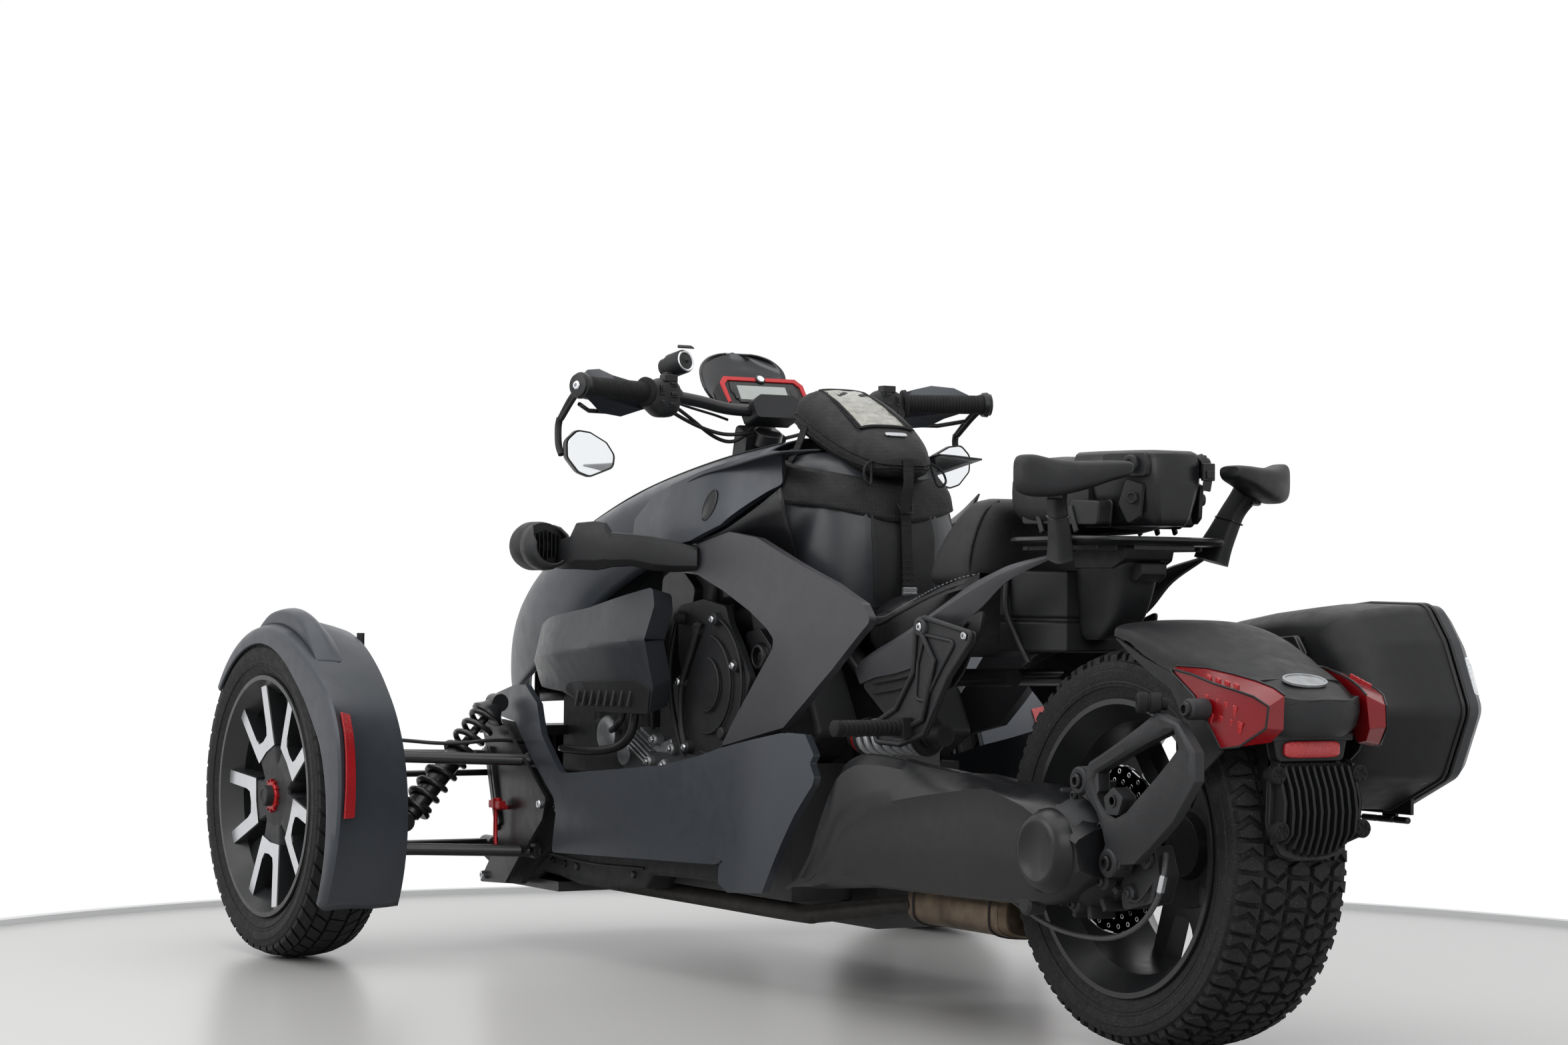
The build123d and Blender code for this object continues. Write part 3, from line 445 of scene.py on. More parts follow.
def turn_profile(bm, start, direction, profile, segments=32):
    """Adds a turned form: profile is (distance along, radius) in millimetres from start."""
    direction = Vector(direction).normalized()
    first, second = basis(direction)
    rings = []
    for distance, radius in profile:
        centre = Vector(start) + direction * distance
        if radius < 0.01:
            rings.append([bm.verts.new(at(*centre))])
            continue
        rings.append([bm.verts.new(at(*(centre + first * (radius * cos(tau * i / segments))
                                        + second * (radius * sin(tau * i / segments)))))
                      for i in range(segments)])
    for ring, following in zip(rings, rings[1:]):
        for i in range(segments):
            j = (i + 1) % segments
            if len(ring) == 1 and len(following) > 1:
                bm.faces.new((ring[0], following[j], following[i]))
            elif len(following) == 1 and len(ring) > 1:
                bm.faces.new((ring[i], ring[j], following[0]))
            elif len(ring) > 1:
                bm.faces.new((ring[i], ring[j], following[j], following[i]))
    for ring, back in ((rings[0], True), (rings[-1], False)):
        if len(ring) > 1:
            bm.faces.new(reversed(ring) if back else ring)


def bolt(bm, centre, direction, radius, height):
    """A button-head bolt with a socket in its face, standing on centre."""
    turn_profile(bm, centre, direction, [(0, radius), (height * 0.6, radius), (height, radius * 0.78),
                                         (height, radius * 0.45), (height * 0.3, radius * 0.42),
                                         (height * 0.3, 0)], 10)


def tilted(degrees):
    """A turn about the line across the machine."""
    return Matrix.Rotation(radians(degrees), 3, "X")


def box(bm, centre, size, turn=None):
    """A cuboid in millimetres, optionally turned by a 3x3 matrix about its centre."""
    matrix = (turn or Matrix.Identity(3)).to_4x4()
    for v in bmesh.ops.create_cube(bm, size=1)["verts"]:
        v.co = at(*(Vector(centre) + matrix @ Vector([v.co[i] * size[i] for i in range(3)])))


def tube(name, points, radius, body, slot, look, side=0):
    """A round hose or cable whose middle line follows the points."""
    if side:
        name = side_name(name, side)
    curve = bpy.data.curves.new(name, "CURVE")
    curve.dimensions = "3D"
    spline = curve.splines.new("NURBS")
    spline.points.add(len(points) - 1)
    for target, point in zip(spline.points, points):
        target.co = (*at(point[0] * (side or 1), point[1], point[2]), 1)
    spline.order_u = 3
    spline.use_endpoint_u = True
    spline.resolution_u = 10
    curve.bevel_depth = radius / 1000
    curve.bevel_resolution = 3
    curve.use_fill_caps = True
    obj = bpy.data.objects.new(name, curve)
    bpy.context.scene.collection.objects.link(obj)
    curve.materials.append(look)
    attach(obj, body)


def heading(points, i):
    """Unit direction of a line of points at one of them."""
    return (points[min(i + 1, len(points) - 1)] - points[max(i - 1, 0)]).normalized()


def sleeve(bm, rings):
    """Joins rings of vertices into a tube with closed ends."""
    for ring, following in zip(rings, rings[1:]):
        for k in range(len(ring)):
            n = (k + 1) % len(ring)
            bm.faces.new((ring[k], ring[n], following[n], following[k]))
    bm.faces.new(reversed(rings[0]))
    bm.faces.new(rings[-1])


def wire(bm, points, radius, sides=8):
    """Adds a tube along points in millimetres to a mesh, with closed ends."""
    points = [Vector(p) for p in points]
    rings = []
    up = Vector(UPWARDS)
    for i, point in enumerate(points):
        ahead = heading(points, i)
        across = ahead.cross(up)
        if across.length < 0.05:
            across = ahead.cross(Vector(ACROSS))
        across.normalize()
        up = across.cross(ahead)
        rings.append([bm.verts.new(at(*(point + across * (radius * cos(tau * k / sides))
                                        + up * (radius * sin(tau * k / sides)))))
                      for k in range(sides)])
    sleeve(bm, rings)


# ---- tyres --------------------------------------------------------------------------------


def polar(centre, radius, angle, x):
    """A place at x, at an angle round the axle through centre."""
    return (x, centre[1] + radius * cos(angle), centre[2] + radius * sin(angle))


def revolve_about_axle(bm, centre, section, steps):
    """Turns a closed (x, radius) section about the axle through centre."""
    rings = [[polar(centre, r, tau * i / steps, centre[0] + x) for x, r in section] for i in range(steps)]
    grid_faces(bm, rings, close_rows=True, close_columns=True)


def casing_height(x, half, radius, drop):
    """Radius of the tread surface at x across a tyre."""
    t = min(1, abs(x) / half)
    return radius - drop * t ** 2.6


def tyre(name, centre, radius, half, rim_half, body, node, depth, shoulder_drop, tread, hand=1):
    """A tyre casing with side-wall rings, and its tread blocks standing on the crown."""
    base = radius - depth
    seat = rim_half - 8
    crown = [(half * 0.86 * (1 - i / 6), casing_height(half * 0.86 * (1 - i / 6), half, base,
                                                       shoulder_drop)) for i in range(7)]
    wall = [(seat, RIM_R - 10), (seat + 2, RIM_R + 2), (half - 6, RIM_R + 14), (half - 2, RIM_R + 24),
            (half - 2.6, RIM_R + 26), (half - 0.5, RIM_R + 32), (half, RIM_R + 40),
            (half - 1.4, RIM_R + 42), (half - 1, base - 26), (half - 3, base - 17),
            (half * 0.93, base - shoulder_drop * 0.8 - 2)]
    right = wall + crown
    outline = right + [(-x, r) for x, r in reversed(right[:-1])]
    inner = [(-seat + 12, RIM_R - 8), (-half + 12, RIM_R + 30), (-half * 0.7, base - 22),
             (half * 0.7, base - 22), (half - 12, RIM_R + 30), (seat - 12, RIM_R - 8)]
    bm = bmesh.new()
    revolve_about_axle(bm, centre, outline + inner, 96)
    bmesh.ops.recalc_face_normals(bm, faces=bm.faces)
    for wall_hand in (1, -1):
        x = centre[0] + wall_hand * (half - 3.6)
        wire(bm, [polar(centre, RIM_R + 19, tau * i / 96, x) for i in range(97)], 1.4, 5)
    tread(bm, centre, radius, half, base, shoulder_drop, hand)
    piece(name, bm, body, "tyre", RUBBER, nodes=(node,), angle=28)


def tread_block(bm, centre, corners, radius, half, base, drop, taper=0.9):
    """A lug: corners are (angle in degrees, x) round its top, which follows the crown."""
    middle_angle = sum(a for a, _ in corners) / len(corners)
    middle_x = sum(x for _, x in corners) / len(corners)
    top, foot = [], []
    for angle, x in corners:
        crown = casing_height(x, half, radius, drop)
        for ring, r, grow in ((top, crown, taper), (foot, casing_height(x, half, base, drop) - 1.5, 1.0)):
            a = radians(middle_angle + (angle - middle_angle) * grow)
            px = middle_x + (x - middle_x) * grow
            ring.append(bm.verts.new(at(centre[0] + px, centre[1] + r * cos(a), centre[2] + r * sin(a))))
    bm.faces.new(top)
    for i in range(len(corners)):
        j = (i + 1) % len(corners)
        bm.faces.new((foot[i], foot[j], top[j], top[i]))


def all_terrain_tread(bm, centre, radius, half, base, drop, _hand):
    """Interlocking zigzag lugs in five rows, with open shoulder lugs."""
    pitches = 40
    step = 360 / pitches
    for p in range(pitches):
        start = p * step
        for row, (x0, x1, lag, share) in enumerate((
                (-0.93, -0.60, 0.0, 0.74), (-0.55, -0.22, 0.45, 0.80), (-0.17, 0.17, 0.1, 0.78),
                (0.22, 0.55, 0.65, 0.80), (0.60, 0.93, 0.3, 0.74))):
            a0 = start + lag * step
            a1 = a0 + step * share
            xm, lean = (x0 + x1) / 2 * half, step * (0.16 if row % 2 else -0.16)
            left, right = x0 * half, x1 * half
            notch = (a0 + a1) / 2
            half_one = [(a0 + lean, left), (a0 - lean, xm), (a0 + lean * 0.4, right),
                        (notch - 0.05 * step, right), (notch + lean * 0.5, xm), (notch - 0.12 * step, left)]
            half_two = [(notch + 0.06 * step, left), (notch + lean * 0.5 + 0.12 * step, xm),
                        (notch + 0.1 * step, right), (a1 + lean * 0.4, right), (a1 - lean, xm),
                        (a1 + lean, left)]
            for corners in (half_one, half_two):
                tread_block(bm, centre, corners, radius, half, base, drop)


def road_tread(bm, centre, radius, half, base, drop, hand):
    """Three plain ribs between grooves, and slanted shoulder blocks."""
    pitches = 54
    step = 360 / pitches
    for p in range(pitches):
        start = p * step
        for x0, x1, lean, gap in ((-0.20, 0.20, 0.2, 0.10), (0.27, 0.58, 0.5, 0.16),
                                  (-0.58, -0.27, -0.5, 0.16), (0.64, 0.93, 0.7, 0.2),
                                  (-0.93, -0.64, -0.7, 0.2)):
            a0, a1 = start + gap * step / 2, start + step * (1 - gap / 2)
            shift = lean * step * hand
            tread_block(bm, centre, [(a0, x0 * half), (a0 + shift, x1 * half), (a1 + shift, x1 * half),
                                     (a1, x0 * half)], radius, half, base, drop, 0.97)


for hand in (1, -1):
    tyre(side_name("front_tyre_dressed", hand), (hand * TRACK_X, FRONT_Y, FRONT_R), FRONT_R, 72.5, 65,
         front_body("wheel", hand), side_name("tyre_front", hand), 6, 16, road_tread, hand)
tyre("rear_tyre_dressed", (0, REAR_Y, REAR_R), REAR_R, 102.5, 97, "rear_wheel", "tyre_rear", 8, 17,
     all_terrain_tread)

# ---- wheels -------------------------------------------------------------------------------


def barrel(name, centre, half, body, nodes):
    """Rim barrel with flanges, bead seats and a dropped centre."""
    section = [(half, RIM_R), (half - 3, RIM_R + 1), (half - 7, RIM_R), (half - 9, RIM_R - 12),
               (half - 24, RIM_R - 14), (half - 34, RIM_R - 26), (34 - half, RIM_R - 26),
               (24 - half, RIM_R - 14), (9 - half, RIM_R - 12), (7 - half, RIM_R), (3 - half, RIM_R + 1),
               (-half, RIM_R), (-half, RIM_R - 8), (14 - half, RIM_R - 17), (36 - half, RIM_R - 33),
               (half - 36, RIM_R - 33), (half - 14, RIM_R - 17), (half, RIM_R - 8)]
    bm = bmesh.new()
    revolve_about_axle(bm, centre, section, 128)
    bmesh.ops.recalc_face_normals(bm, faces=bm.faces)
    piece(name, bm, body, "wheel_black", WHEEL_BLACK, nodes=nodes, angle=30)


SPOKES = 5
U_TURN = radians(26.7)
# Half of a U-shaped double spoke, and the hub's lobe behind it, as (along the spoke, across it).
SPOKE_HALF = ((82, 42), (100, 47), (RIM_R - 6, 76), (RIM_R - 6, 52), (122, 25), (110, 18), (107, 0),
              (86, 0))
HUB_LOBE = ((40, -30), (64, -35), (84, -38), (90, -20), (92, 0), (90, 20), (84, 38), (64, 35), (40, 30))


def spoke_set(name, centre, body, hand, face, machined):
    """Five U-shaped double spokes: each has two legs from the rim, joined by a web near the hub."""
    bm = bmesh.new()
    for spoke in range(SPOKES):
        base = tau * spoke / SPOKES - U_TURN
        for leg in (1, -1):
            rows = []
            for depth, inset in ((face, 1.6), (face - 2, 0.0), (face - 34, -2.0)):
                ring = []
                for u, v in SPOKE_HALF:
                    across = max(0, abs(v) - (inset if v > 30 else -inset)) if v else 0
                    dish = 9 * max(0, 1 - (u - 84) / 110)
                    ring.append(polar(centre, hypot(u, across), base + leg * atan2(across, u),
                                      centre[0] + hand * (depth - dish)))
                rows.append(ring)
            closed_form(bm, rows)
    bmesh.ops.recalc_face_normals(bm, faces=bm.faces)
    obj = piece(name, bm, body, "wheel_black", WHEEL_BLACK, angle=25)
    if machined:
        obj.data.materials.append(MACHINED)
        for face_of in obj.data.polygons:
            if face_of.normal.x * hand > 0.9:
                face_of.material_index = 1
    bm = bmesh.new()
    axis = Vector((hand, 0, 0))
    turn_profile(bm, Vector(centre) + axis * (face - 62), axis,
                 [(0, 46), (30, 56), (44, 62), (50, 60), (52, 48), (54, 34), (54, 0)], 64)
    for spoke in range(SPOKES):
        base = tau * spoke / SPOKES - U_TURN
        closed_form(bm, [[polar(centre, hypot(u, v * grow), base + atan2(v * grow, u),
                                centre[0] + hand * depth) for u, v in HUB_LOBE]
                         for depth, grow in ((face - 11, 0.93), (face - 14, 1.0), (face - 46, 1.04))])
    bmesh.ops.recalc_face_normals(bm, faces=bm.faces)
    piece(name.replace("spokes", "hub"), bm, body, "wheel_black", CAST_BLACK, bevel=1.5, angle=40)


def disc(name, centre, body, hand, offset, radius):
    """A drilled brake disc on its carrier."""
    bm = bmesh.new()
    axis = Vector((hand, 0, 0))
    start = Vector(centre) + axis * offset
    for k in range(36):
        a0, a1 = tau * k / 36, tau * (k + 1) / 36
        for side_x in (0, 5):
            ring = []
            for r in (radius - 44, radius - (1.5 if k % 2 else 4)):
                ring.append(polar(start, r, a0, start.x + hand * side_x))
                ring.append(polar(start, r, a1, start.x + hand * side_x))
            bm.faces.new([bm.verts.new(at(*ring[i])) for i in (0, 1, 3, 2)])
    turn_profile(bm, start, axis, [(0, radius - 2), (5, radius - 2)], 72)
    turn_profile(bm, start + axis * 4, axis, [(0, radius - 44), (4, radius - 46), (4, radius - 58)], 48)
    for k in range(30):
        for row in range(2):
            a = tau * (k + row / 2) / 30
            spot = polar(start, radius - 12 - 14 * row, a, start.x)
            turn_profile(bm, spot, axis, [(4.9, 4), (5.3, 3.6), (5.3, 2.8), (4.5, 2.4)], 8)
    bmesh.ops.remove_doubles(bm, verts=bm.verts, dist=1e-6)
    piece(name, bm, body, "castings", STEEL, angle=30)


def cap_set(name, centre, body, hand, face):
    """Centre cap on a red castellated nut, in a dark well, its face bare."""
    axis = Vector((hand, 0, 0))
    start = Vector(centre) + axis * face
    bm = bmesh.new()
    turn_profile(bm, start, axis, [(0, 26), (6, 26), (8, 24), (8, 16), (0, 15)], 48)
    for k in range(12):
        a = tau * k / 12
        box(bm, polar(start, 27, a, start.x + hand * 4), (8, 7, 3), Matrix.Rotation(a, 3, "X"))
    piece(name, bm, body, "wheel_black", RED, bevel=0.5)
    bm = bmesh.new()
    turn_profile(bm, start, axis, [(0, 19), (12, 19), (20, 17.5), (22, 15), (22, 12), (20.5, 11),
                                   (20.5, 0)], 48)
    piece(f"{name}_face", bm, body, "castings", CAST_BLACK, bevel=0.5)


for hand in (1, -1):
    body = front_body("wheel", hand)
    centre = (hand * TRACK_X, FRONT_Y, FRONT_R)
    barrel(side_name("front_rim_barrel", hand), centre, 65, body, (side_name("wheel_front", hand),))
    spoke_set(side_name("front_spokes", hand), centre, body, hand, 52, True)
    disc(side_name("front_disc", hand), centre, body, hand, -26, 135)
    cap_set(side_name("front_cap", hand), centre, body, hand, 42)
rear_centre = (0, REAR_Y, REAR_R)
barrel("rear_rim_barrel", rear_centre, 97, "rear_wheel", ("wheel_rear",))
spoke_set("rear_spokes", rear_centre, "rear_wheel", -1, 74, False)
disc("rear_disc", rear_centre, "rear_wheel", 1, 100, 125)
cap_set("rear_cap", rear_centre, "rear_wheel", -1, 64)

# ---- front fenders ------------------------------------------------------------------------


def table(value, rows):
    """Straight-line interpolation in rows of (value, result)."""
    for (v0, r0), (v1, r1) in zip(rows, rows[1:]):
        if value <= v1:
            t = max(0, (value - v0) / (v1 - v0))
            return r0 + (r1 - r0) * t
    return rows[-1][1]


def smooth_table(value, rows):
    """As table(), with a curve through the rows."""
    for k, ((v0, _), (v1, _)) in enumerate(zip(rows, rows[1:])):
        if value <= v1 or k == len(rows) - 2:
            places = (max(k - 1, 0), k, k + 1, min(k + 2, len(rows) - 1))
            return curve_between(*(rows[i][1] for i in places), min(1, max(0, (value - v0) / (v1 - v0))))


FENDER_START, FENDER_END = -47, 121
LIP = ((-47, 268), (0, 272), (36, 268), (50, 276), (60, 286), (71, 303), (89, 316), (121, 326))
CREST = ((-47, 290), (-25, 298), (0, 304), (20, 308), (36, 318), (50, 341), (62, 372), (71, 378),
         (89, 368), (121, 352))
HEM = ((-47, 298), (0, 302), (36, 305), (50, 310), (60, 318), (71, 326), (89, 334), (121, 345))
OUTER_X = TRACK_X + 72.5


def fender_ring(degrees_back):
    """Section of the fender at an angle back from the top: outer face, crease, crown and inner hem."""
    lip, hem = (smooth_table(degrees_back, rows) for rows in (LIP, HEM))
    crest = table(degrees_back, CREST)
    swell = max(0, 8 * cos(radians(degrees_back) * 0.9))
    return [(OUTER_X - 1, lip), (OUTER_X + 2.4, lip + 3), (OUTER_X + 2.4, (lip + crest) / 2),
            (OUTER_X - 0.5, crest - 5), (OUTER_X - 5, crest),
            (TRACK_X + 46, crest * 0.6 + hem * 0.4 + swell),
            (TRACK_X + 16, crest * 0.35 + hem * 0.65 + swell * 1.4), (TRACK_X - 20, hem + 6 + swell),
            (TRACK_X - 52, hem + 3 + swell * 0.4), (TRACK_X - 72, hem), (TRACK_X - 75, hem - 10)]


def fender_height(x, angle, first):
    """Radius of the fender's top at x, from its section's points first to 8."""
    return table(-x, sorted((-sx, sr) for sx, sr in fender_ring(angle)[first:9]))


def around_axle(radius, degrees_back):
    """y and z at an angle back from the top of the front wheel."""
    a = radians(degrees_back)
    return FRONT_Y + radius * sin(a), FRONT_R + radius * cos(a)


def front_fender(hand):
    """Creased fender that turns with its upright, with a raised scoop and a side reflector."""
    body = front_body("upright", hand)
    rows = []
    for step in range(57):
        angle = FENDER_START + (FENDER_END - FENDER_START) * step / 56
        rows.append([(x, *around_axle(r, angle)) for x, r in fender_ring(angle)])
    sheet("front_fender_shell", rows, body, "body_blue_grey", PAINT, side=hand, thick=3.2,
          nodes=(side_name("front_fender", hand),), angle=32)
    scoop = []
    for x, share, add in ((729, 0.0, -2), (728, 0.8, 0), (724, 1.0, 0), (712, 1.1, 0), (698, 1.05, 0),
                          (684, 0.6, 0), (668, 0.0, -2)):
        rail = []
        for angle, lift in ((-13, -1), (-9, 8), (-2, 19), (8, 25), (18, 26), (27, 20), (34, 10), (41, -1)):
            rail.append((x, *around_axle(fender_height(x, angle, 3) + lift * share + add, angle)))
        scoop.append(rail)
    skin("fender_scoop", scoop, body, "body_blue_grey", PAINT, across=19, along=30,
         thick=3, side=hand, angle=42)
    rows = []
    for step in range(13):
        angle = 64 + 29 * step / 12
        rows.append([(x, *around_axle(fender_height(x, angle, 4) + 2.2, angle))
                     for x in (741 - 6 * (1 - step / 12), 714 + 4 * step / 12)])
    sheet("fender_reflector", rows, body, "lens_red", RED_REFLEX, side=hand, thick=3.5, bevel=0.8)


for hand in (1, -1):
    front_fender(hand)


# ---- front suspension ---------------------------------------------------------------------

SQUEEZE = 0.06


def helix(start, end, radius, turns):
    """Points of a spring's wire from start to end, closed up at its ends."""
    start, end = Vector(start), Vector(end)
    run = end - start
    first, second = basis(run)
    count = int(turns * 20)
    points = []
    for i in range(count + 1):
        t = i / count
        angle = tau * turns * t
        along = SQUEEZE * t + (1 - SQUEEZE) * (t - sin(tau * t) * 0.02)
        points.append(start + run * along + (first * cos(angle) + second * sin(angle)) * radius)
    return points


def coil_over(name, low, high, look, slot, nodes, turns, radius, wire_r, collar=None, hand=1):
    """A damper body and rod, spring seats, threaded collar and a free-standing coil."""
    low, high = Vector(low), Vector(high)
    run = (high - low).normalized()
    length = (high - low).length
    bm = bmesh.new()
    turn_profile(bm, low, run, [(-8, 10), (-8, 15), (18, 16), (20, 20), (length * 0.62, 20),
                                (length * 0.64, 17), (length * 0.64, 8), (length, 8)], 28)
    turn_profile(bm, low + run * 30, run, [(0, radius - 1), (3, radius + 2), (8, radius + 2), (10, 21)], 36)
    turn_profile(bm, high - run * 36, run, [(0, 12), (2, radius + 1), (8, radius + 2), (20, 22), (34, 14)],
                 36)
    for eye in (low, high):
        turn_profile(bm, eye - Vector((0, 16, 0)), REARWARDS, [(0, 8), (0, 17), (32, 17), (32, 8)], 24)
    piece(f"{name}_damper", bm, "root", slot, FRAME_BLACK if look is SPRING_BLACK else CAST_BLACK,
          hand=hand, bevel=0.8, nodes=nodes)
    bm = bmesh.new()
    wire(bm, helix(low + run * 42, high - run * 36, radius - wire_r, turns), wire_r, 8)
    piece(f"{name}_coil", bm, "root", slot, look, hand=hand, angle=60)
    if collar:
        bm = bmesh.new()
        turn_profile(bm, high - run * 26, run, [(0, radius - 6), (2, radius - 3), (13, radius - 3),
                                                (15, 16)], 24)
        piece(f"{name}_collar", bm, "root", slot, collar, hand=hand, bevel=0.8)


for hand in (1, -1):
    coil_over(side_name("front_shock", hand), (466, FRONT_Y - 4, 236), (278, FRONT_Y - 4, 455),
              SPRING_BLACK, "spring_black", ("front_shocks",), 8, 31, 5.5, hand=hand)
coil_over("rear_shock_unit", (100, 384, 440), (100, 146, 428), SPRING_GREY, "spring_grey", ("rear_shock",),
          6.5, 31, 5.5, collar=RED)


def suspension_side(hand):
    """Clamps, bushes, hoses and the tow hook between the hull and the upright."""
    bm = bmesh.new()
    for y in (-935, -745):
        for z in (185, 352):
            turn_profile(bm, (250, y - 24, z), REARWARDS,
                         [(0, 8), (0, 13), (4, 15), (44, 15), (48, 13), (48, 8)], 20)
            for way in (1, -1):
                bolt(bm, (250, y + way * 24, z), (0, way, 0), 8, 6)
    for z in (180, 372):
        turn_profile(bm, (605, FRONT_Y, z), UPWARDS, [(0, 12), (2, 15), (10, 15), (12, 11), (18, 9)], 20)
    piece("arm_bushes", bm, "root", "frame_black", CAST_BLACK, side=hand, bevel=0.8)
    bm = bmesh.new()
    wire(bm, [(300, -812, 274), (300, -812, 200), (300, -806, 188), (300, -792, 188)], 4.5, 8)
    box(bm, (300, -806, 268), (14, 46, 14))
    turn_profile(bm, (300, -806, 258), UPWARDS, [(0, 9), (22, 9)], 16)
    box(bm, (276, -806, 262), (50, 12, 8))
    piece("tow_hook", bm, "root", "trim_black", RED, side=hand, bevel=1.5)
    tube("brake_hose_front", [(236, -800, 380), (300, -780, 392), (400, -790, 380), (500, -830, 390),
                                               (560, -850, 392), (596, -826, 372)],
         3.6, *HOSES, side=hand)


for hand in (1, -1):
    suspension_side(hand)


# ---- body panels --------------------------------------------------------------------------

HOOD = ((-96, 158, 880, 932, 800), (-240, 176, 858, 918, 762), (-384, 194, 826, 897, 720),
        (-510, 220, 786, 870, 664), (-620, 238, 738, 840, 600), (-740, 238, 690, 803, 548),
        (-850, 226, 640, 755, 500), (-940, 204, 596, 706, 470), (-1010, 175, 552, 654, 452),
        (-1056, 138, 522, 606, 448), (-1084, 98, 500, 560, 458))


def hood_row(y, half, shoulder, crown, foot):
    """Section of the hood: side wall, soft shoulder, a ridge each side and a flat-topped crown."""
    rise = crown - shoulder
    left = [(half * 0.96, foot), (half, foot * 0.6 + shoulder * 0.4), (half, shoulder * 0.9 + foot * 0.1),
            (half * 0.95, shoulder + rise * 0.26), (half * 0.82, shoulder + rise * 0.56),
            (half * 0.64, shoulder + rise * 0.79), (half * 0.45, shoulder + rise * 0.93),
            (half * 0.40, shoulder + rise * 0.945), (half * 0.2, shoulder + rise * 0.985)]
    row = left + [(0, crown)] + [(-x, z) for x, z in reversed(left)]
    return [(x, y, z) for x, z in row]


def hood():
    """Hood shell, the seam each side of its crown, and the nose's grille bars over a dark mesh."""
    rows = [hood_row(*station) for station in HOOD]
    rails = [[row[k] for row in rows] for k in range(len(rows[0]))]
    curves = [curve_through(rail, 48) for rail in rails]
    rows = [curve_through([curve[i] for curve in curves], 57) for i in range(48)]
    sheet("hood_shell", rows, *BODYWORK, nodes=("nose_hood",), thick=3.5, angle=50)
    for hand in (1, -1):
        bm = bmesh.new()
        line = [(half * 0.70, y, shoulder + (crown - shoulder) * 0.735 + 1.2)
                for y, half, shoulder, crown, _ in HOOD[:10]]
        wire(bm, curve_through(line, 50), 1.5, 6)
        piece("hood_seam", bm, *TRIM_SMOOTH, side=hand)
    bm = bmesh.new()
    for k in range(5):
        z = 470 + 15 * k
        wide = 96 + 12 * k
        points = [(x * wide / 100, -1074 + abs(x) ** 2 * 0.0042 + k * 2, z) for x in range(-90, 91, 15)]
        wire(bm, points, 3.2, 6)
    piece("nose_grille", bm, *TRIM)
    bm = bmesh.new()
    rows = [[(x, -1050 + abs(x) ** 2 * 0.004, z) for x in range(-150, 151, 25)] for z in (452, 470, 552)]
    grid_faces(bm, rows)
    piece("nose_mesh", bm, *TRIM_SMOOTH, thick=2)


hood()


def cowl_x(y, z):
    """The cowl side leans in towards its top and curves in at both ends."""
    lean = 226 - max(0, z - 790) * 0.20
    return lean - max(0, -300 - y) * 0.09 - max(0, y + 190) ** 2 * 0.0019


def arch_x(y, z):
    """The arch panel curves in at both ends and leans in above its middle."""
    return 221 - max(0, -180 - y) ** 2 * 0.0013 - max(0, y - 60) ** 2 * 0.00036 - max(0, z - 600) * 0.05


def sill_x(y, z):
    """The sill is full at its middle height and hollows in the waist above the step."""
    fullness = 1 - ((z - 290) / 190) ** 2
    end = max(0, y - 20) ** 2 * 0.0007
    nose = max(0, -620 - y) ** 2 * 0.00028
    return 262 + 12 * max(-0.6, fullness) - end - nose


def pod_x(y, z):
    """The side pod is folded along a line that rises towards its rear."""
    across = 304 - max(0, -560 - y) ** 2 * 0.0013 - max(0, y + 400) ** 2 * 0.00065
    fold = z - (560 + (y + 480) * 0.10)
    return across - (max(0, fold) * 0.24 + max(0, -fold) * 0.30)


COWL = ((-446, 764), (-436, 795), (-376, 832), (-309, 849), (-201, 872), (-130, 884), (-66, 897),
        (-41, 903), (-28, 902), (-16, 846), (-38, 834), (-83, 804), (-121, 778), (-152, 768), (-210, 752),
        (-289, 742), (-420, 745))
ARCH = ((-270, 728), (-256, 738), (-98, 766), (-4, 755), (123, 714), (231, 680), (304, 648), (326, 620),
        (286, 585), (234, 540), (162, 486), (101, 443), (0, 424), (-105, 404), (-78, 432), (-55, 456),
        (15, 524), (64, 571), (67, 588), (42, 606), (-16, 633), (-103, 665), (-201, 694), (-317, 700))
SILL = ((-637, 190), (-312, 202), (-31, 212), (3, 224), (-42, 228), (-52, 246), (-26, 257), (38, 264),
        (76, 320), (168, 436), (154, 437), (-18, 406), (-98, 388), (-217, 368), (-430, 349), (-590, 336),
        (-606, 340), (-687, 402), (-722, 458), (-789, 490), (-845, 489), (-992, 464), (-1044, 448),
        (-1050, 418), (-960, 432), (-820, 420), (-626, 290), (-616, 262))
SILL_TAIL = ((166, 438), (209, 437), (231, 405), (224, 391), (235, 370), (232, 356), (195, 306), (114, 176),
             (11, 169), (-20, 182), (-14, 212), (3, 221), (-44, 225), (-56, 246), (-28, 260), (34, 268),
             (72, 323))
POD = ((-704, 490), (-712, 601), (-642, 616), (-471, 635), (-262, 672), (-246, 640), (-256, 560),
       (-262, 500), (-292, 452), (-470, 452), (-515, 466), (-576, 484))
POD_SCOOP = ((-560, 486), (-515, 468), (-470, 453), (-292, 453), (-268, 496), (-300, 512), (-440, 505),
             (-540, 500))
PLATE = ((-917, 423), (-826, 417), (-804, 410), (-632, 288), (-622, 268), (-650, 211), (-726, 168),
         (-803, 119), (-920, 113), (-899, 136), (-834, 186), (-806, 232), (-843, 240), (-906, 390))


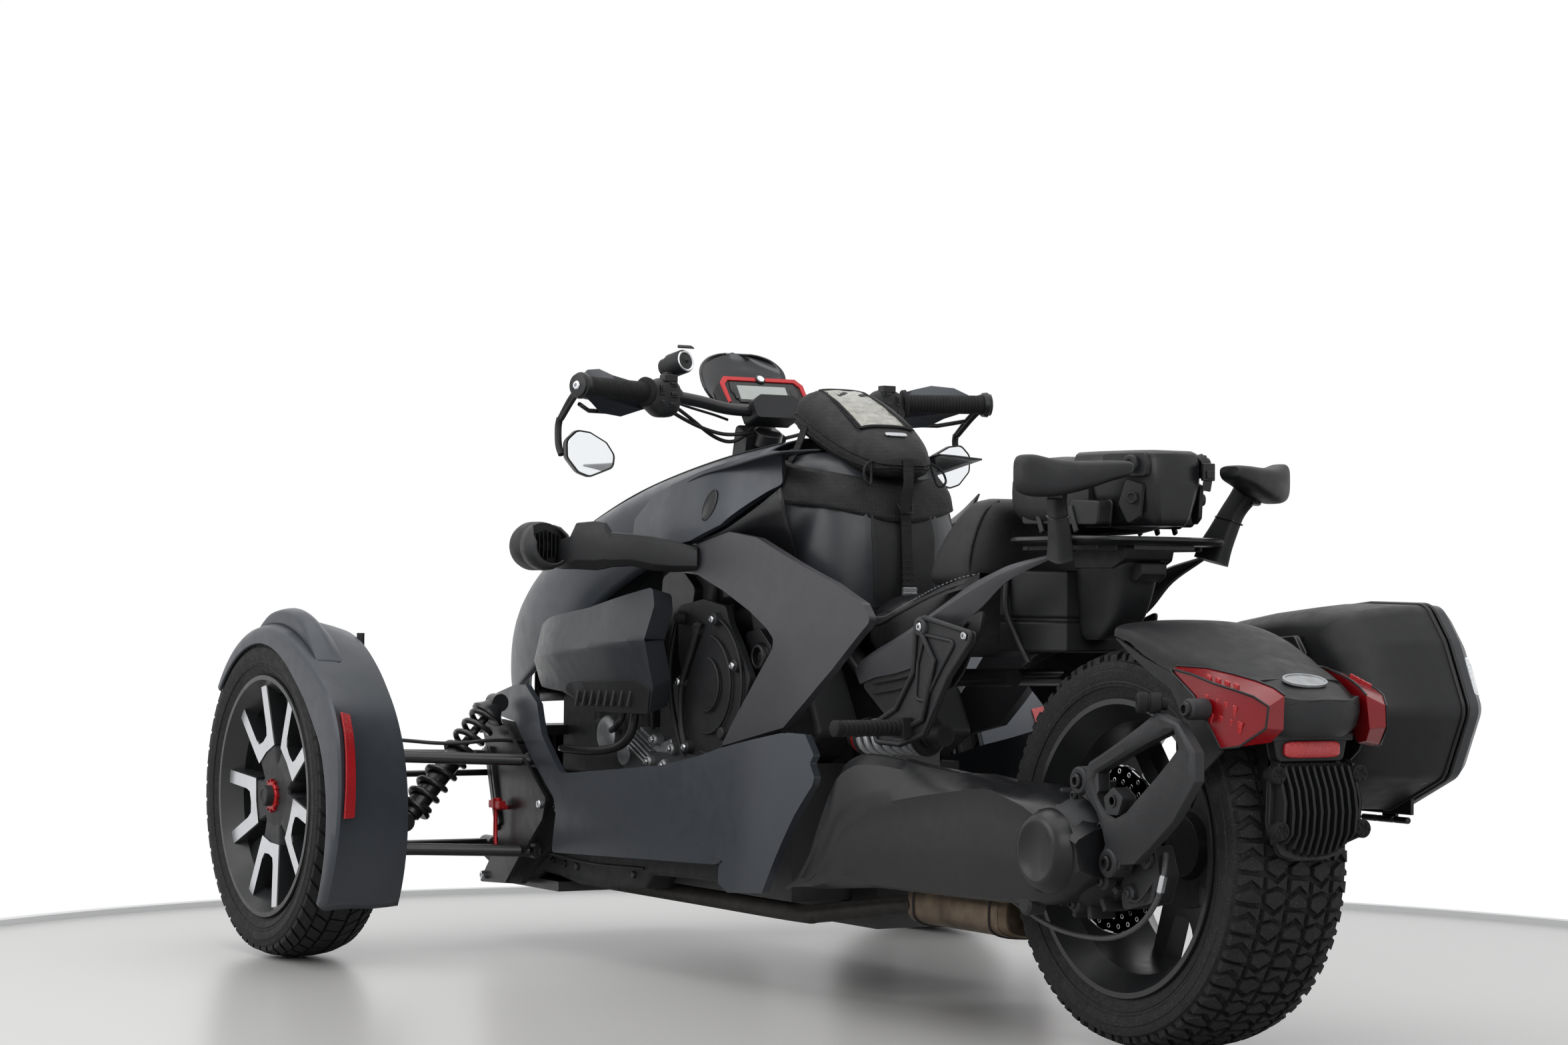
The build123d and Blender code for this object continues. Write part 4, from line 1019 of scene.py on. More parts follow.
def side_panels(hand):
    """The painted side of the body: cowl side, arch, sill in two parts and pod, with the pod's scoop and
    louvres, and the suspension plate with its bolts and ribs.
    """
    panel("cowl_side_panel", COWL, cowl_x, 14, *BODYWORK, grid=24,
          corner=10, side=hand, bevel=3.5, segments=3, nodes=("cowl_sides",), angle=50)
    panel("arch_panel", ARCH, arch_x, 16, "root", "body_blue_grey", PANEL_PAINT, grid=24,
          corner=12, side=hand, bevel=4, segments=3, nodes=("arch_panels",), angle=50)
    panel("sill_panel", SILL, sill_x, 12, *BODYWORK, grid=20,
          corner=8, side=hand, bevel=3.5, segments=3, nodes=("sills",), angle=50)
    panel("sill_tail", SILL_TAIL, lambda y, z: sill_x(y, z) + 1.5, 16, *BODYWORK, grid=20, corner=6,
          side=hand, bevel=4, segments=3, angle=50)
    panel("side_pod_shell", POD, pod_x, 42, "root", "console_grey", CONSOLE, grid=14,
          corner=14, side=hand, bevel=7, segments=4, nodes=("side_pods",), angle=50,
          creases=(((-712, 537), (-246, 584)),))
    panel("pod_scoop", POD_SCOOP, lambda y, z: pod_x(y, z) + 3, 10, *TRIM, grid=16, corner=6, side=hand,
          bevel=3, angle=50)
    bm = bmesh.new()
    for slat in range(8):
        y = -512 + slat * 26
        box(bm, (pod_x(y, 474) + 5, y, 474 + slat * 0.6), (7, 6, 30), tilted(-24))
    piece("pod_louvres", bm, *TRIM, side=hand, bevel=1.4)
    panel("suspension_plate", PLATE, lambda y, z: 252, 12, *TRIM,
          grid=60, corner=8, side=hand, bevel=2.5, nodes=("suspension_plates",))
    bm = bmesh.new()
    for y, z in ((-889, 406), (-656, 271), (-862, 145)):
        turn_profile(bm, (251, y, z), ACROSS, [(0, 11), (2, 11), (3, 9), (3, 0)], 20)
        bolt(bm, (253, y, z), ACROSS, 7.5, 5)
    piece("plate_bolts", bm, *BRIGHT, side=hand, angle=30)
    bm = bmesh.new()
    ridge = [(254, -902, 396), (255, -880, 330), (255, -846, 246), (254, -812, 238), (254, -836, 188),
             (253, -912, 118)]
    wire(bm, ridge, 3.4, 8)
    for k in range(4):
        z = 372 - k * 34
        y = -893 + k * 13
        box(bm, (253.5, y + 10, z), (5, 8, 22), tilted(20))
    piece("plate_ribs", bm, *TRIM_SMOOTH, side=hand, bevel=1)


for hand in (1, -1):
    side_panels(hand)


def badge_plates():
    """Bare oval places on the cowl sides."""
    for hand in (1, -1):
        bm = bmesh.new()
        ring = [(17 * cos(tau * k / 36), 27 * sin(tau * k / 36)) for k in range(36)]
        rows = [[(cowl_x(-155 + v * grow, 812 + w * grow) + out, -155 + v * grow + w * grow * 0.28,
                  812 + w * grow) for v, w in ring]
                for grow, out in ((1.0, 0), (1.0, 1.6), (0.9, 2.2), (0.86, 1.4))]
        grid = grid_faces(bm, rows, close_columns=True)
        bm.faces.new(grid[-1])
        bmesh.ops.recalc_face_normals(bm, faces=bm.faces)
        piece("cowl_oval", bm, *TRIM_SMOOTH, side=hand)


badge_plates()


# ---- headlamp pods ------------------------------------------------------------------------

LAMP_X, LAMP_Z = 380, 743


def headlamp(hand):
    """A cup that faces forwards, open at its back over a finned heat sink, on a tapered arm."""
    bm = bmesh.new()
    turn_profile(bm, (LAMP_X, -463, LAMP_Z), (0, -1, 0),
                 [(0, 41), (18, 43), (46, 43), (57, 40), (58, 36), (52, 35)], 48)
    piece("lamp_cup", bm, *TRIM, side=hand, bevel=1.2,
          nodes=("headlamp_pods",), angle=40)
    shell = []
    for y, r, top in ((-470, 43.6, 150), (-452, 43.2, 140), (-436, 40, 120), (-424, 34, 100)):
        angles = [radians(270 - top + 2 * top * k / 16) for k in range(17)]
        shell.append([(LAMP_X + r * cos(a), y, LAMP_Z + r * sin(a)) for a in angles])
    sheet("lamp_cowl", shell, *TRIM, side=hand, thick=3, angle=60)
    bm = bmesh.new()
    turn_profile(bm, (LAMP_X, -520, LAMP_Z), (0, -1, 0),
                 [(-6, 38), (0, 38), (4, 34), (7, 24), (8, 10), (8.4, 0)], 48)
    piece("lamp_glass", bm, "root", "lens_clear", LAMP_GLASS, side=hand,
          nodes=("headlamp_lenses",), angle=50)
    bm = bmesh.new()
    for fin in range(7):
        box(bm, (LAMP_X - 24 + fin * 8, -460, LAMP_Z + 2), (2, 26, 52 - abs(fin - 3) * 6))
    turn_profile(bm, (LAMP_X, -470, LAMP_Z), REARWARDS, [(0, 34), (4, 34), (4, 12), (14, 10), (14, 0)], 24)
    piece("lamp_fins", bm, *TRIM_SMOOTH, side=hand, bevel=0.5)
    sections = []
    for x, y, half, top, low in ((350, -474, 14, 752, 704), (350, -446, 22, 756, 702),
                                 (346, -428, 26, 760, 702), (340, -414, 30, 784, 702),
                                 (322, -372, 33, 787, 700), (314, -354, 34, 785, 703),
                                 (308, -342, 34, 767, 706), (286, -310, 32, 764, 708),
                                 (262, -280, 30, 760, 700), (238, -250, 33, 752, 698),
                                 (206, -216, 36, 742, 700)):
        span = top - low
        sections.append([(x + v * half * 0.50, y + v * half * 0.78, low + span * w)
                         for v, w in ((-1, 0.32), (-0.94, 0.62), (-0.66, 0.88), (-0.2, 1.0), (0.62, 0.98),
                                      (0.9, 0.82), (1, 0.5), (0.9, 0.2), (0.4, 0.02), (-0.2, 0.0),
                                      (-0.75, 0.1))])
    loft("lamp_arm", sections, *TRIM, side=hand, bevel=1.6, angle=28)


for hand in (1, -1):
    headlamp(hand)


# ---- console and tank bag -----------------------------------------------------------------


def ribbon(bm, points, width, thick=1.6, across=ACROSS):
    """Adds a flat strap along points; across is the direction of its width."""
    points = [Vector(p) for p in points]
    rings = []
    for i, point in enumerate(points):
        ahead = heading(points, i)
        wide = Vector(across) - ahead * ahead.dot(Vector(across))
        wide = wide.normalized() * (width / 2)
        out = ahead.cross(wide).normalized() * (thick / 2)
        rings.append([bm.verts.new(at(*(point + wide * u + out * v)))
                      for u, v in ((-1, -1), (1, -1), (1, 1), (-1, 1))])
    sleeve(bm, rings)


def superellipse(centre, wide, tall, w, up, down, power=2.6, count=32):
    """A closed loop round centre, w to each side, up above and down below."""
    loop = []
    for k in range(count):
        a = tau * k / count
        c, s = cos(a), sin(a)
        x = w * (1 if c >= 0 else -1) * abs(c) ** (2 / power)
        h = (up if s >= 0 else down) * (1 if s >= 0 else -1) * abs(s) ** (2 / power)
        loop.append(tuple(Vector(centre) + Vector(wide) * x + Vector(tall) * h))
    return loop


def upright_loop(centre, wide, tall, power, count):
    """A closed loop across the machine, wide to each side and tall above and below."""
    return superellipse(centre, ACROSS, UPWARDS, wide, tall, tall, power, count)


def level_loop(centre, wide, deep, power, count):
    """A closed loop in a level plane, wide to each side and deep to front and rear."""
    return superellipse(centre, ACROSS, REARWARDS, wide, deep, deep, power, count)


def console():
    """The tall cover between the knees: rounded shoulders, a flat centre band and side recesses."""
    sections = []
    for z, front, rear, half, band in ((612, 20, 104, 118, 60), (640, 10, 114, 132, 62),
                                       (700, -30, 119, 143, 66), (760, -62, 116, 146, 68),
                                       (810, -80, 104, 143, 66), (850, -90, 86, 134, 60),
                                       (880, -92, 64, 118, 52), (896, -88, 40, 96, 44),
                                       (902, -78, 20, 78, 36)):
        deep = rear - front
        left = [(0, rear), (band * 0.6, rear - 1), (band, rear - 3), (band * 1.12, rear - 6),
                (half * 0.72, rear - deep * 0.10), (half * 0.88, rear - deep * 0.24),
                (half * 0.965, rear - deep * 0.42), (half, rear - deep * 0.62), (half, front + deep * 0.14),
                (half * 0.8, front), (half * 0.3, front)]
        sections.append([(x, y, z) for x, y in both_sides(left)])
    loft("console_shell", sections, "root", "console_grey", CONSOLE, along=34, nodes=("console_cover",),
         angle=60)
    rows = []
    for z in range(640, 900, 10):
        rear = smooth_table(z, ((612, 104), (640, 114), (700, 119), (760, 116), (810, 104), (850, 86),
                                (880, 64), (896, 40)))
        band = table(z, ((640, 56), (760, 62), (850, 54), (896, 36)))
        rows.append([(band * t / 4, rear + 1.2 - abs(t) * 0.35, z) for t in range(-4, 5)])
    sheet("console_band", rows, *TRIM, thick=2.4, bevel=0.8, angle=60)
    for hand in (1, -1):
        recess = [[(146, -150, 800), (150, -110, 806), (150, -60, 806), (148, -20, 790)],
                  [(128, -150, 776), (118, -110, 770), (118, -60, 764), (138, -18, 764)],
                  [(134, -150, 752), (126, -110, 744), (126, -60, 738), (142, -18, 742)],
                  [(150, -150, 732), (156, -110, 724), (156, -60, 720), (150, -10, 726)]]
        skin("console_recess", recess, *TRIM_SMOOTH, across=13, along=17,
             side=hand, thick=3, angle=60)
        inner = [[(212, -300, 842), (214, -200, 866), (212, -100, 878), (206, 0, 892), (200, 50, 898)],
                 [(180, -290, 842), (176, -200, 868), (168, -100, 886), (158, 0, 900), (150, 46, 902)],
                 [(150, -280, 830), (146, -200, 860), (140, -100, 884), (128, 0, 902), (118, 40, 904)]]
        skin("cowl_inner", inner, "root", "console_grey", CONSOLE, across=9, along=21,
             side=hand, thick=3, angle=60)
        lower = [[(205, -240, 748), (206, -130, 770), (203, -30, 804), (196, 46, 838)],
                 [(160, -236, 700), (150, -130, 716), (148, -40, 716), (150, 30, 700)],
                 [(150, -230, 640), (150, -130, 650), (150, -40, 640), (150, 40, 640)]]
        skin("console_side", lower, *TRIM_SMOOTH, across=9, along=21,
             side=hand, thick=3, angle=60)
    base = []
    for y, half, top in ((112, 58, 622), (124, 66, 652), (150, 64, 664), (184, 58, 662), (214, 44, 650)):
        base.append(superellipse((0, y, 612), ACROSS, UPWARDS, half, top - 612, 20, 2.4, 24))
    loft("console_foot", base, *TRIM_SMOOTH, along=14, angle=60)


console()

BAG = ((-128, 46, 984, 952), (-114, 74, 1006, 936), (-86, 86, 1013, 924), (-30, 90, 990, 902),
       (20, 86, 964, 880), (56, 78, 944, 866), (88, 66, 925, 858), (112, 50, 905, 858), (124, 32, 890, 866))


def bag_ring(y, half, top, low):
    """Section of the bag: widest below its middle height."""
    middle = low + (top - low) * 0.42
    return superellipse((0, y, middle), ACROSS, UPWARDS, half, top - middle, middle - low, 2.9, 40)


def tank_bag():
    """A shaped soft bag: crowned shell, piped seams, clear window, straps, buckles and apron."""
    shell = loft("bag_shell", [bag_ring(*row) for row in BAG], "root", "bag_fabric", CLOTH, along=40,
                 nodes=("tank_bag",), angle=70)
    bm = bmesh.new()
    for share, r in ((0.50, 2.6), (0.30, 2.2)):
        loop = []
        for hand in (1, -1):
            side_run = [Vector((hand * (half * 0.99 + 0.6), y, low + (top - low) * share))
                        for y, half, top, low in BAG]
            loop += curve_through(side_run if hand > 0 else side_run[::-1], 40)
        wire(bm, loop + [loop[0]], r, 6)
    piece("bag_piping", bm, *STRAPS, angle=70)

    def crown_z(x, y):
        """Height of the bag's top at x, y."""
        half, top, low = (table(y, [(row[0], row[k]) for row in BAG]) for k in (1, 2, 3))
        middle = low + (top - low) * 0.42
        return middle + (top - middle) * max(0, 1 - (abs(x) / half) ** 2.9) ** (1 / 2.9)

    def window_half(y):
        """Half the width of the window, which widens rearwards."""
        return table(y, ((-92, 41), (56, 49)))

    def window_row(y):
        """Places across the window at y."""
        return [(window_half(y) * (1 - 2 * j / 11), y) for j in range(12)]

    rows = []
    for i in range(19):
        y = -92 + 148 * i / 18
        rows.append([(x, py, crown_z(x, py) + 1.6 + 1.4 * sin(i * 1.7 + j * 2.1) * sin(j * 0.9 + i * 0.33))
                     for j, (x, py) in enumerate(window_row(y))])
    sheet("bag_window", rows, "root", "bag_fabric", WINDOW, thick=1.2, subdivide=1)
    bm = bmesh.new()
    loop = [(x, y, crown_z(x, y) + 1.6) for x, y in window_row(-92)]
    loop += [(-window_half(y), y, crown_z(49, y) + 1.6) for y in range(-80, 56, 12)]
    loop += [(x, y, crown_z(x, y) + 1.6) for x, y in reversed(window_row(56))]
    loop += [(window_half(y), y, crown_z(49, y) + 1.6) for y in range(44, -92, -12)]
    wire(bm, loop + [loop[0]], 3.2, 8)
    wire(bm, [(x * 1.12, y * 1.05, z - 1) for x, y, z in loop + [loop[0]]], 1.4, 6)
    piece("bag_window_frame", bm, *STRAPS, angle=70)
    bm = bmesh.new()
    plate = superellipse((-4, 82, crown_z(0, 82) + 1), ACROSS, (0, 0.86, -0.5), 21, 5.5, 5.5, 4, 28)
    rows = [plate, [tuple(Vector(p) + Vector((0, 1.2, 2.6))) for p in plate]]
    closed_form(bm, rows)
    bmesh.ops.recalc_face_normals(bm, faces=bm.faces)
    piece("bag_plate", bm, *BRIGHT, bevel=0.8)
    apron_rows = [[(-146, -70, 868), (-150, -10, 850), (-120, 70, 836), (-60, 100, 826), (0, 108, 820),
                   (60, 100, 826), (120, 70, 836), (150, -10, 850), (146, -70, 868)],
                  [(-152, -66, 832), (-154, -6, 812), (-126, 74, 806), (-62, 108, 790), (0, 116, 782),
                   (62, 108, 790), (126, 74, 806), (154, -6, 812), (152, -66, 832)]]
    top = [(x * 0.86, y - 14, z + 30) for x, y, z in apron_rows[0]]
    skin("bag_apron", [top] + apron_rows, "root", "bag_fabric", CLOTH, across=9, along=49, thick=2.6,
         angle=70)
    bm = bmesh.new()
    ribbon(bm, curve_through([(0, 126, 888), (0, 130, 862), (0, 128, 840), (0, 122, 806), (0, 124, 770),
                              (0, 128, 720), (0, 130, 676)], 40), 20, 2.2)
    ribbon(bm, curve_through([(4, 132, 872), (6, 138, 845), (8, 136, 826), (10, 134, 800)], 16), 18, 2)
    for hand in (1, -1):
        ribbon(bm, curve_through([(hand * 82, -60, 976), (hand * 90, -62, 940), (hand * 112, -66, 890),
                                  (hand * 150, -84, 842), (hand * 164, -120, 806), (hand * 172, -150, 784)],
                                 28), 24, 2.4, across=(0, 1, 0.2))
        ribbon(bm, curve_through([(hand * 118, -66, 878), (hand * 154, -70, 850), (hand * 160, -96, 816)],
                                 12), 18, 2, across=(0, 1, 0.2))
        wire(bm, curve_through([(hand * 58, 104, 884), (hand * 76, 112, 872), (hand * 80, 120, 852),
                                (hand * 66, 116, 846), (hand * 58, 104, 884)], 18), 2.2, 6)
    piece("bag_straps", bm, *STRAPS, bevel=0.4, angle=70)
    bm = bmesh.new()
    box(bm, (0, 134, 660), (26, 6, 30), tilted(-8))
    for k in range(5):
        box(bm, (0, 137.4, 650 + k * 5), (27, 2, 2))
    piece("bag_buckle_foot", bm, "root", "castings", CAST, bevel=0.8)
    bm = bmesh.new()
    for hand in (1, -1):
        for y, z, x in ((-66, 900, 108), (-92, 834, 156)):
            ring = [(hand * (x + 2), y - 9, z - 7), (hand * (x + 2), y + 9, z - 7),
                    (hand * x, y + 9, z + 7), (hand * x, y - 9, z + 7), (hand * (x + 2), y - 9, z - 7)]
            wire(bm, ring, 1.6, 6)
    wire(bm, [(-13, 120, 812), (13, 120, 812), (11, 126, 798), (-11, 126, 798), (-13, 120, 812)], 1.6, 6)
    piece("bag_rings", bm, "root", "castings", CAST_BLACK, angle=60)
    bm = bmesh.new()
    for hand in (1, -1):
        box(bm, (hand * 152, -78, 852), (7, 26, 30), tilted(12))
        box(bm, (hand * 155, -78, 852), (4, 16, 36), tilted(12))
        for k in range(6):
            box(bm, (hand * (157 + k), -98 - k * 7, 826 - k * 6), (8, 5, 9), tilted(30))
    piece("bag_buckles", bm, *TRIM_SMOOTH, bevel=1.2)


tank_bag()


# ---- handlebar and its controls -----------------------------------------------------------

BAR_BEND, BAR_GRIP, BAR_END = Vector((110, -318, 990)), Vector((264, -305, 1011)), Vector((411, -260, 1013))


BAR_CABLES = ([(196, -322, 988), (150, -352, 972), (96, -366, 940), (60, -360, 930), (40, -340, 948),
               (24, -352, 956)],
              [(210, -326, 984), (160, -350, 966), (104, -352, 948), (72, -346, 944), (46, -336, 948),
               (30, -344, 950)],
              [(-200, -324, 990), (-150, -356, 974), (-90, -372, 952), (-40, -372, 940), (-24, -364, 930)],
              [(190, -330, 996), (160, -340, 990), (128, -346, 984), (96, -352, 978), (70, -360, 972)])


def outline_block(bm, outline, origin, first, second, depth):
    """A prism: outline in the plane of first and second at origin, as deep as the vector depth."""
    rings = []
    for shift in (Vector((0, 0, 0)), Vector(depth)):
        rings.append([tuple(Vector(origin) + Vector(first) * u + Vector(second) * v + shift)
                      for u, v in outline])
    closed_form(bm, rings)


def side_block(bm, outline, x, depth):
    """A prism across the machine: a side-view outline at x, as deep as depth."""
    outline_block(bm, outline, (x, 0, 0), REARWARDS, UPWARDS, (depth, 0, 0))


def handlebar():
    """Bent bar, its riser block with clamps, and the column down to the hood."""
    bm = bmesh.new()
    for hand in (1, -1):
        points = curve_through([(0, -322, 988), (hand * 70, -320, 988), (hand * 108, -318, 991),
                                (hand * 160, -314, 1000), (hand * 264, -305, 1011),
                                (hand * 404, -262, 1013)], 40)
        wire(bm, points, 11, 16)
    piece("bar_tube", bm, "steering", "frame_black", FRAME_BLACK, nodes=("handlebar",), angle=60)
    bm = bmesh.new()
    outline_block(bm, rounded([(-46, -24), (46, -24), (52, 6), (34, 20), (-34, 20), (-52, 6)], 8),
                  (0, -346, 984), ACROSS, (0, -0.3, 0.95), (0, 46, 14))
    for hand in (1, -1):
        turn_profile(bm, (hand * 20, -322, 988), (hand, 0, 0), [(0, 17), (3, 19), (22, 19), (25, 17)], 24)
        for y in (-338, -308):
            bolt(bm, (hand * 32, y, 1004), (0, 0.2, 1), 5.5, 5)
    outline_block(bm, rounded([(-30, -96), (30, -96), (42, 0), (-42, 0)], 8),
                  (0, -378, 964), ACROSS, (0, 0.42, 0.9), (0, 40, -18))
    piece("bar_clamp", bm, "steering", "castings_black", CAST_BLACK, bevel=2)
    bm = bmesh.new()
    turn_profile(bm, (0, -330 - 126 * 0.445, 834), (0, 0.445, 1),
                 [(0, 20), (100, 20), (104, 26), (128, 26), (132, 20)], 32)
    piece("steering_column", bm, "steering", "frame_black", FRAME_BLACK, bevel=1)
    for k, route in enumerate(BAR_CABLES):
        tube(f"bar_cable_{k}", route, 3.4 if k < 3 else 2.4, "steering", "frame_black", CORD)


def controls(hand):
    """Grip with its flange, bar-end, hand guard, switch housing with its buttons, and the mirror."""
    run = (BAR_END - BAR_GRIP).normalized()
    bm = bmesh.new()
    length = (BAR_END - BAR_GRIP).length
    profile = [(-2, 25), (4, 26), (8, 20)]
    d = 8
    while d < length - 14:
        profile += [(d, 17.2), (d + 3.2, 17.2), (d + 3.8, 16.4), (d + 5.0, 16.4), (d + 5.6, 17.2)]
        d += 6
    profile += [(length - 12, 17.2), (length - 8, 18.6), (length - 2, 18.6)]
    turn_profile(bm, BAR_GRIP, run, profile, 32)
    piece("grip_sleeve", bm, "steering", "grip_rubber", GRIP, side=hand, nodes=("grips",)
          if hand > 0 else (), angle=50)
    bm = bmesh.new()
    turn_profile(bm, BAR_END - run * 4, run, [(0, 19), (1, 22), (10, 23), (12, 20), (16, 20), (17, 13),
                                              (17, 6), (15, 5.5), (15, 0)], 32)
    piece("bar_end_collar", bm, *BAR_SMOOTH, side=hand, bevel=0.6,
          nodes=("switchgear",))
    bm = bmesh.new()
    bolt(bm, BAR_END + run * 12, run, 8, 4.5)
    piece("bar_end_bolt", bm, "steering", "castings", STEEL, side=hand, angle=30)
    outer = [(404 - u, -286 - 62 * sin(pi * min(1, u / 110) / 2) + 26 * max(0, (u - 110) / 90), 1004 + v)
             for u, v in ((0, 24), (26, 40), (60, 44), (92, 36), (150, 22), (196, 4), (200, -8), (150, -22),
                          (112, -34), (66, -30), (40, -14), (8, -2))]
    bm = bmesh.new()
    bm.faces.new([bm.verts.new(at(*p)) for p in outer])
    bmesh.ops.triangulate(bm, faces=bm.faces)
    piece("hand_guard", bm, "steering", "body_blue_grey", PAINT, side=hand, thick=5, bevel=1.5,
          offset=0, angle=50)
    bm = bmesh.new()
    wire(bm, curve_through([(402, -262, 1013), (402, -292, 1008), (380, -330, 1002), (300, -352, 998),
                            (226, -340, 1000)], 24), 5.5, 10)
    wire(bm, [(396, -300, 984), (360, -336, 976), (300, -350, 976), (236, -336, 996)], 4, 8)
    for x in (352, 300):
        wire(bm, [(x, -346, 1000), (x - 22, -346, 978)], 3, 6)
    piece("guard_brace", bm, "steering", "frame_black", FRAME_BLACK, side=hand, angle=50)
    line = (BAR_GRIP - BAR_BEND).normalized()
    start = BAR_GRIP - line * 64
    sections = []
    for d, r, tall in ((0, 15, 1.0), (4, 21, 1.15), (14, 25, 1.28), (34, 26, 1.34), (48, 24, 1.2),
                       (58, 22, 1.0), (60, 18, 1.0)):
        centre = start + line * d
        sections.append(superellipse(centre - Vector((0, 3, 4)), *basis(line), r, r * tall, r * tall, 3.4,
                                     28))
    loft("switch_housing", sections, *BAR_TRIM, along=22, side=hand, angle=50)
    bm = bmesh.new()
    for d, height, wide, tall in ((20, 22, 18, 9), (20, 4, 20, 11), (22, -14, 18, 9), (42, 8, 10, 18),
                                  (42, -14, 10, 10)):
        spot = start + line * d + Vector((0, 21 - abs(height) * 0.12, height - 2))
        box(bm, spot, (wide, 8, tall))
        box(bm, spot + Vector((0, 5, 1)), (wide * 0.55, 5, tall * 0.5))
    box(bm, start + line * 24 + Vector((0, 12, 30)), (26, 20, 12))
    turn_profile(bm, start + line * 8 + Vector((0, 4, 2)), line, [(-10, 15), (-4, 16), (-2, 14), (2, 14),
                                                                  (4, 16), (8, 16)], 24)
    piece("switch_buttons", bm, *BAR_SMOOTH, side=hand, bevel=1.2)
    mirror_unit(hand)


MIRROR = ((416, 922), (396, 941), (370, 938), (337, 921), (321, 899), (323, 877), (370, 859), (392, 866),
          (415, 892))


def mirror_unit(hand):
    """A slotted stem from the bar end, and a thin-rimmed mirror with a facetted back."""
    bm = bmesh.new()
    for offset_y in (-7, 7):
        wire(bm, curve_through([(413, -262 + offset_y, 1010), (411, -300 + offset_y, 992),
                                (409, -346 + offset_y * 0.6, 960)], 16), 4.6, 8)
    wire(bm, curve_through([(409, -348, 962), (410, -352, 946), (412, -346, 916), (411, -336, 898)], 16),
         6.2, 10)
    turn_profile(bm, (408, -258, 1013), ACROSS, [(0, 15), (1, 17), (10, 17), (12, 14)], 24)
    piece("mirror_stem", bm, *BAR_TRIM, side=hand,
          nodes=("mirrors",), bevel=0.6)
    outline = rounded(MIRROR, 16, 5)
    centre = sum((Vector(p) for p in outline), Vector((0, 0))) / len(outline)
    bm = bmesh.new()
    rows = []
    for grow, y in ((0.94, -309), (1.0, -309.5), (1.0, -318), (0.93, -328), (0.66, -336), (0.3, -339)):
        rows.append([(centre.x + (x - centre.x) * grow, y, centre.y + (z - centre.y) * grow)
                     for x, z in outline])
    grid = grid_faces(bm, rows, close_columns=True)
    bm.faces.new(grid[-1])
    bmesh.ops.recalc_face_normals(bm, faces=bm.faces)
    piece("mirror_shell", bm, *BAR_SMOOTH, side=hand, thick=1.5, angle=50)
    bm = bmesh.new()
    outline_block(bm, [(centre.x + (x - centre.x) * 0.93, centre.y + (z - centre.y) * 0.93)
                       for x, z in outline], (0, -312, 0), ACROSS, UPWARDS, (0, 3, 0))
    piece("mirror_glass", bm, "steering", "lens_clear", GLASS, side=hand, bevel=0.5, angle=30)


def power_socket():
    """A round socket with a silver ring and a flip cap, clamped to the left housing."""
    face, back = Vector((180, -318, 1069.5)), Vector((0.28, -0.93, -0.22)).normalized()
    bm = bmesh.new()
    turn_profile(bm, face, back, [(0, 15), (0, 20), (3, 21), (34, 21), (36, 18), (52, 17), (54, 12)], 40)
    box(bm, face + back * 28 + Vector((10, 0, -26)), (18, 20, 26))
    hinge = face + Vector((0, 2, 22))
    outline_block(bm, [(-16, 0), (16, 0), (13, 9), (-13, 9)], hinge, ACROSS, (0, -0.75, 0.5), (0, 1.2, 1.8))
    piece("socket_body", bm, *BAR_TRIM, bevel=0.8)
    bm = bmesh.new()
    turn_profile(bm, face + back, -back, [(0, 19), (2.4, 19), (3.2, 17.6), (2.2, 15.4), (0, 15.2)], 40)
    piece("socket_ring", bm, "steering", "castings", MACHINED, angle=30)
    bm = bmesh.new()
    turn_profile(bm, face + back * 3, -back, [(0, 15), (3, 15), (3.6, 13), (3, 0)], 32)
    for dx in (-5, 5):
        box(bm, face + Vector((dx, 1.4, 0)), (4, 3, 5))
    piece("socket_port", bm, *BAR_SMOOTH, bevel=0.6)


GAUGE_UP, GAUGE_OUT = Vector((0, -0.64, 0.77)), Vector((0, 0.77, 0.64))


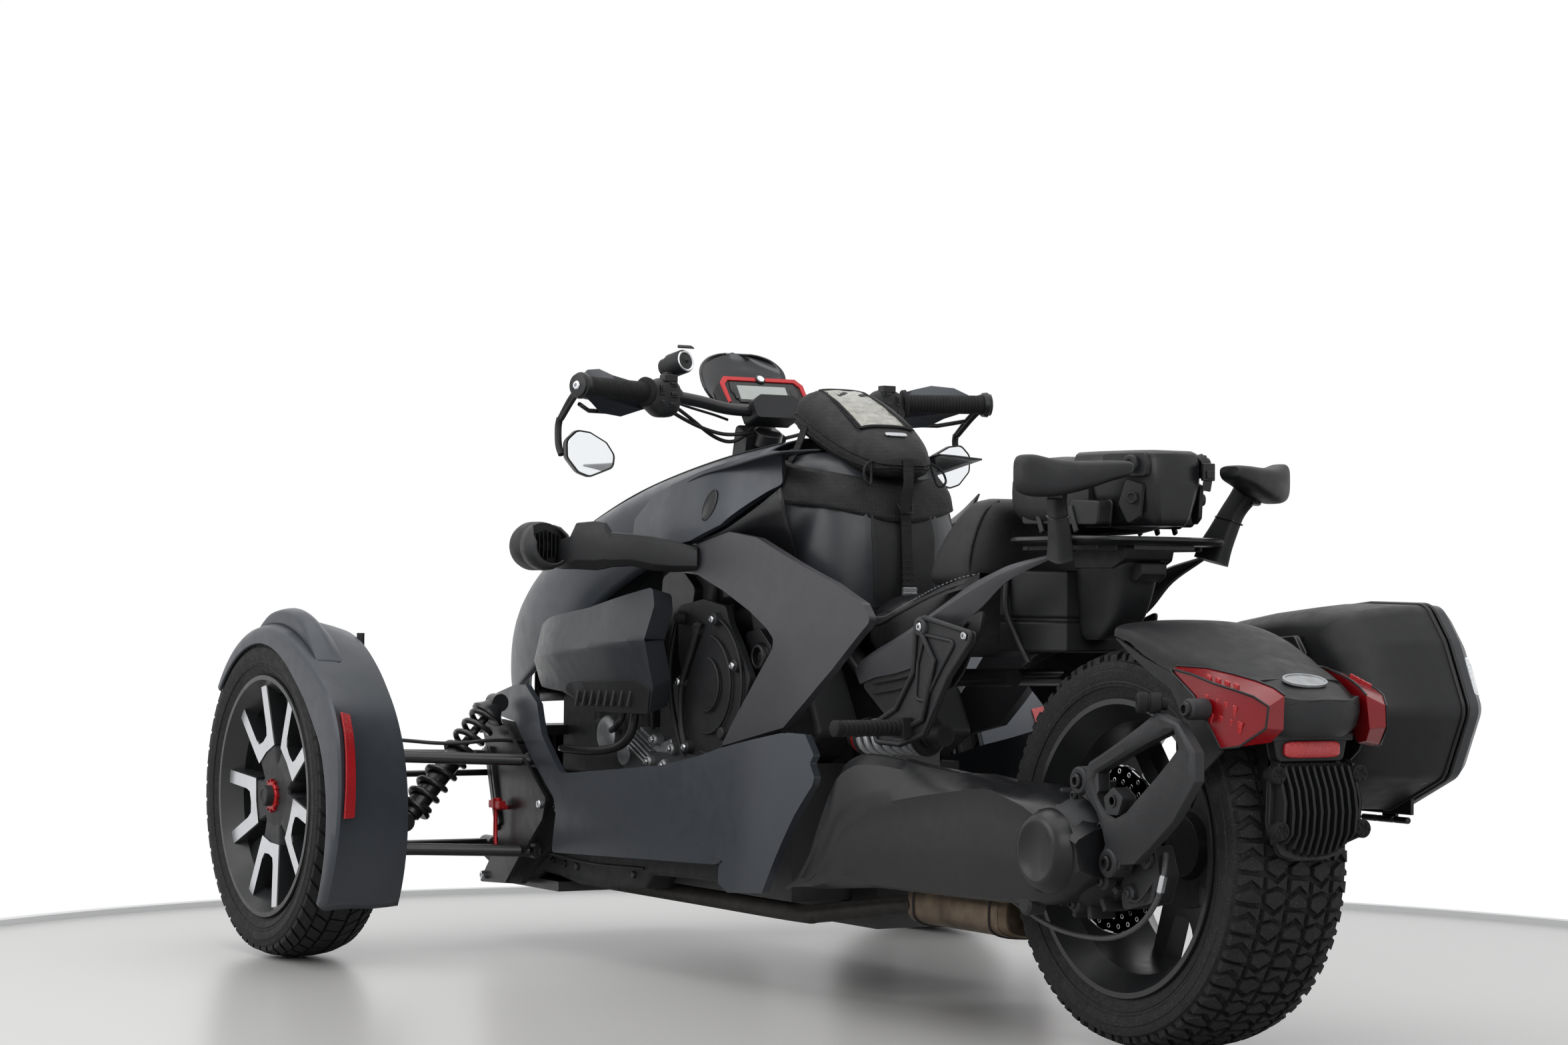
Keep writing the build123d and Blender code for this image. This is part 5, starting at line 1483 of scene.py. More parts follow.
def gauge():
    """Instrument pod: black case, red bezel round its top and sides, display and a round button."""
    centre = Vector((0, -354, 1024))

    def on_face(points, out):
        """Points across and up the gauge's face, out from it."""
        return [tuple(centre + Vector((x, 0, 0)) + GAUGE_UP * u + GAUGE_OUT * out) for x, u in points]

    case = rounded([(-76, 34), (76, 34), (88, 18), (84, -34), (-84, -34), (-88, 18)], 9)
    bm = bmesh.new()
    rows = [on_face([(x * 0.8, u * 0.8) for x, u in case], -34), on_face(case, -22), on_face(case, -1),
            on_face([(x * 0.985, u * 0.965) for x, u in case], 1.5)]
    closed_form(bm, rows)
    bmesh.ops.recalc_face_normals(bm, faces=bm.faces)
    piece("gauge_case", bm, *BAR_TRIM, bevel=0.8, nodes=("gauge_pod",))
    bm = bmesh.new()
    outer = [(84, -32), (86, 16), (74, 31), (-74, 31), (-86, 16), (-84, -32)]
    inner = [(78, -30), (77, 12), (68, 22), (-68, 22), (-77, 12), (-78, -30)]
    grid_faces(bm, [on_face(outer, 1.4), on_face(outer, 4.4), on_face(inner, 4.4), on_face(inner, 1.4)])
    piece("gauge_bezel", bm, "steering", "lens_red", RED, bevel=0.8, angle=40)
    bm = bmesh.new()
    outline_block(bm, [(-66, 19), (66, 19), (70, -2), (58, -30), (-58, -30), (-70, -2)], centre + GAUGE_OUT,
                  ACROSS, GAUGE_UP, GAUGE_OUT * 2.6)
    turn_profile(bm, centre + GAUGE_UP * 26 + GAUGE_OUT, GAUGE_OUT, [(0, 10), (5, 10), (6.4, 8), (6.4, 0)],
                 28)
    piece("gauge_face", bm, *BAR_SMOOTH, bevel=0.8)
    bm = bmesh.new()
    outline_block(bm, [(-46, 10), (54, 10), (56, -24), (-44, -24)], centre + GAUGE_OUT * 3.2, ACROSS,
                  GAUGE_UP, GAUGE_OUT * 1.2)
    piece("gauge_display", bm, "steering", "lens_clear", SCREEN, bevel=0.5)
    bm = bmesh.new()
    turn_profile(bm, centre + GAUGE_UP * 26 + GAUGE_OUT * 6, GAUGE_OUT,
                 [(1.4, 6.4), (1.6, 6.8), (1.6, 5.2), (1, 5)], 24)
    piece("gauge_button_ring", bm, "steering", "castings", MACHINED, angle=30)
    bm = bmesh.new()
    for dx in (-56, -48, 62):
        outline_block(bm, [(-3, 3), (3, 3), (3, -22), (-3, -22)],
                      centre + Vector((dx, 0, 0)) + GAUGE_OUT * 3.4, ACROSS, GAUGE_UP, GAUGE_OUT)
    piece("gauge_marks", bm, *BAR_TRIM, bevel=0.4)


def wind_deflector():
    """A short smoked screen, curved round the back of the gauge, with a black mount."""
    rows = []
    for u, half, y, z in ((0.0, 62, -418, 1000), (0.25, 84, -424, 1030), (0.5, 90, -430, 1056),
                          (0.7, 84, -436, 1074), (0.85, 68, -441, 1088), (0.95, 46, -445, 1096),
                          (1.0, 26, -446, 1099)):
        rows.append([(half * k / 6, y - 26 * (1 - (k / 6) ** 2) * (0.75 + 0.25 * u),
                      z + 2 - 2 * (k / 6) ** 2) for k in range(-6, 7)])
    skin("smoked_screen_sheet", rows, "steering", "trim_black", SMOKED, across=21, along=25, thick=3,
         angle=60, nodes=("wind_deflector",))
    bm = bmesh.new()
    outline_block(bm, [(-58, -16), (58, -16), (66, 14), (-66, 14)], (0, -414, 1008), ACROSS,
                  (0, -0.2, 0.98), (0, 14, 2))
    box(bm, (0, -398, 1000), (60, 40, 16))
    piece("screen_mount", bm, *BAR_TRIM, bevel=2)


handlebar()
for hand in (1, -1):
    controls(hand)
power_socket()
gauge()
wind_deflector()


# ---- engine side, belly and front plates ---------------------------------------------------

DRIVE_COVER = [(-316, 640), (-226, 652), (-146, 640), (-131, 612), (-96, 574), (-58, 520), (-92, 446),
               (-172, 386), (-278, 382), (-306, 448), (-290, 500), (-312, 560)]
HEAD_BOLTS = ((-450, 362), (-394, 358), (-366, 388), (-430, 402))


def engine_side(hand):
    """What shows through the side opening: belt cover, cylinder castings, ducts, hoses and bolts."""
    panel("belt_cover", DRIVE_COVER, lambda y, z: 190 + 8 * max(0, 1 - hypot(y + 190, z - 505) / 150), 12,
          *ENGINE_TRIM, grid=26, corner=18, side=hand, bevel=4, nodes=("engine_covers",), angle=50)
    bm = bmesh.new()
    for r, lift in ((118, 196.5), (84, 199), (46, 200.5)):
        arc = [(lift, -196 + r * cos(radians(a)), 506 + r * sin(radians(a))) for a in range(-100, 84, 6)]
        wire(bm, arc, 2.6, 8)
    spine = [(-219, 612), (-250, 560), (-284, 500), (-284, 440), (-268, 396)]
    wire(bm, curve_through([(199, y, z) for y, z in spine], 24), 6, 10)
    for y, z in ((-168, 618), (-232, 600), (-286, 508), (-262, 396), (-140, 424), (-96, 540), (-300, 620)):
        turn_profile(bm, (190, y, z), ACROSS, [(0, 12), (12, 11), (14, 9)], 20)
    piece("belt_cover_ribs", bm, *ENGINE_TRIM, side=hand, bevel=0.8)
    bm = bmesh.new()
    for y, z in ((-168, 618), (-286, 508), (-262, 396), (-96, 540)):
        bolt(bm, (204, y, z), ACROSS, 6.5, 5)
    piece("belt_cover_bolts", bm, *BRIGHT, side=hand, bevel=0.4)
    bm = bmesh.new()
    for centre, size, turn in (((96, -600, 500), (110, 190, 190), 0), ((84, -752, 400), (150, 150, 150), 0),
                               ((100, -650, 350), (120, 150, 170), 0),
                               ((110, -440, 610), (90, 150, 130), 12),
                               ((120, -330, 700), (90, 190, 80), -14), ((90, -220, 640), (80, 200, 110), 0),
                               ((110, -60, 620), (90, 130, 110), 20), ((110, 10, 480), (90, 110, 180), 30)):
        box(bm, centre, size, tilted(turn))
    piece("engine_shroud", bm, *ENGINE_TRIM, side=hand, bevel=12)
    bm = bmesh.new()
    side_block(bm, rounded([(-390, 690), (-330, 712), (-270, 672), (-300, 560), (-352, 500),
                            (-400, 520)], 16), 120, 62)
    side_block(bm, rounded([(-118, 596), (-70, 604), (-30, 574), (-36, 528), (-70, 516),
                            (-112, 540)], 14), 140, 28)
    turn_profile(bm, (160, -62, 556), ACROSS, [(0, 26), (12, 25), (18, 20), (18, 15), (4, 14), (4, 0)], 36)
    turn_profile(bm, (150, -62, 556), ACROSS, [(20, 9), (22, 7), (22, 0)], 20)
    piece("intake_duct", bm, "root", "castings_black", SMOOTH, side=hand, bevel=3)
    bm = bmesh.new()
    lean = tilted(-24)
    for k in range(5):
        box(bm, Vector((150, -486, 386)) + lean @ Vector((0, 0, k * 9 - 18)), (44, 92 - k * 7, 4), lean)
    box(bm, (140, -486, 386), (40, 70, 48), lean)
    turn_profile(bm, (128, -640, 402), ACROSS, [(0, 36), (30, 36), (36, 30), (38, 20), (38, 0)], 36)
    turn_profile(bm, (128, -560, 372), ACROSS, [(0, 30), (26, 30), (32, 24), (40, 22), (40, 0)], 30)
    box(bm, (140, -410, 376), (46, 60, 44), tilted(16))
    for y, z in HEAD_BOLTS:
        turn_profile(bm, (158, y, z), ACROSS, [(0, 11), (16, 11), (19, 8)], 18)
    piece("head_casting", bm, "root", "castings", CAST, side=hand, bevel=2)
    bm = bmesh.new()
    for y, z in HEAD_BOLTS:
        bolt(bm, (177, y, z), ACROSS, 6, 5)
    turn_profile(bm, (196, -744, 373), (0, -1, 0), [(0, 6), (10, 6), (12, 4), (12, 0)], 16)
    piece("head_bolts", bm, *BRIGHT, side=hand, bevel=0.4)
    for k, (points, r) in enumerate((([(190, -472, 446), (196, -468, 414), (198, -500, 390),
                                       (198, -560, 378), (198, -640, 372), (196, -742, 373)], 8),
                                     ([(176, -330, 640), (186, -356, 560), (184, -352, 470),
                                       (178, -336, 420), (170, -330, 380)], 6),
                                     ([(160, -560, 470), (178, -540, 440), (182, -556, 420),
                                       (170, -600, 412)], 6),
                                     ([(172, -420, 560), (186, -410, 500), (184, -420, 450),
                                       (176, -430, 420)], 4))):
        tube(f"engine_hose_{k}", points, r, *HOSES, side=hand)
    plate = [(-938, 419), (-820, 417), (-764, 373), (-646, 290), (-644, 282), (-656, 249), (-724, 191),
             (-750, 174), (-809, 121), (-930, 115), (-842, 199), (-860, 236), (-916, 390)]
    panel("front_side_plate", plate, lambda y, z: 281 - 0.04 * max(0, -y - 800), 7, "root",
          "frame_black", SMOOTH, grid=20, corner=5, side=hand, bevel=1.4)
    bm = bmesh.new()
    side_block(bm, [(-898, 372), (-884, 372), (-836, 222), (-846, 216)], 276, 9)
    side_block(bm, [(-878, 372), (-872, 372), (-826, 232), (-832, 226)], 276, 10)
    piece("front_plate_rails", bm, "root", "frame_black", FRAME_BLACK, side=hand, bevel=1)
    bm = bmesh.new()
    for y, z in ((-916, 404), (-664, 276), (-900, 130)):
        turn_profile(bm, (276, y, z), ACROSS, [(0, 8), (9, 8), (11, 6.4), (11, 3), (9, 2.6), (9, 0)], 20)
    piece("front_plate_bolts", bm, *BRIGHT, side=hand, bevel=0.3)
    bm = bmesh.new()
    seam = [(176, 438), (120, 370), (39, 265), (-20, 256), (-40, 236), (-42, 227), (-2, 224), (-5, 178)]
    wire(bm, [(table(y, ((-100, 276), (60, 258), (230, 240))) + 0.3, y, z) for y, z in seam], 1.7, 6)
    piece("sill_seam", bm, *TRIM_SMOOTH, side=hand, angle=60)


def belly():
    """Moulded cover under the engine, with its rounded bulges and fasteners."""
    bm = bmesh.new()
    outline = [(-1050, 156), (-960, 122), (-800, 124), (-770, 142), (-717, 140), (-640, 131), (-540, 131),
               (-470, 137), (-376, 143), (-350, 168), (-240, 172), (-120, 174), (-60, 180), (-60, 206),
               (-960, 206), (-1046, 168)]
    side_block(bm, rounded(outline, 10), -216, 432)
    piece("belly_cover", bm, *TRIM, bevel=9, nodes=("skid_plate",), segments=3)
    bm = bmesh.new()
    for hand in (1, -1):
        for y, z in ((-740, 168), (-690, 164), (-640, 162), (-420, 164)):
            turn_profile(bm, (hand * 214, y, z), (hand, 0, 0), [(0, 7), (4, 7), (6, 5), (6, 0)], 16)
        wire(bm, [(hand * 217, -770, 176), (hand * 217, -560, 172), (hand * 217, -380, 178)], 3, 8)
    piece("belly_fasteners", bm, *TRIM_SMOOTH, bevel=0.4)


for hand in (1, -1):
    engine_side(hand)
belly()


# ---- seats, grab handles and rack ---------------------------------------------------------


RIDER_SEAT = ((122, 52, 594, 634), (160, 92, 574, 634), (210, 116, 566, 631), (270, 138, 562, 635),
              (330, 152, 566, 648), (390, 158, 586, 664), (440, 157, 614, 679), (490, 146, 656, 694),
              (522, 122, 680, 702))


def seat_ring(y, half, low, high):
    """Seat section: tucked side, soft shoulder and a slightly dished top."""
    left = [(0, high - 3), (half * 0.4, high - 1.5), (half * 0.7, high), (half * 0.86, high - 5),
            (half * 0.96, high - 15), (half, high - 27), (half * 0.985, low + 16), (half * 0.9, low + 4),
            (half * 0.6, low)]
    return [(x, y, z) for x, z in both_sides(left)]


STITCH_GAP, STITCH_R = 7.0, 1.0


def stitch_line(name, points):
    """A row of stitches: short raised dashes along points."""
    bm = bmesh.new()
    points = [Vector(p) for p in curve_through(points, 120)]
    travelled = 0.0
    for a, b in zip(points, points[1:]):
        travelled += (b - a).length
        if travelled >= STITCH_GAP:
            travelled = 0.0
            ahead = (b - a).normalized()
            wire(bm, [b - ahead * 2.2, b, b + ahead * 2.2], STITCH_R, 5)
    piece(name, bm, "root", "seat_vinyl", STITCH, angle=60)


def rider_seat():
    """The dished saddle with its stitched edge, and the separate lumbar pad."""
    shell = loft("rider_seat_cover", [seat_ring(*row) for row in RIDER_SEAT], *SEAT,
                 along=44, nodes=("rider_seat",), angle=60)
    for hand in (1, -1):
        edge = [(hand * half * 0.93, y, high - 6) for y, half, _, high in RIDER_SEAT[1:]]
        stitch_line(side_name("seat_stitches", hand), edge)
        bm = bmesh.new()
        wire(bm, curve_through([(hand * half * 0.975, y, high - 18) for y, half, _, high in RIDER_SEAT[1:]],
                               60), 2.2, 6)
        piece(side_name("seat_piping", hand), bm, *SEAT, angle=60)
    pad = []
    for z, half, front, rear in ((678, 122, 366, 512), (692, 129, 362, 521), (726, 128, 382, 525),
                                 (762, 120, 408, 526), (790, 108, 434, 524), (806, 96, 456, 514),
                                 (812, 78, 476, 500)):
        pad.append(level_loop((0, (front + rear) / 2, z), half, (rear - front) / 2, 4.2, 40))
    lumbar = loft("lumbar_pad", pad, *SEAT, along=24, angle=60)
    for hand in (1, -1):
        seam = [(hand * 118, 494, 684), (hand * 124, 500, 716), (hand * 119, 505, 752),
                (hand * 104, 510, 790), (hand * 76, 508, 808)]
        bm = bmesh.new()
        wire(bm, curve_through(seam, 30), 1.8, 6)
        piece(side_name("lumbar_seam", hand), bm, "root", "seat_vinyl", WEBBING, angle=60)


def passenger_seat():
    """A narrow wedge: rounded front bolster, dished top and a facetted rear block."""
    front = [upright_loop((0, y, (low + high) / 2), half, (high - low) / 2, 3.2, 36)
             for y, half, low, high in ((538, 52, 800, 842), (546, 74, 784, 858), (566, 90, 768, 869),
                                        (610, 99, 757, 875), (670, 99, 754, 873), (720, 90, 756, 871),
                                        (752, 82, 762, 872))]
    bolster = loft("passenger_bolster", front, *SEAT, along=30, nodes=("passenger_seat",), angle=60)
    block = []
    for z, half, rear, front_half in ((766, 27, 848, 58), (778, 33, 855, 66), (826, 43, 862, 76),
                                      (862, 46, 861, 78), (873, 43, 857, 74), (877, 38, 850, 68)):
        left = [(0, rear), (half * 0.82, rear), (half, rear - 5), (half + 13, rear - 26),
                (front_half, rear - 96), (front_half, 706), (0, 706)]
        block.append([(x, y, z) for x, y in both_sides(left, -1)])
    rear_block = loft("passenger_rear_block", block, "root", "seat_vinyl", SMOOTH, bevel=3, segments=3)
    bm = bmesh.new()
    for hand in (1, -1):
        outline_block(bm, rounded([(0, 0), (46, 0), (50, 18), (44, 34), (-34, 34), (-30, 12)], 6),
                      (hand * 62, 812, 838), (-hand * 0.28, 0.96, 0), UPWARDS, (hand * 8, 2, 0))
        turn_profile(bm, (hand * 66, 838, 856), (hand * 0.96, 0.28, 0),
                     [(0, 13), (6, 13), (8, 11), (8, 6), (6, 5), (6, 0)], 28)
        outline_block(bm, rounded([(0, 0), (20, 10), (26, 58), (-4, 66), (-18, 30)], 6),
                      (hand * 58, 824, 768), (-hand * 0.28, 0.96, 0), UPWARDS, (hand * 6, 2, 0))
        turn_profile(bm, (hand * 62, 836, 806), (hand * 0.96, 0.28, 0),
                     [(0, 9), (5, 9), (6, 7), (4, 5), (4, 0)], 24)
    piece("passenger_brackets", bm, *TRIM, bevel=1)
    bm = bmesh.new()
    for hand in (1, -1):
        outline_block(bm, rounded([(-100, -30), (96, -34), (100, 2), (-40, 10), (-100, 6)], 8),
                      (hand * 66, 690, 800), REARWARDS, UPWARDS, (hand * 24, 0, 0))
        for k in range(3):
            box(bm, (hand * 92, 640 + k * 44, 776), (6, 10, 44), tilted(24))
    piece("passenger_under_frame", bm, *TRIM, bevel=4)
    bm = bmesh.new()
    ribbon(bm, [(-45, 852, 872), (-50, 862, 862), (-51, 868, 836), (-49, 866, 818)], 16, 3)
    box(bm, (-50, 869, 846), (22, 7, 26))
    box(bm, (-51, 873, 842), (14, 5, 12))
    piece("passenger_buckle", bm, *TRIM_SMOOTH, bevel=1.4)


def grab_handle(hand):
    """Paddle with a dipped top and a raised tip, scooped underneath, on a tapered jointed arm."""
    sections = []
    for x, front, rear, low, high in ((96, 838, 884, 840, 856), (104, 832, 886, 834, 858),
                                      (130, 818, 882, 826, 858), (156, 806, 874, 816, 857),
                                      (184, 796, 864, 808, 857), (208, 788, 852, 804, 860),
                                      (228, 784, 838, 806, 865), (240, 786, 826, 812, 864),
                                      (246, 794, 816, 822, 856)):
        sections.append(superellipse((x, (front + rear) / 2, (low + high) / 2), REARWARDS, UPWARDS,
                                     (rear - front) / 2, (high - low) / 2, (high - low) / 2, 3.6, 32))
    loft("grab_paddle", sections, *TRIM, along=36, side=hand,
         nodes=("seat_rack",) if hand > 0 else (), angle=60)
    first, second = Vector((0.2, 0.96, -0.2)), Vector((0.95, -0.15, -0.28))
    arm = []
    for point, long, wide in (((140, 762, 716), 27, 15), ((144, 768, 738), 25, 14),
                              ((152, 776, 762), 21, 13), ((162, 785, 790), 18, 12),
                              ((172, 798, 812), 20, 13), ((178, 812, 826), 26, 15)):
        arm.append(superellipse(point, first, second, long, wide, wide, 4, 28))
    loft("grab_arm", arm, *TRIM, along=22, side=hand, angle=50)
    bm = bmesh.new()
    ring = superellipse((158, 782, 778), first, second, 20.5, 13.2, 13.2, 4, 28)
    wire(bm, ring + [ring[0]], 1.2, 5)
    outline_block(bm, rounded([(-12, -4), (12, -4), (12, 4), (-12, 4)], 3),
                  (186, 812, 806), (0.9, -0.3, 0), (0, 0.8, 0.3), (0, 0, -4))
    piece("grab_joint", bm, *TRIM_SMOOTH, side=hand, angle=50)


def rack():
    """Thin plate with a bowed rear edge and ribs below, its latch block and the curved support."""
    left = [(0, 555), (58, 555), (90, 563), (126, 612), (140, 650), (146, 720), (145, 762), (132, 805),
            (108, 834), (60, 846), (0, 850)]
    outline = both_sides(left, -1)
    bm = bmesh.new()
    rows = []
    for grow, z in ((0.90, 736.5), (0.975, 739), (1.0, 744), (0.985, 748.5), (0.94, 750)):
        rows.append([(x * grow, 700 + (y - 700) * grow, z) for x, y in outline])
    grid = grid_faces(bm, rows, close_columns=True)
    bm.faces.new(reversed(grid[0]))
    bm.faces.new(grid[-1])
    bmesh.ops.recalc_face_normals(bm, faces=bm.faces)
    piece("rack_plate", bm, *TRIM_SMOOTH, angle=50)
    bm = bmesh.new()
    for x in (-96, -60, 60, 96):
        box(bm, (x, 700, 734), (5, 190, 9))
    for y in (620, 690, 830):
        box(bm, (0, y, 734), (200 if y < 800 else 110, 5, 9))
    side_block(bm, rounded([(664, 738), (796, 738), (790, 716), (760, 703), (664, 703)], 6), -44, 88)
    side_block(bm, rounded([(742, 712), (800, 712), (800, 694), (784, 684), (748, 688)], 5), -26, 44)
    piece("rack_latch", bm, *TRIM, bevel=2)
    column = []
    for y, z, half, deep in ((712, 712, 44, 64), (706, 690, 42, 62), (700, 660, 38, 60), (694, 630, 34, 52),
                             (686, 606, 32, 36), (684, 596, 28, 24)):
        column.append(level_loop((0, y + 6, z), half, deep, 4.5, 32))
    loft("rack_column", column, *TRIM, along=24, angle=50)


def seat_blades(hand):
    """The folded side trim that rises from the arch panel to the rack, and the dark panel below it."""
    upper = [(160, 235, 548), (161, 272, 567), (162, 340, 590), (162, 407, 615), (161, 480, 646),
             (158, 552, 677), (152, 610, 697), (146, 651, 709), (138, 744, 724)]
    ridge = [(168, 238, 540), (174, 276, 556), (176, 344, 578), (176, 412, 602), (174, 486, 634),
             (170, 556, 662), (164, 612, 684), (156, 654, 699), (143, 746, 721)]
    lower = [(166, 249, 518), (168, 300, 530), (168, 360, 538), (167, 417, 552), (165, 480, 584),
             (163, 528, 612), (160, 590, 645), (154, 650, 684), (140, 744, 717)]
    skin("seat_blade", [upper, ridge, lower], "root", "trim_black", PANEL_GREY, across=7, along=41,
         side=hand, thick=4, nodes=("seat_side_panels",) if hand > 0 else (), bevel=0.8, angle=28)
    panel("seat_lower_panel",
          [(249, 517), (317, 471), (432, 503), (513, 519), (543, 543), (590, 608), (600, 640), (523, 616),
           (411, 555), (286, 532)], lambda y, z: 165 - 0.05 * max(0, 560 - z), 4, *TRIM,
          grid=24, corner=8, side=hand, bevel=1)
    bm = bmesh.new()
    ridge_line = [(290, 520), (400, 536), (470, 560), (560, 620)]
    for offset in (0, 16):
        wire(bm, [(168 - offset * 0.1, y, z - offset) for y, z in curve_through(ridge_line, 24)], 2.4, 6)
    piece("seat_panel_ribs", bm, *TRIM, side=hand, angle=50)


def under_seat():
    """Tank with its groove band and filler hoses."""
    for name, low, high, grow in (("tank_upper", 628, 700, 1.0), ("tank_band", 620, 630, 0.95),
                                  ("tank_lower", 576, 622, 1.0)):
        rows = []
        for z in (low, low + 3, high - 3, high):
            inset = 0.96 if z in (low, high) else 1.0
            left = [(0, 524), (84, 524), (82, 560), (76, 600), (66, 640), (54, 660), (0, 663)]
            ring = [(x * grow * inset, 594 + (y - 594) * grow * inset, z) for x, y in left]
            rows.append(both_sides(ring, -1))
        loft(name, rows, *TRIM, bevel=1.5, nodes=("fuel_tank",) if low == 628 else ())
    bm = bmesh.new()
    for x in (88, -88):
        wire(bm, curve_through([(x, 548, 690), (x + 3, 552, 640), (x - 2, 574, 596), (x - 14, 588, 560)],
                               24), 5, 8)
    piece("tank_hoses", bm, *HOSES, angle=60)


def peg_bracket(hand):
    """Cast bracket with a bolted corner, a lightening window and a ribbed folding peg."""
    bm = bmesh.new()
    outline = rounded([(448, 622), (472, 626), (600, 604), (596, 590), (536, 536), (470, 446), (404, 428),
                       (330, 430), (338, 462), (392, 484), (440, 540)], 9)
    window = rounded([(470, 600), (556, 590), (516, 548), (474, 498), (446, 500), (452, 556)], 8)
    side_block(bm, outline, 178, 7)
    piece("peg_bracket_plate", bm, *CASTING, side=hand, bevel=2,
          nodes=("peg_brackets",) if hand > 0 else ())
    bm = bmesh.new()
    wire(bm, [(187, *p) for p in outline + outline[:1]], 4.4, 8)
    wire(bm, [(186, *p) for p in window + window[:1]], 3.2, 8)
    wire(bm, [(188, 456, 612), (188, 500, 560), (188, 470, 470), (188, 400, 446)], 5, 8)
    turn_profile(bm, (182, 462, 612), ACROSS, [(0, 15), (8, 15), (10, 13), (10, 9), (8, 8.5), (8, 0)], 28)
    piece("peg_bracket_rim", bm, *CASTING, side=hand, angle=50)
    bm = bmesh.new()
    bolt(bm, (190, 462, 612), ACROSS, 7, 4)
    bolt(bm, (186, 366, 448), ACROSS, 8, 5)
    bolt(bm, (186, 582, 600), ACROSS, 7, 5)
    piece("peg_bolts", bm, *BRIGHT, side=hand, angle=30)
    bm = bmesh.new()
    run = Vector((140, 10, 0)).normalized()
    profile = [(0, 9), (10, 9), (12, 13)]
    for k in range(12):
        profile += [(14 + k * 9, 13), (19 + k * 9, 13), (20 + k * 9, 11.4), (22 + k * 9, 11.4)]
    profile += [(126, 13), (134, 13), (136, 10)]
    turn_profile(bm, (190, 420, 455), run, profile, 24)
    outline_block(bm, [(-18, -16), (18, -16), (14, 16), (-14, 16)], (180, 422, 455), REARWARDS, UPWARDS,
                  (24, 1, 0))
    piece("peg_rubber", bm, "root", "grip_rubber", GRIP, side=hand, bevel=1, angle=40)


rider_seat()
passenger_seat()
rack()
under_seat()
for hand in (1, -1):
    grab_handle(hand)
    seat_blades(hand)
    peg_bracket(hand)


# ---- drive housing, tail and lights -------------------------------------------------------

HOUSING_TOP = ((137, 194), (160, 214), (190, 254), (222, 306), (255, 352), (281, 386), (320, 404),
               (352, 411), (420, 410), (510, 402), (620, 395), (741, 384), (820, 374), (880, 358),
               (930, 330))
HOUSING_CREASE = ((137, 189), (222, 210), (281, 246), (344, 302), (424, 335), (560, 356), (700, 374),
                  (741, 376), (820, 356), (880, 330), (930, 308))
HOUSING_FOOT = ((137, 186), (222, 190), (386, 205), (734, 211), (830, 214), (880, 226), (930, 262))
HOUSING_X = ((137, 236), (300, 250), (700, 250), (840, 243), (900, 234), (930, 228))


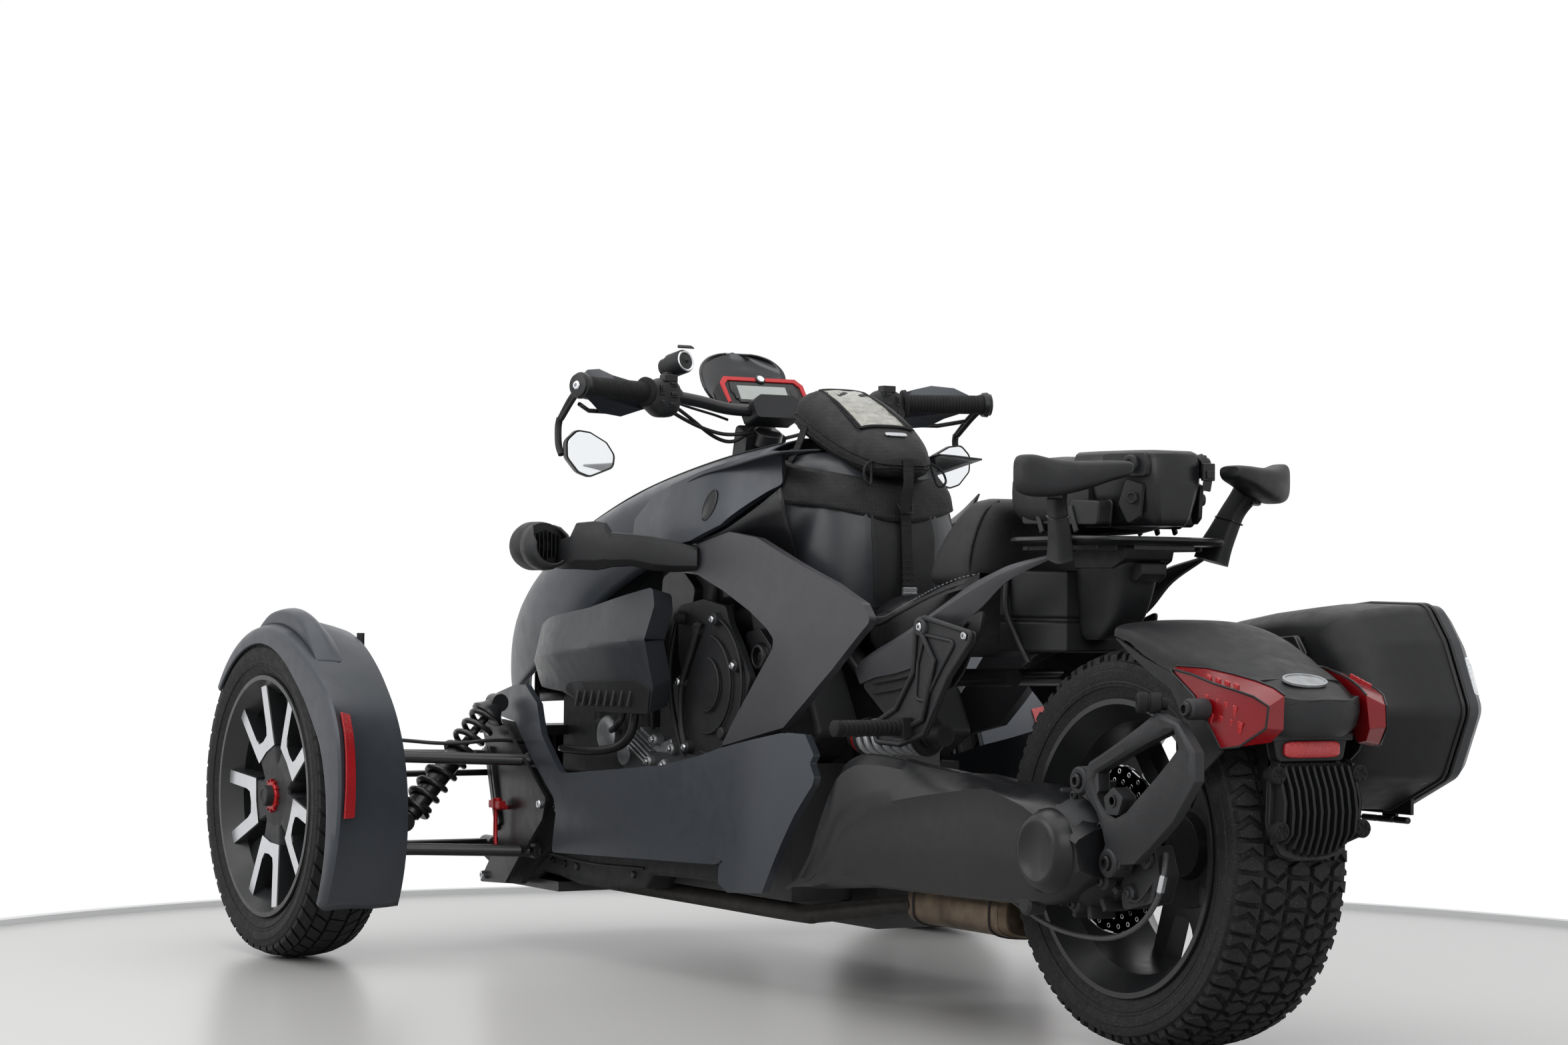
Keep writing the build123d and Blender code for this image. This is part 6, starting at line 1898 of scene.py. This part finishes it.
def drive_housing():
    """The long moulded cover of the driven side, with its creases, end boss and gear casting."""
    sections = []
    for k in range(44):
        y = 137 + (930 - 137) * k / 43
        top, crease, foot = (smooth_table(y, HOUSING_TOP), table(y, HOUSING_CREASE), table(y, HOUSING_FOOT))
        out = table(y, HOUSING_X)
        inner = 184 if y < 622 else table(y, ((622, 154), (700, 154), (740, 118), (930, 118)))
        mid = (crease + foot) / 2
        ring = [(inner, top - 10), (inner + 8, top - 1), ((inner + out) / 2, top + 1), (out - 34, top - 1),
                (out - 18, top - 6 - (top - crease) * 0.1), (out - 5, crease + (top - crease) * 0.35),
                (out, crease + 2), (out - 2.5, crease - 7), (out - 3, (crease + mid) / 2), (out - 4, mid),
                (out - 8, foot + (mid - foot) * 0.45), (out - 20, foot + 6), (out - 36, foot),
                (inner, foot)]
        sections.append([(x, y, z) for x, z in ring])
    loft("drive_cover", sections, *TRIM_SMOOTH, nodes=("drive_housing",), angle=30)
    bm = bmesh.new()
    turn_profile(bm, (222, REAR_Y + 6, REAR_R), ACROSS,
                 [(0, 62), (12, 60), (20, 54), (25, 50), (27, 44), (27, 41), (24.5, 38), (24.5, 0)], 64)
    piece("drive_boss", bm, *TRIM_SMOOTH, angle=40)
    bm = bmesh.new()
    turn_profile(bm, (116, REAR_Y, REAR_R), ACROSS, [(0, 84), (6, 90), (26, 90), (34, 84), (48, 82),
                                                     (62, 74), (96, 66), (104, 58)], 56)
    for k in range(16):
        a = tau * k / 16 + 0.2
        away = Vector((0, cos(a), sin(a)))
        box(bm, Vector((140, REAR_Y, REAR_R)) + away * 86, (44, 9, 30), Matrix.Rotation(a - pi / 2, 3, "X"))
    for k in range(6):
        a = tau * k / 6 + 0.5
        spot = Vector((158, REAR_Y + 78 * cos(a), REAR_R + 78 * sin(a)))
        turn_profile(bm, spot, ACROSS, [(0, 13), (14, 13), (18, 10)], 20)
        bolt(bm, spot + Vector((18, 0, 0)), ACROSS, 7.5, 6)
    for y, z in ((776, 352), (786, 238), (800, 214)):
        turn_profile(bm, (196, y, z), ACROSS, [(0, 16), (26, 16), (30, 12), (30, 0)], 20)
    piece("final_drive_casting", bm, *CASTING, bevel=1.5)
    bm = bmesh.new()
    side_block(bm, rounded([(940, 214), (1010, 230), (1026, 270), (1010, 312), (968, 300),
                            (934, 250)], 10), 118, 34)
    for y, z in ((962, 240), (1000, 290)):
        turn_profile(bm, (150, y, z), ACROSS, [(0, 13), (8, 13), (10, 10)], 20)
        bolt(bm, (160, y, z), ACROSS, 7, 4)
    piece("rear_caliper", bm, *CASTING, bevel=2)
    tube("brake_hose", [(168, 690, 208), (160, 702, 199), (152, 760, 176), (150, 830, 168), (150, 910, 170),
                        (152, 977, 192), (154, 1018, 226), (154, 1034, 254), (150, 1036, 284),
                        (140, 1024, 300)], 4.0, "root", "frame_black", HOSE)
    tube("sensor_wire", [(156, 958, 244), (160, 968, 232), (160, 986, 230), (158, 1000, 242),
                         (150, 1010, 262)], 2.2, *HOSES)
    for k, (low, high) in enumerate((((154, 1030, 246), (152, 1036, 272)),
                                     ((150, 948, 248), (156, 962, 240)))):
        bm = bmesh.new()
        run = Vector(high) - Vector(low)
        turn_profile(bm, low, run.normalized(), [(0, 5), (2, 6.5), (run.length - 2, 6.5), (run.length, 5)],
                     6)
        piece(f"hose_union_{k}", bm, *BRIGHT, bevel=0.4, angle=30)


BEAM_RING = (((905, 424), (929, 411)), ((935, 437), (958, 422)), ((975, 456), (1000, 440)),
             ((1020, 478), (1050, 459)), ((1062, 500), (1090, 472)), ((1112, 486), (1104, 478)),
             ((1150, 448), (1112, 452)), ((1150, 408), (1092, 434)), ((1100, 350), (1060, 408)),
             ((1050, 312), (1022, 380)), ((1012, 286), (994, 358)), ((976, 282), (968, 348)),
             ((950, 300), (946, 356)), ((944, 322), (934, 366)), ((926, 352), (926, 376)),
             ((900, 372), (922, 390)), ((888, 396), (922, 402)))


def fender_carrier():
    """A-shaped cast bracket from the final drive to the tail, with its bolts and rubber stop."""
    bm = bmesh.new()
    rows = []
    for x, part, grow in ((170, 0, 0.0), (187, 0, 0.0), (191, 0, 0.22), (191, 1, -0.22), (187, 1, 0.0),
                          (170, 1, 0.0)):
        rows.append([(x, *(Vector(pair[part]).lerp(Vector(pair[1 - part]), abs(grow))))
                     for pair in BEAM_RING])
    grid_faces(bm, rows, close_rows=True, close_columns=True)
    bmesh.ops.recalc_face_normals(bm, faces=bm.faces)
    piece("carrier_frame", bm, *CASTING, nodes=("fender_bracket",), bevel=1.6)
    bm = bmesh.new()
    for y, z in ((884, 396), (956, 284)):
        turn_profile(bm, (160, y, z), ACROSS, [(0, 21), (30, 21), (33, 18), (33, 12), (31, 11.5), (31, 0)],
                     32)
    side_block(bm, [(884, 376), (912, 366), (930, 384), (926, 420), (886, 417)], 168, 20)
    side_block(bm, [(946, 268), (978, 276), (988, 300), (952, 320), (938, 296)], 168, 20)
    side_block(bm, rounded([(950, 352), (978, 352), (990, 378), (966, 392), (944, 376)], 6), 166, 24)
    turn_profile(bm, (140, 1112, 506), ACROSS, [(0, 15), (30, 15), (33, 12), (33, 0)], 28)
    piece("carrier_hubs", bm, *CASTING, bevel=1.2)
    bm = bmesh.new()
    for y, z in ((884, 396), (956, 284), (1112, 506)):
        turn_profile(bm, (191 if y < 1100 else 172, y, z), ACROSS,
                     [(0, 10.5), (5, 10.5), (6.5, 9), (6.5, 6), (2, 5.4), (2, 0)], 28)
    turn_profile(bm, (188, 966, 372), ACROSS, [(2, 9), (4, 9), (4, 6), (0, 5)], 24)
    piece("carrier_bolts", bm, "root", "castings_black", SMOOTH, angle=30)
    bm = bmesh.new()
    start, run = Vector((176, 1056, 512)), Vector((0.86, -0.5, 0.05)).normalized()
    turn_profile(bm, start, run, [(-10, 9), (-2, 9), (0, 15), (14, 15), (15, 12.6), (18, 12.6), (19, 15),
                                  (30, 15), (33, 12), (33, 7), (31, 6), (31, 0)], 32)
    piece("carrier_stop", bm, "root", "grip_rubber", GRIP, angle=40)


FENDER_START_Y = 866
FENDER_CROWN = ((866, 626), (885, 628), (920, 627), (960, 621), (1000, 607), (1051, 585), (1103, 562),
                (1140, 548))
FENDER_EDGE = ((866, 604), (905, 596), (940, 578), (980, 563), (1010, 553), (1140, 541))
FENDER_HALF = ((866, 116), (900, 119), (1000, 120), (1050, 108), (1100, 86), (1140, 76))


def rear_fender():
    """Domed fender: a full crown whose sides roll down to a cut edge, closing onto the tail piece."""
    rows = []
    for k in range(34):
        y = FENDER_START_Y + (1140 - FENDER_START_Y) * k / 33
        crown, edge, half = (smooth_table(y, FENDER_CROWN), table(y, FENDER_EDGE), table(y, FENDER_HALF))
        row = []
        for j in range(-12, 13):
            u = j / 12
            x = half * sin(pi / 2 * u)
            drop = 1 - (1 - abs(u) ** 2.1) ** (1 / 1.9)
            row.append((x, y, crown + (edge - crown) * drop))
        rows.append(row)
    skin("rear_fender_dome", rows, *TRIM, across=34, along=49, thick=4, bevel=0.8,
         nodes=("rear_fender",), angle=50)


def tail():
    """Tail piece between the lights, its skirts, bare oval plate, tongue and reflector."""
    top = [[(-104, 1034, 574), (-92, 1100, 553), (-80, 1150, 533), (-66, 1192, 512)],
           [(-60, 1030, 584), (-56, 1100, 562), (-52, 1150, 541), (-46, 1201, 518)],
           [(0, 1028, 590), (0, 1100, 566), (0, 1150, 545), (0, 1207, 521)],
           [(60, 1030, 584), (56, 1100, 562), (52, 1150, 541), (46, 1201, 518)],
           [(104, 1034, 574), (92, 1100, 553), (80, 1150, 533), (66, 1192, 512)]]
    skin("tail_top", top, *TRIM, across=25, along=25, thick=5, nodes=("tail_cover",),
         bevel=0.8, angle=40)
    rows = []
    for z, grow, back in ((521, 1.0, 1.0), (500, 1.02, 1.0), (480, 1.0, 0.995), (468, 0.93, 0.985)):
        left = [(0, 1207), (46, 1201), (68, 1190), (84, 1150), (96, 1100)]
        ring = [(x * grow, y * back, z + (4 if y < 1195 else 0)) for x, y in left]
        rows.append([(-x, y, z) for x, y, z in reversed(ring[1:])] + ring)
    sheet("tail_rear_face", rows, *TRIM, thick=5, bevel=1.2, angle=40)
    bm = bmesh.new()
    outline_block(bm, rounded([(-68, 476), (-58, 434), (58, 434), (68, 476)], 9),
                  (0, 1152, 0), ACROSS, UPWARDS, (0, 16, 0))
    box(bm, (0, 1140, 468), (150, 60, 10))
    piece("tail_tongue", bm, *TRIM, bevel=2)
    bm = bmesh.new()
    reflex = upright_loop((0, 1168, 451), 49, 11.5, 5, 36)
    rows = [reflex, [(x, y + 4, z) for x, y, z in reflex],
            [(x * 0.95, y + 5.5, 451 + (z - 451) * 0.8) for x, y, z in reflex]]
    closed_form(bm, rows)
    bmesh.ops.recalc_face_normals(bm, faces=bm.faces)
    piece("tail_reflector", bm, "root", "lens_red", RED_REFLEX, angle=40)
    bm = bmesh.new()
    lean = Vector((0, 0.92, -0.40))
    oval = superellipse((0, 1154, 544.5), ACROSS, lean, 37, 20, 20, 2.1, 48)
    rows = [oval, [tuple(Vector(p) + Vector((0, 1.2, 3.0))) for p in oval]]
    inner = superellipse((0, 1155, 547.6), ACROSS, lean, 33.5, 17, 17, 2.1, 48)
    rows += [inner, [tuple(Vector(p) + Vector((0, -0.4, -1.2))) for p in inner]]
    closed_form(bm, rows)
    bmesh.ops.recalc_face_normals(bm, faces=bm.faces)
    piece("tail_oval_plate", bm, "root", "castings", CAST, angle=40)
    for hand in (1, -1):
        outline = [(868, 604), (905, 590), (945, 573), (1010, 553), (1034, 536), (1090, 516), (1127, 504),
                   (1150, 486), (1127, 446), (1082, 412), (1050, 404), (1040, 430), (1040, 490),
                   (1010, 530), (960, 552), (920, 572)]
        panel("fender_skirt", outline, lambda y, z: 121 + 0.03 * (560 - z), 4, *TRIM, grid=22, corner=7,
              side=hand, bevel=1)


def tail_light(hand):
    """A facetted red lens on the fender's corner, with lamp cells behind it and a thin black surround."""
    stations = (((134, 1026, 560), (126, 1028, 563), (126, 1034, 556), (135, 1034, 553)),
                ((136, 1078, 553), (106, 1072, 561), (110, 1078, 530), (139, 1086, 524)),
                ((132, 1124, 541), (94, 1118, 553), (98, 1124, 484), (138, 1118, 484)),
                ((124, 1160, 533), (84, 1154, 545), (92, 1160, 458), (136, 1142, 452)),
                ((114, 1186, 525), (76, 1182, 536), (84, 1186, 462), (124, 1168, 456)),
                ((103, 1205, 512), (72, 1200, 526), (76, 1203, 480), (106, 1203, 482)))
    loft("tail_lens", [list(s) for s in stations], "root", "lens_red", RED_LENS, side=hand,
         nodes=("tail_lights",) if hand > 0 else (), bevel=1.2, angle=20)
    bm = bmesh.new()
    for low, high in (((128, 1098, 546), (116, 1150, 534)), ((134, 1100, 520), (124, 1156, 504)),
                      ((136, 1112, 494), (122, 1166, 482))):
        for t in (0.1, 0.4, 0.7, 1.0):
            spot = Vector(low).lerp(Vector(high), t)
            box(bm, spot + Vector((1.6, 0, 0)), (3, 11, 17), tilted(-18))
    piece("tail_cells", bm, "root", "lens_red", RED_REFLEX, side=hand, bevel=1)
    bm = bmesh.new()
    edge = [s[0] for s in stations] + [stations[-1][3]] + [s[3] for s in reversed(stations[:-1])]
    wire(bm, [(x + 1.4, y, z) for x, y, z in edge] + [(edge[0][0] + 1.4, edge[0][1], edge[0][2])], 1.8, 6)
    wire(bm, [(s[1][0], s[1][1], s[1][2] + 1) for s in stations], 1.6, 6)
    piece("tail_surround", bm, *TRIM_SMOOTH, side=hand, angle=50)


def plate_holder():
    """Ribbed plate behind the wheel with knurled mounts."""
    bm = bmesh.new()
    back = rounded([(-74, 430), (74, 430), (76, 346), (54, 306), (26, 298), (-26, 298), (-54, 306),
                    (-76, 346)], 12)
    outline_block(bm, back, (0, 1158, 0), ACROSS, (0, 0.02, 1), (0, 7, 0))
    piece("plate_back", bm, *TRIM, nodes=("plate_holder",), bevel=1.5)
    bm = bmesh.new()
    for k in range(10):
        x = -56 + k * 12.4
        low = 300 + 22 * abs(x / 60) ** 2.4
        side = [(1164, 432), (1182, 428), (1196, 396), (1201, 366), (1198, 336), (1186, low + 6),
                (1164, low)]
        side_block(bm, side, x - 1.8, 3.6)
    for hand in (1, -1):
        side_block(bm, [(1164, 436), (1180, 432), (1196, 380), (1192, 330), (1164, 320)], hand * 66 - 2, 4)
    piece("plate_ribs", bm, *TRIM, bevel=1)
    bm = bmesh.new()
    for hand in (1, -1):
        for z, y in ((417, 1164), (341, 1172)):
            turn_profile(bm, (hand * 72, y, z), REARWARDS,
                         [(0, 9), (12, 9), (14, 13), (24, 13), (26, 11.5), (26, 5), (24, 4), (24, 0)], 24)
            for k in range(6):
                a = tau * k / 6
                box(bm, (hand * 72 + 8.4 * cos(a), y + 26, z + 8.4 * sin(a)), (3.6, 4, 3.6))
    piece("plate_mounts", bm, "root", "grip_rubber", GRIP, bevel=0.8)
    bm = bmesh.new()
    for hand in (1, -1):
        side_block(bm, [(1110, 470), (1164, 474), (1164, 330), (1150, 330), (1128, 400)], hand * 52 - 3, 6)
    box(bm, (0, 1146, 400), (110, 8, 120))
    piece("plate_carrier", bm, *TRIM, bevel=1.5)


def exhaust():
    """Silencer under the engine, of scorched steel, with welded seams, and the header pipe that runs to it.
    """
    rows = []
    for y, grow in ((290, 0.86), (298, 0.97), (312, 1.0), (420, 1.0), (538, 1.0), (552, 0.97), (560, 0.9)):
        rows.append(upright_loop((-33, y, 170), 137 * grow, 38 * grow, 4, 44))
    loft("muffler_shell", rows, "root", "muffler_steel", EXHAUST, along=26, nodes=("muffler",), angle=40)
    bm = bmesh.new()
    for y in (318, 532):
        ring = upright_loop((-33, y, 170), 137.6, 38.6, 4, 44)
        wire(bm, ring + [ring[0]], 2.2, 6)
    wire(bm, curve_through([(150, -640, 134), (150, -300, 134), (150, 40, 134), (140, 96, 138),
                            (104, 240, 160), (90, 300, 168)], 60), 15.6, 18)
    piece("header_pipe", bm, "root", "muffler_steel", SOOTY, angle=50)


drive_housing()
fender_carrier()
rear_fender()
tail()
plate_holder()
exhaust()
for hand in (1, -1):
    tail_light(hand)


# ---- side case ----------------------------------------------------------------------------

CASE = ((605, 612), (700, 632), (795, 646), (896, 656), (1020, 654), (1060, 600), (1104, 500), (1060, 400),
        (940, 344), (800, 380), (660, 470), (606, 560))
CASE_MIDDLE = Vector((850, 505))


def case_place(x, y, z, grow):
    """A place at x whose distance from the case's middle line is scaled."""
    return x, CASE_MIDDLE.x + (y - CASE_MIDDLE.x) * grow, CASE_MIDDLE.y + (z - CASE_MIDDLE.y) * grow


def case_ring(x, grow):
    """The case outline at x, scaled about its middle, with rounded corners."""
    return [case_place(x, y, z, grow) for y, z in rounded(CASE, 34, 6)]


def case_shell(name, stations, body, slot, look, node):
    """One half of the case: a closed outer form from the seam to its rounded outer or inner face."""
    loft(name, [case_ring(*s) for s in stations], body, slot, look, nodes=(node,), angle=32)


def side_case():
    """A hard case in two shells: black body, grey lid, double seam band and a ribbed clear reflector."""
    case_shell("case_body_shell", ((-342, 0.992), (-336, 0.995), (-290, 0.985), (-240, 0.95), (-210, 0.90),
                                   (-190, 0.82), (-182, 0.75), (-180, 0.66)), "root", "case_shell", PLASTIC,
               "case_body")
    case_shell("case_lid_shell", ((-351, 0.992), (-358, 0.996), (-372, 0.99), (-398, 0.90), (-422, 0.79),
                                  (-440, 0.70), (-448, 0.62)), "side_case_lid", "case_shell", CASE_GREY,
               "case_lid")
    for name, x, body, look in (("case_seam_body", -341, "root", SMOOTH),
                                ("case_seam_lid", -352, "side_case_lid", SMOOTH)):
        bm = bmesh.new()
        ring = case_ring(x, 0.994)
        wire(bm, ring + [ring[0], ring[1]], 3.6, 8)
        piece(name, bm, body, "case_shell", look, angle=50)
    rows = [[case_place(x, y, z, out) for y, z in ((1071, 576), (1084, 545), (1092, 524))]
            for x, out in ((-371, 0.995), (-374, 0.990), (-420, 0.806), (-423, 0.79))]
    sheet("case_reflector", rows, "side_case_lid", "lens_clear", CLEAR_REFLEX, thick=3, offset=0, bevel=0.8)
    bm = bmesh.new()
    for k in range(9):
        t = k / 8
        y, z = 1071 + 21 * t, 576 - 52 * t
        wire(bm, [case_place(-374, y, z, 0.994), case_place(-420, y, z, 0.81)], 1.6, 6)
    piece("case_reflector_ribs", bm, "side_case_lid", "lens_clear", CLEAR_REFLEX, angle=50)
    bm = bmesh.new()
    crease = [(-196, 700, 600), (-214, 820, 606), (-226, 930, 590), (-232, 990, 540), (-228, 1020, 470),
              (-222, 1000, 410)]
    wire(bm, curve_through(crease, 40), 2.2, 6)
    piece("case_body_crease", bm, "root", "case_shell", PLASTIC, angle=60)
    bm = bmesh.new()
    for y in (876, 948):
        turn_profile(bm, (-345, y, 332), REARWARDS, [(0, 5), (30, 5)], 20)
    box(bm, (-342, 925, 354), (6, 130, 26))
    box(bm, (-334, 1030, 392), (30, 22, 8), tilted(24))
    piece("case_hinge_body", bm, "root", "case_shell", SMOOTH, bevel=0.8)
    bm = bmesh.new()
    turn_profile(bm, (-345, 911, 332), REARWARDS, [(0, 5), (32, 5)], 20)
    box(bm, (-354, 927, 344), (6, 30, 26))
    turn_profile(bm, (-447, 850, 545), (-1, 0, 0), [(0, 13), (0.6, 13), (0.8, 10), (0.2, 9)], 32)
    piece("case_hinge_lid", bm, "side_case_lid", "case_shell", SMOOTH, bevel=0.8)
    bm = bmesh.new()
    for y, z in ((730, 560), (900, 590), (900, 430)):
        turn_profile(bm, (-172, y, z), (-1, 0, 0), [(0, 12), (12, 12), (16, 9)], 20)
    side_block(bm, rounded([(640, 560), (730, 590), (930, 606), (950, 580), (900, 410),
                            (876, 420), (880, 556), (740, 530), (650, 530)], 9), -172, 8)
    piece("case_rack", bm, "root", "frame_black", FRAME_BLACK, bevel=2)


side_case()


# ---- stage --------------------------------------------------------------------------------


def show_instead(nodes, links, lit, shown, output):
    """The camera, reflections and glass see one shader; the light that falls on things is the other's."""
    path = nodes.new("ShaderNodeLightPath")
    pick = nodes.new("ShaderNodeMixShader")
    seen = greatest(nodes, links, [path.outputs[f"Is {kind} Ray"]
                                   for kind in ("Camera", "Glossy", "Transmission")])
    for source, target in zip((seen, lit.outputs[0], shown.outputs[0]), pick.inputs):
        links.new(source, target)
    links.new(pick.outputs[0], output.inputs["Surface"])


def flat_look(name, colour, rough, shown=None, shine=0.5):
    """A stage surface. shown is how bright the camera and reflections see it."""
    material = bpy.data.materials.new(name)
    material.use_nodes = True
    nodes, links = material.node_tree.nodes, material.node_tree.links
    shader = nodes["Principled BSDF"]
    shader.inputs["Base Color"].default_value = (*colour, 1)
    shader.inputs["Roughness"].default_value = rough
    shader.inputs["Specular IOR Level"].default_value = shine
    if shown is not None:
        glow = nodes.new("ShaderNodeEmission")
        glow.inputs["Color"].default_value = (shown, shown, shown, 1)
        show_instead(nodes, links, shader, glow, nodes["Material Output"])
    return material


DISC = 1.9
STEPS_ROUND = 128


def make_stage():
    """A round pale floor with a low rim, and white ground beyond it."""
    bm = bmesh.new()
    bmesh.ops.create_circle(bm, cap_ends=True, radius=DISC, segments=STEPS_ROUND)
    mesh = bpy.data.meshes.new("floor")
    bm.to_mesh(mesh)
    bm.free()
    floor = bpy.data.objects.new("floor", mesh)
    mesh.materials.append(flat_look("pale_floor", (0.50, 0.49, 0.475), 0.28, shine=0.35))
    bm = bmesh.new()
    rows = []
    for radius, z in ((DISC, 0.0), (DISC, 0.012), (DISC + 0.03, 0.012), (DISC + 0.03, -0.002),
                      (6.0, -0.002)):
        rows.append([bm.verts.new((radius * cos(tau * i / STEPS_ROUND), radius * sin(tau * i / STEPS_ROUND),
                                   z)) for i in range(STEPS_ROUND)])
    for k, (low, high) in enumerate(zip(rows, rows[1:])):
        for i in range(STEPS_ROUND):
            j = (i + 1) % STEPS_ROUND
            bm.faces.new((low[i], low[j], high[j], high[i])).material_index = int(k == 3)
    rim_mesh = bpy.data.meshes.new("surround")
    bm.to_mesh(rim_mesh)
    bm.free()
    rim_mesh.materials.append(flat_look("rim_grey", (0.66, 0.66, 0.66), 0.5))
    rim_mesh.materials.append(flat_look("white_surround", (0.7, 0.7, 0.7), 0.8, shown=1.0))
    surround = bpy.data.objects.new("surround", rim_mesh)
    for obj in (floor, surround):
        bpy.context.scene.collection.objects.link(obj)


def area_light(name, place, aim, size, power):
    """A rectangular light at place, turned towards aim."""
    data = bpy.data.lights.new(name, "AREA")
    data.shape = "RECTANGLE"
    data.size, data.size_y = size
    data.energy = power
    lamp = bpy.data.objects.new(name, data)
    lamp.location = place
    lamp.rotation_euler = (Vector(aim) - Vector(place)).to_track_quat("-Z", "Y").to_euler()
    bpy.context.scene.collection.objects.link(lamp)


def make_light():
    """Even white surroundings and broad soft panels overhead."""
    world = bpy.data.worlds.new("studio")
    bpy.context.scene.world = world
    world.use_nodes = True
    nodes, links = world.node_tree.nodes, world.node_tree.links
    surround = nodes["Background"]
    surround.inputs["Color"].default_value = (0.93, 0.96, 1.0, 1)
    surround.inputs["Strength"].default_value = 0.62
    white = nodes.new("ShaderNodeBackground")
    white.inputs["Color"].default_value = (1, 1, 1, 1)
    show_instead(nodes, links, surround, white, nodes["World Output"])
    area_light("overhead", (0.4, 0.2, 3.6), (0, 0, 0.4), (4.5, 4.5), 75)
    area_light("left_panel", (3.6, -0.6, 2.2), (0, 0, 0.5), (3.0, 2.0), 46)
    area_light("rear_panel", (1.2, 3.9, 2.4), (0, 0, 0.5), (3.0, 1.6), 34)


CAMERA_PLACE = (2.9516, 4.7007, 0.6434)
CAMERA_YAW, CAMERA_PITCH, CAMERA_ROLL = 30.507, 1.437, 0.605
FOCAL_SHARE = 4935.1 / 2352
SENSOR = 36


def make_camera():
    """A camera behind the machine on its left, turned by yaw, pitch and a slight roll."""
    yaw, pitch, roll = (radians(a) for a in (CAMERA_YAW, CAMERA_PITCH, CAMERA_ROLL))
    look = Vector((-sin(yaw) * cos(pitch), -cos(yaw) * cos(pitch), sin(pitch)))
    right = look.cross(Vector(UPWARDS)).normalized()
    up = right.cross(look)
    right, up = right * cos(roll) + up * sin(roll), up * cos(roll) - right * sin(roll)
    data = bpy.data.cameras.new("camera")
    data.sensor_width = SENSOR
    data.lens = FOCAL_SHARE * SENSOR
    camera = bpy.data.objects.new("camera", data)
    camera.matrix_world = Matrix((
        (right.x, up.x, -look.x, CAMERA_PLACE[0]), (right.y, up.y, -look.y, CAMERA_PLACE[1]),
        (right.z, up.z, -look.z, CAMERA_PLACE[2]), (0, 0, 0, 1)))
    bpy.context.scene.collection.objects.link(camera)
    bpy.context.scene.camera = camera


make_stage()
make_light()
make_camera()
bpy.context.scene.view_settings.view_transform = "Standard"
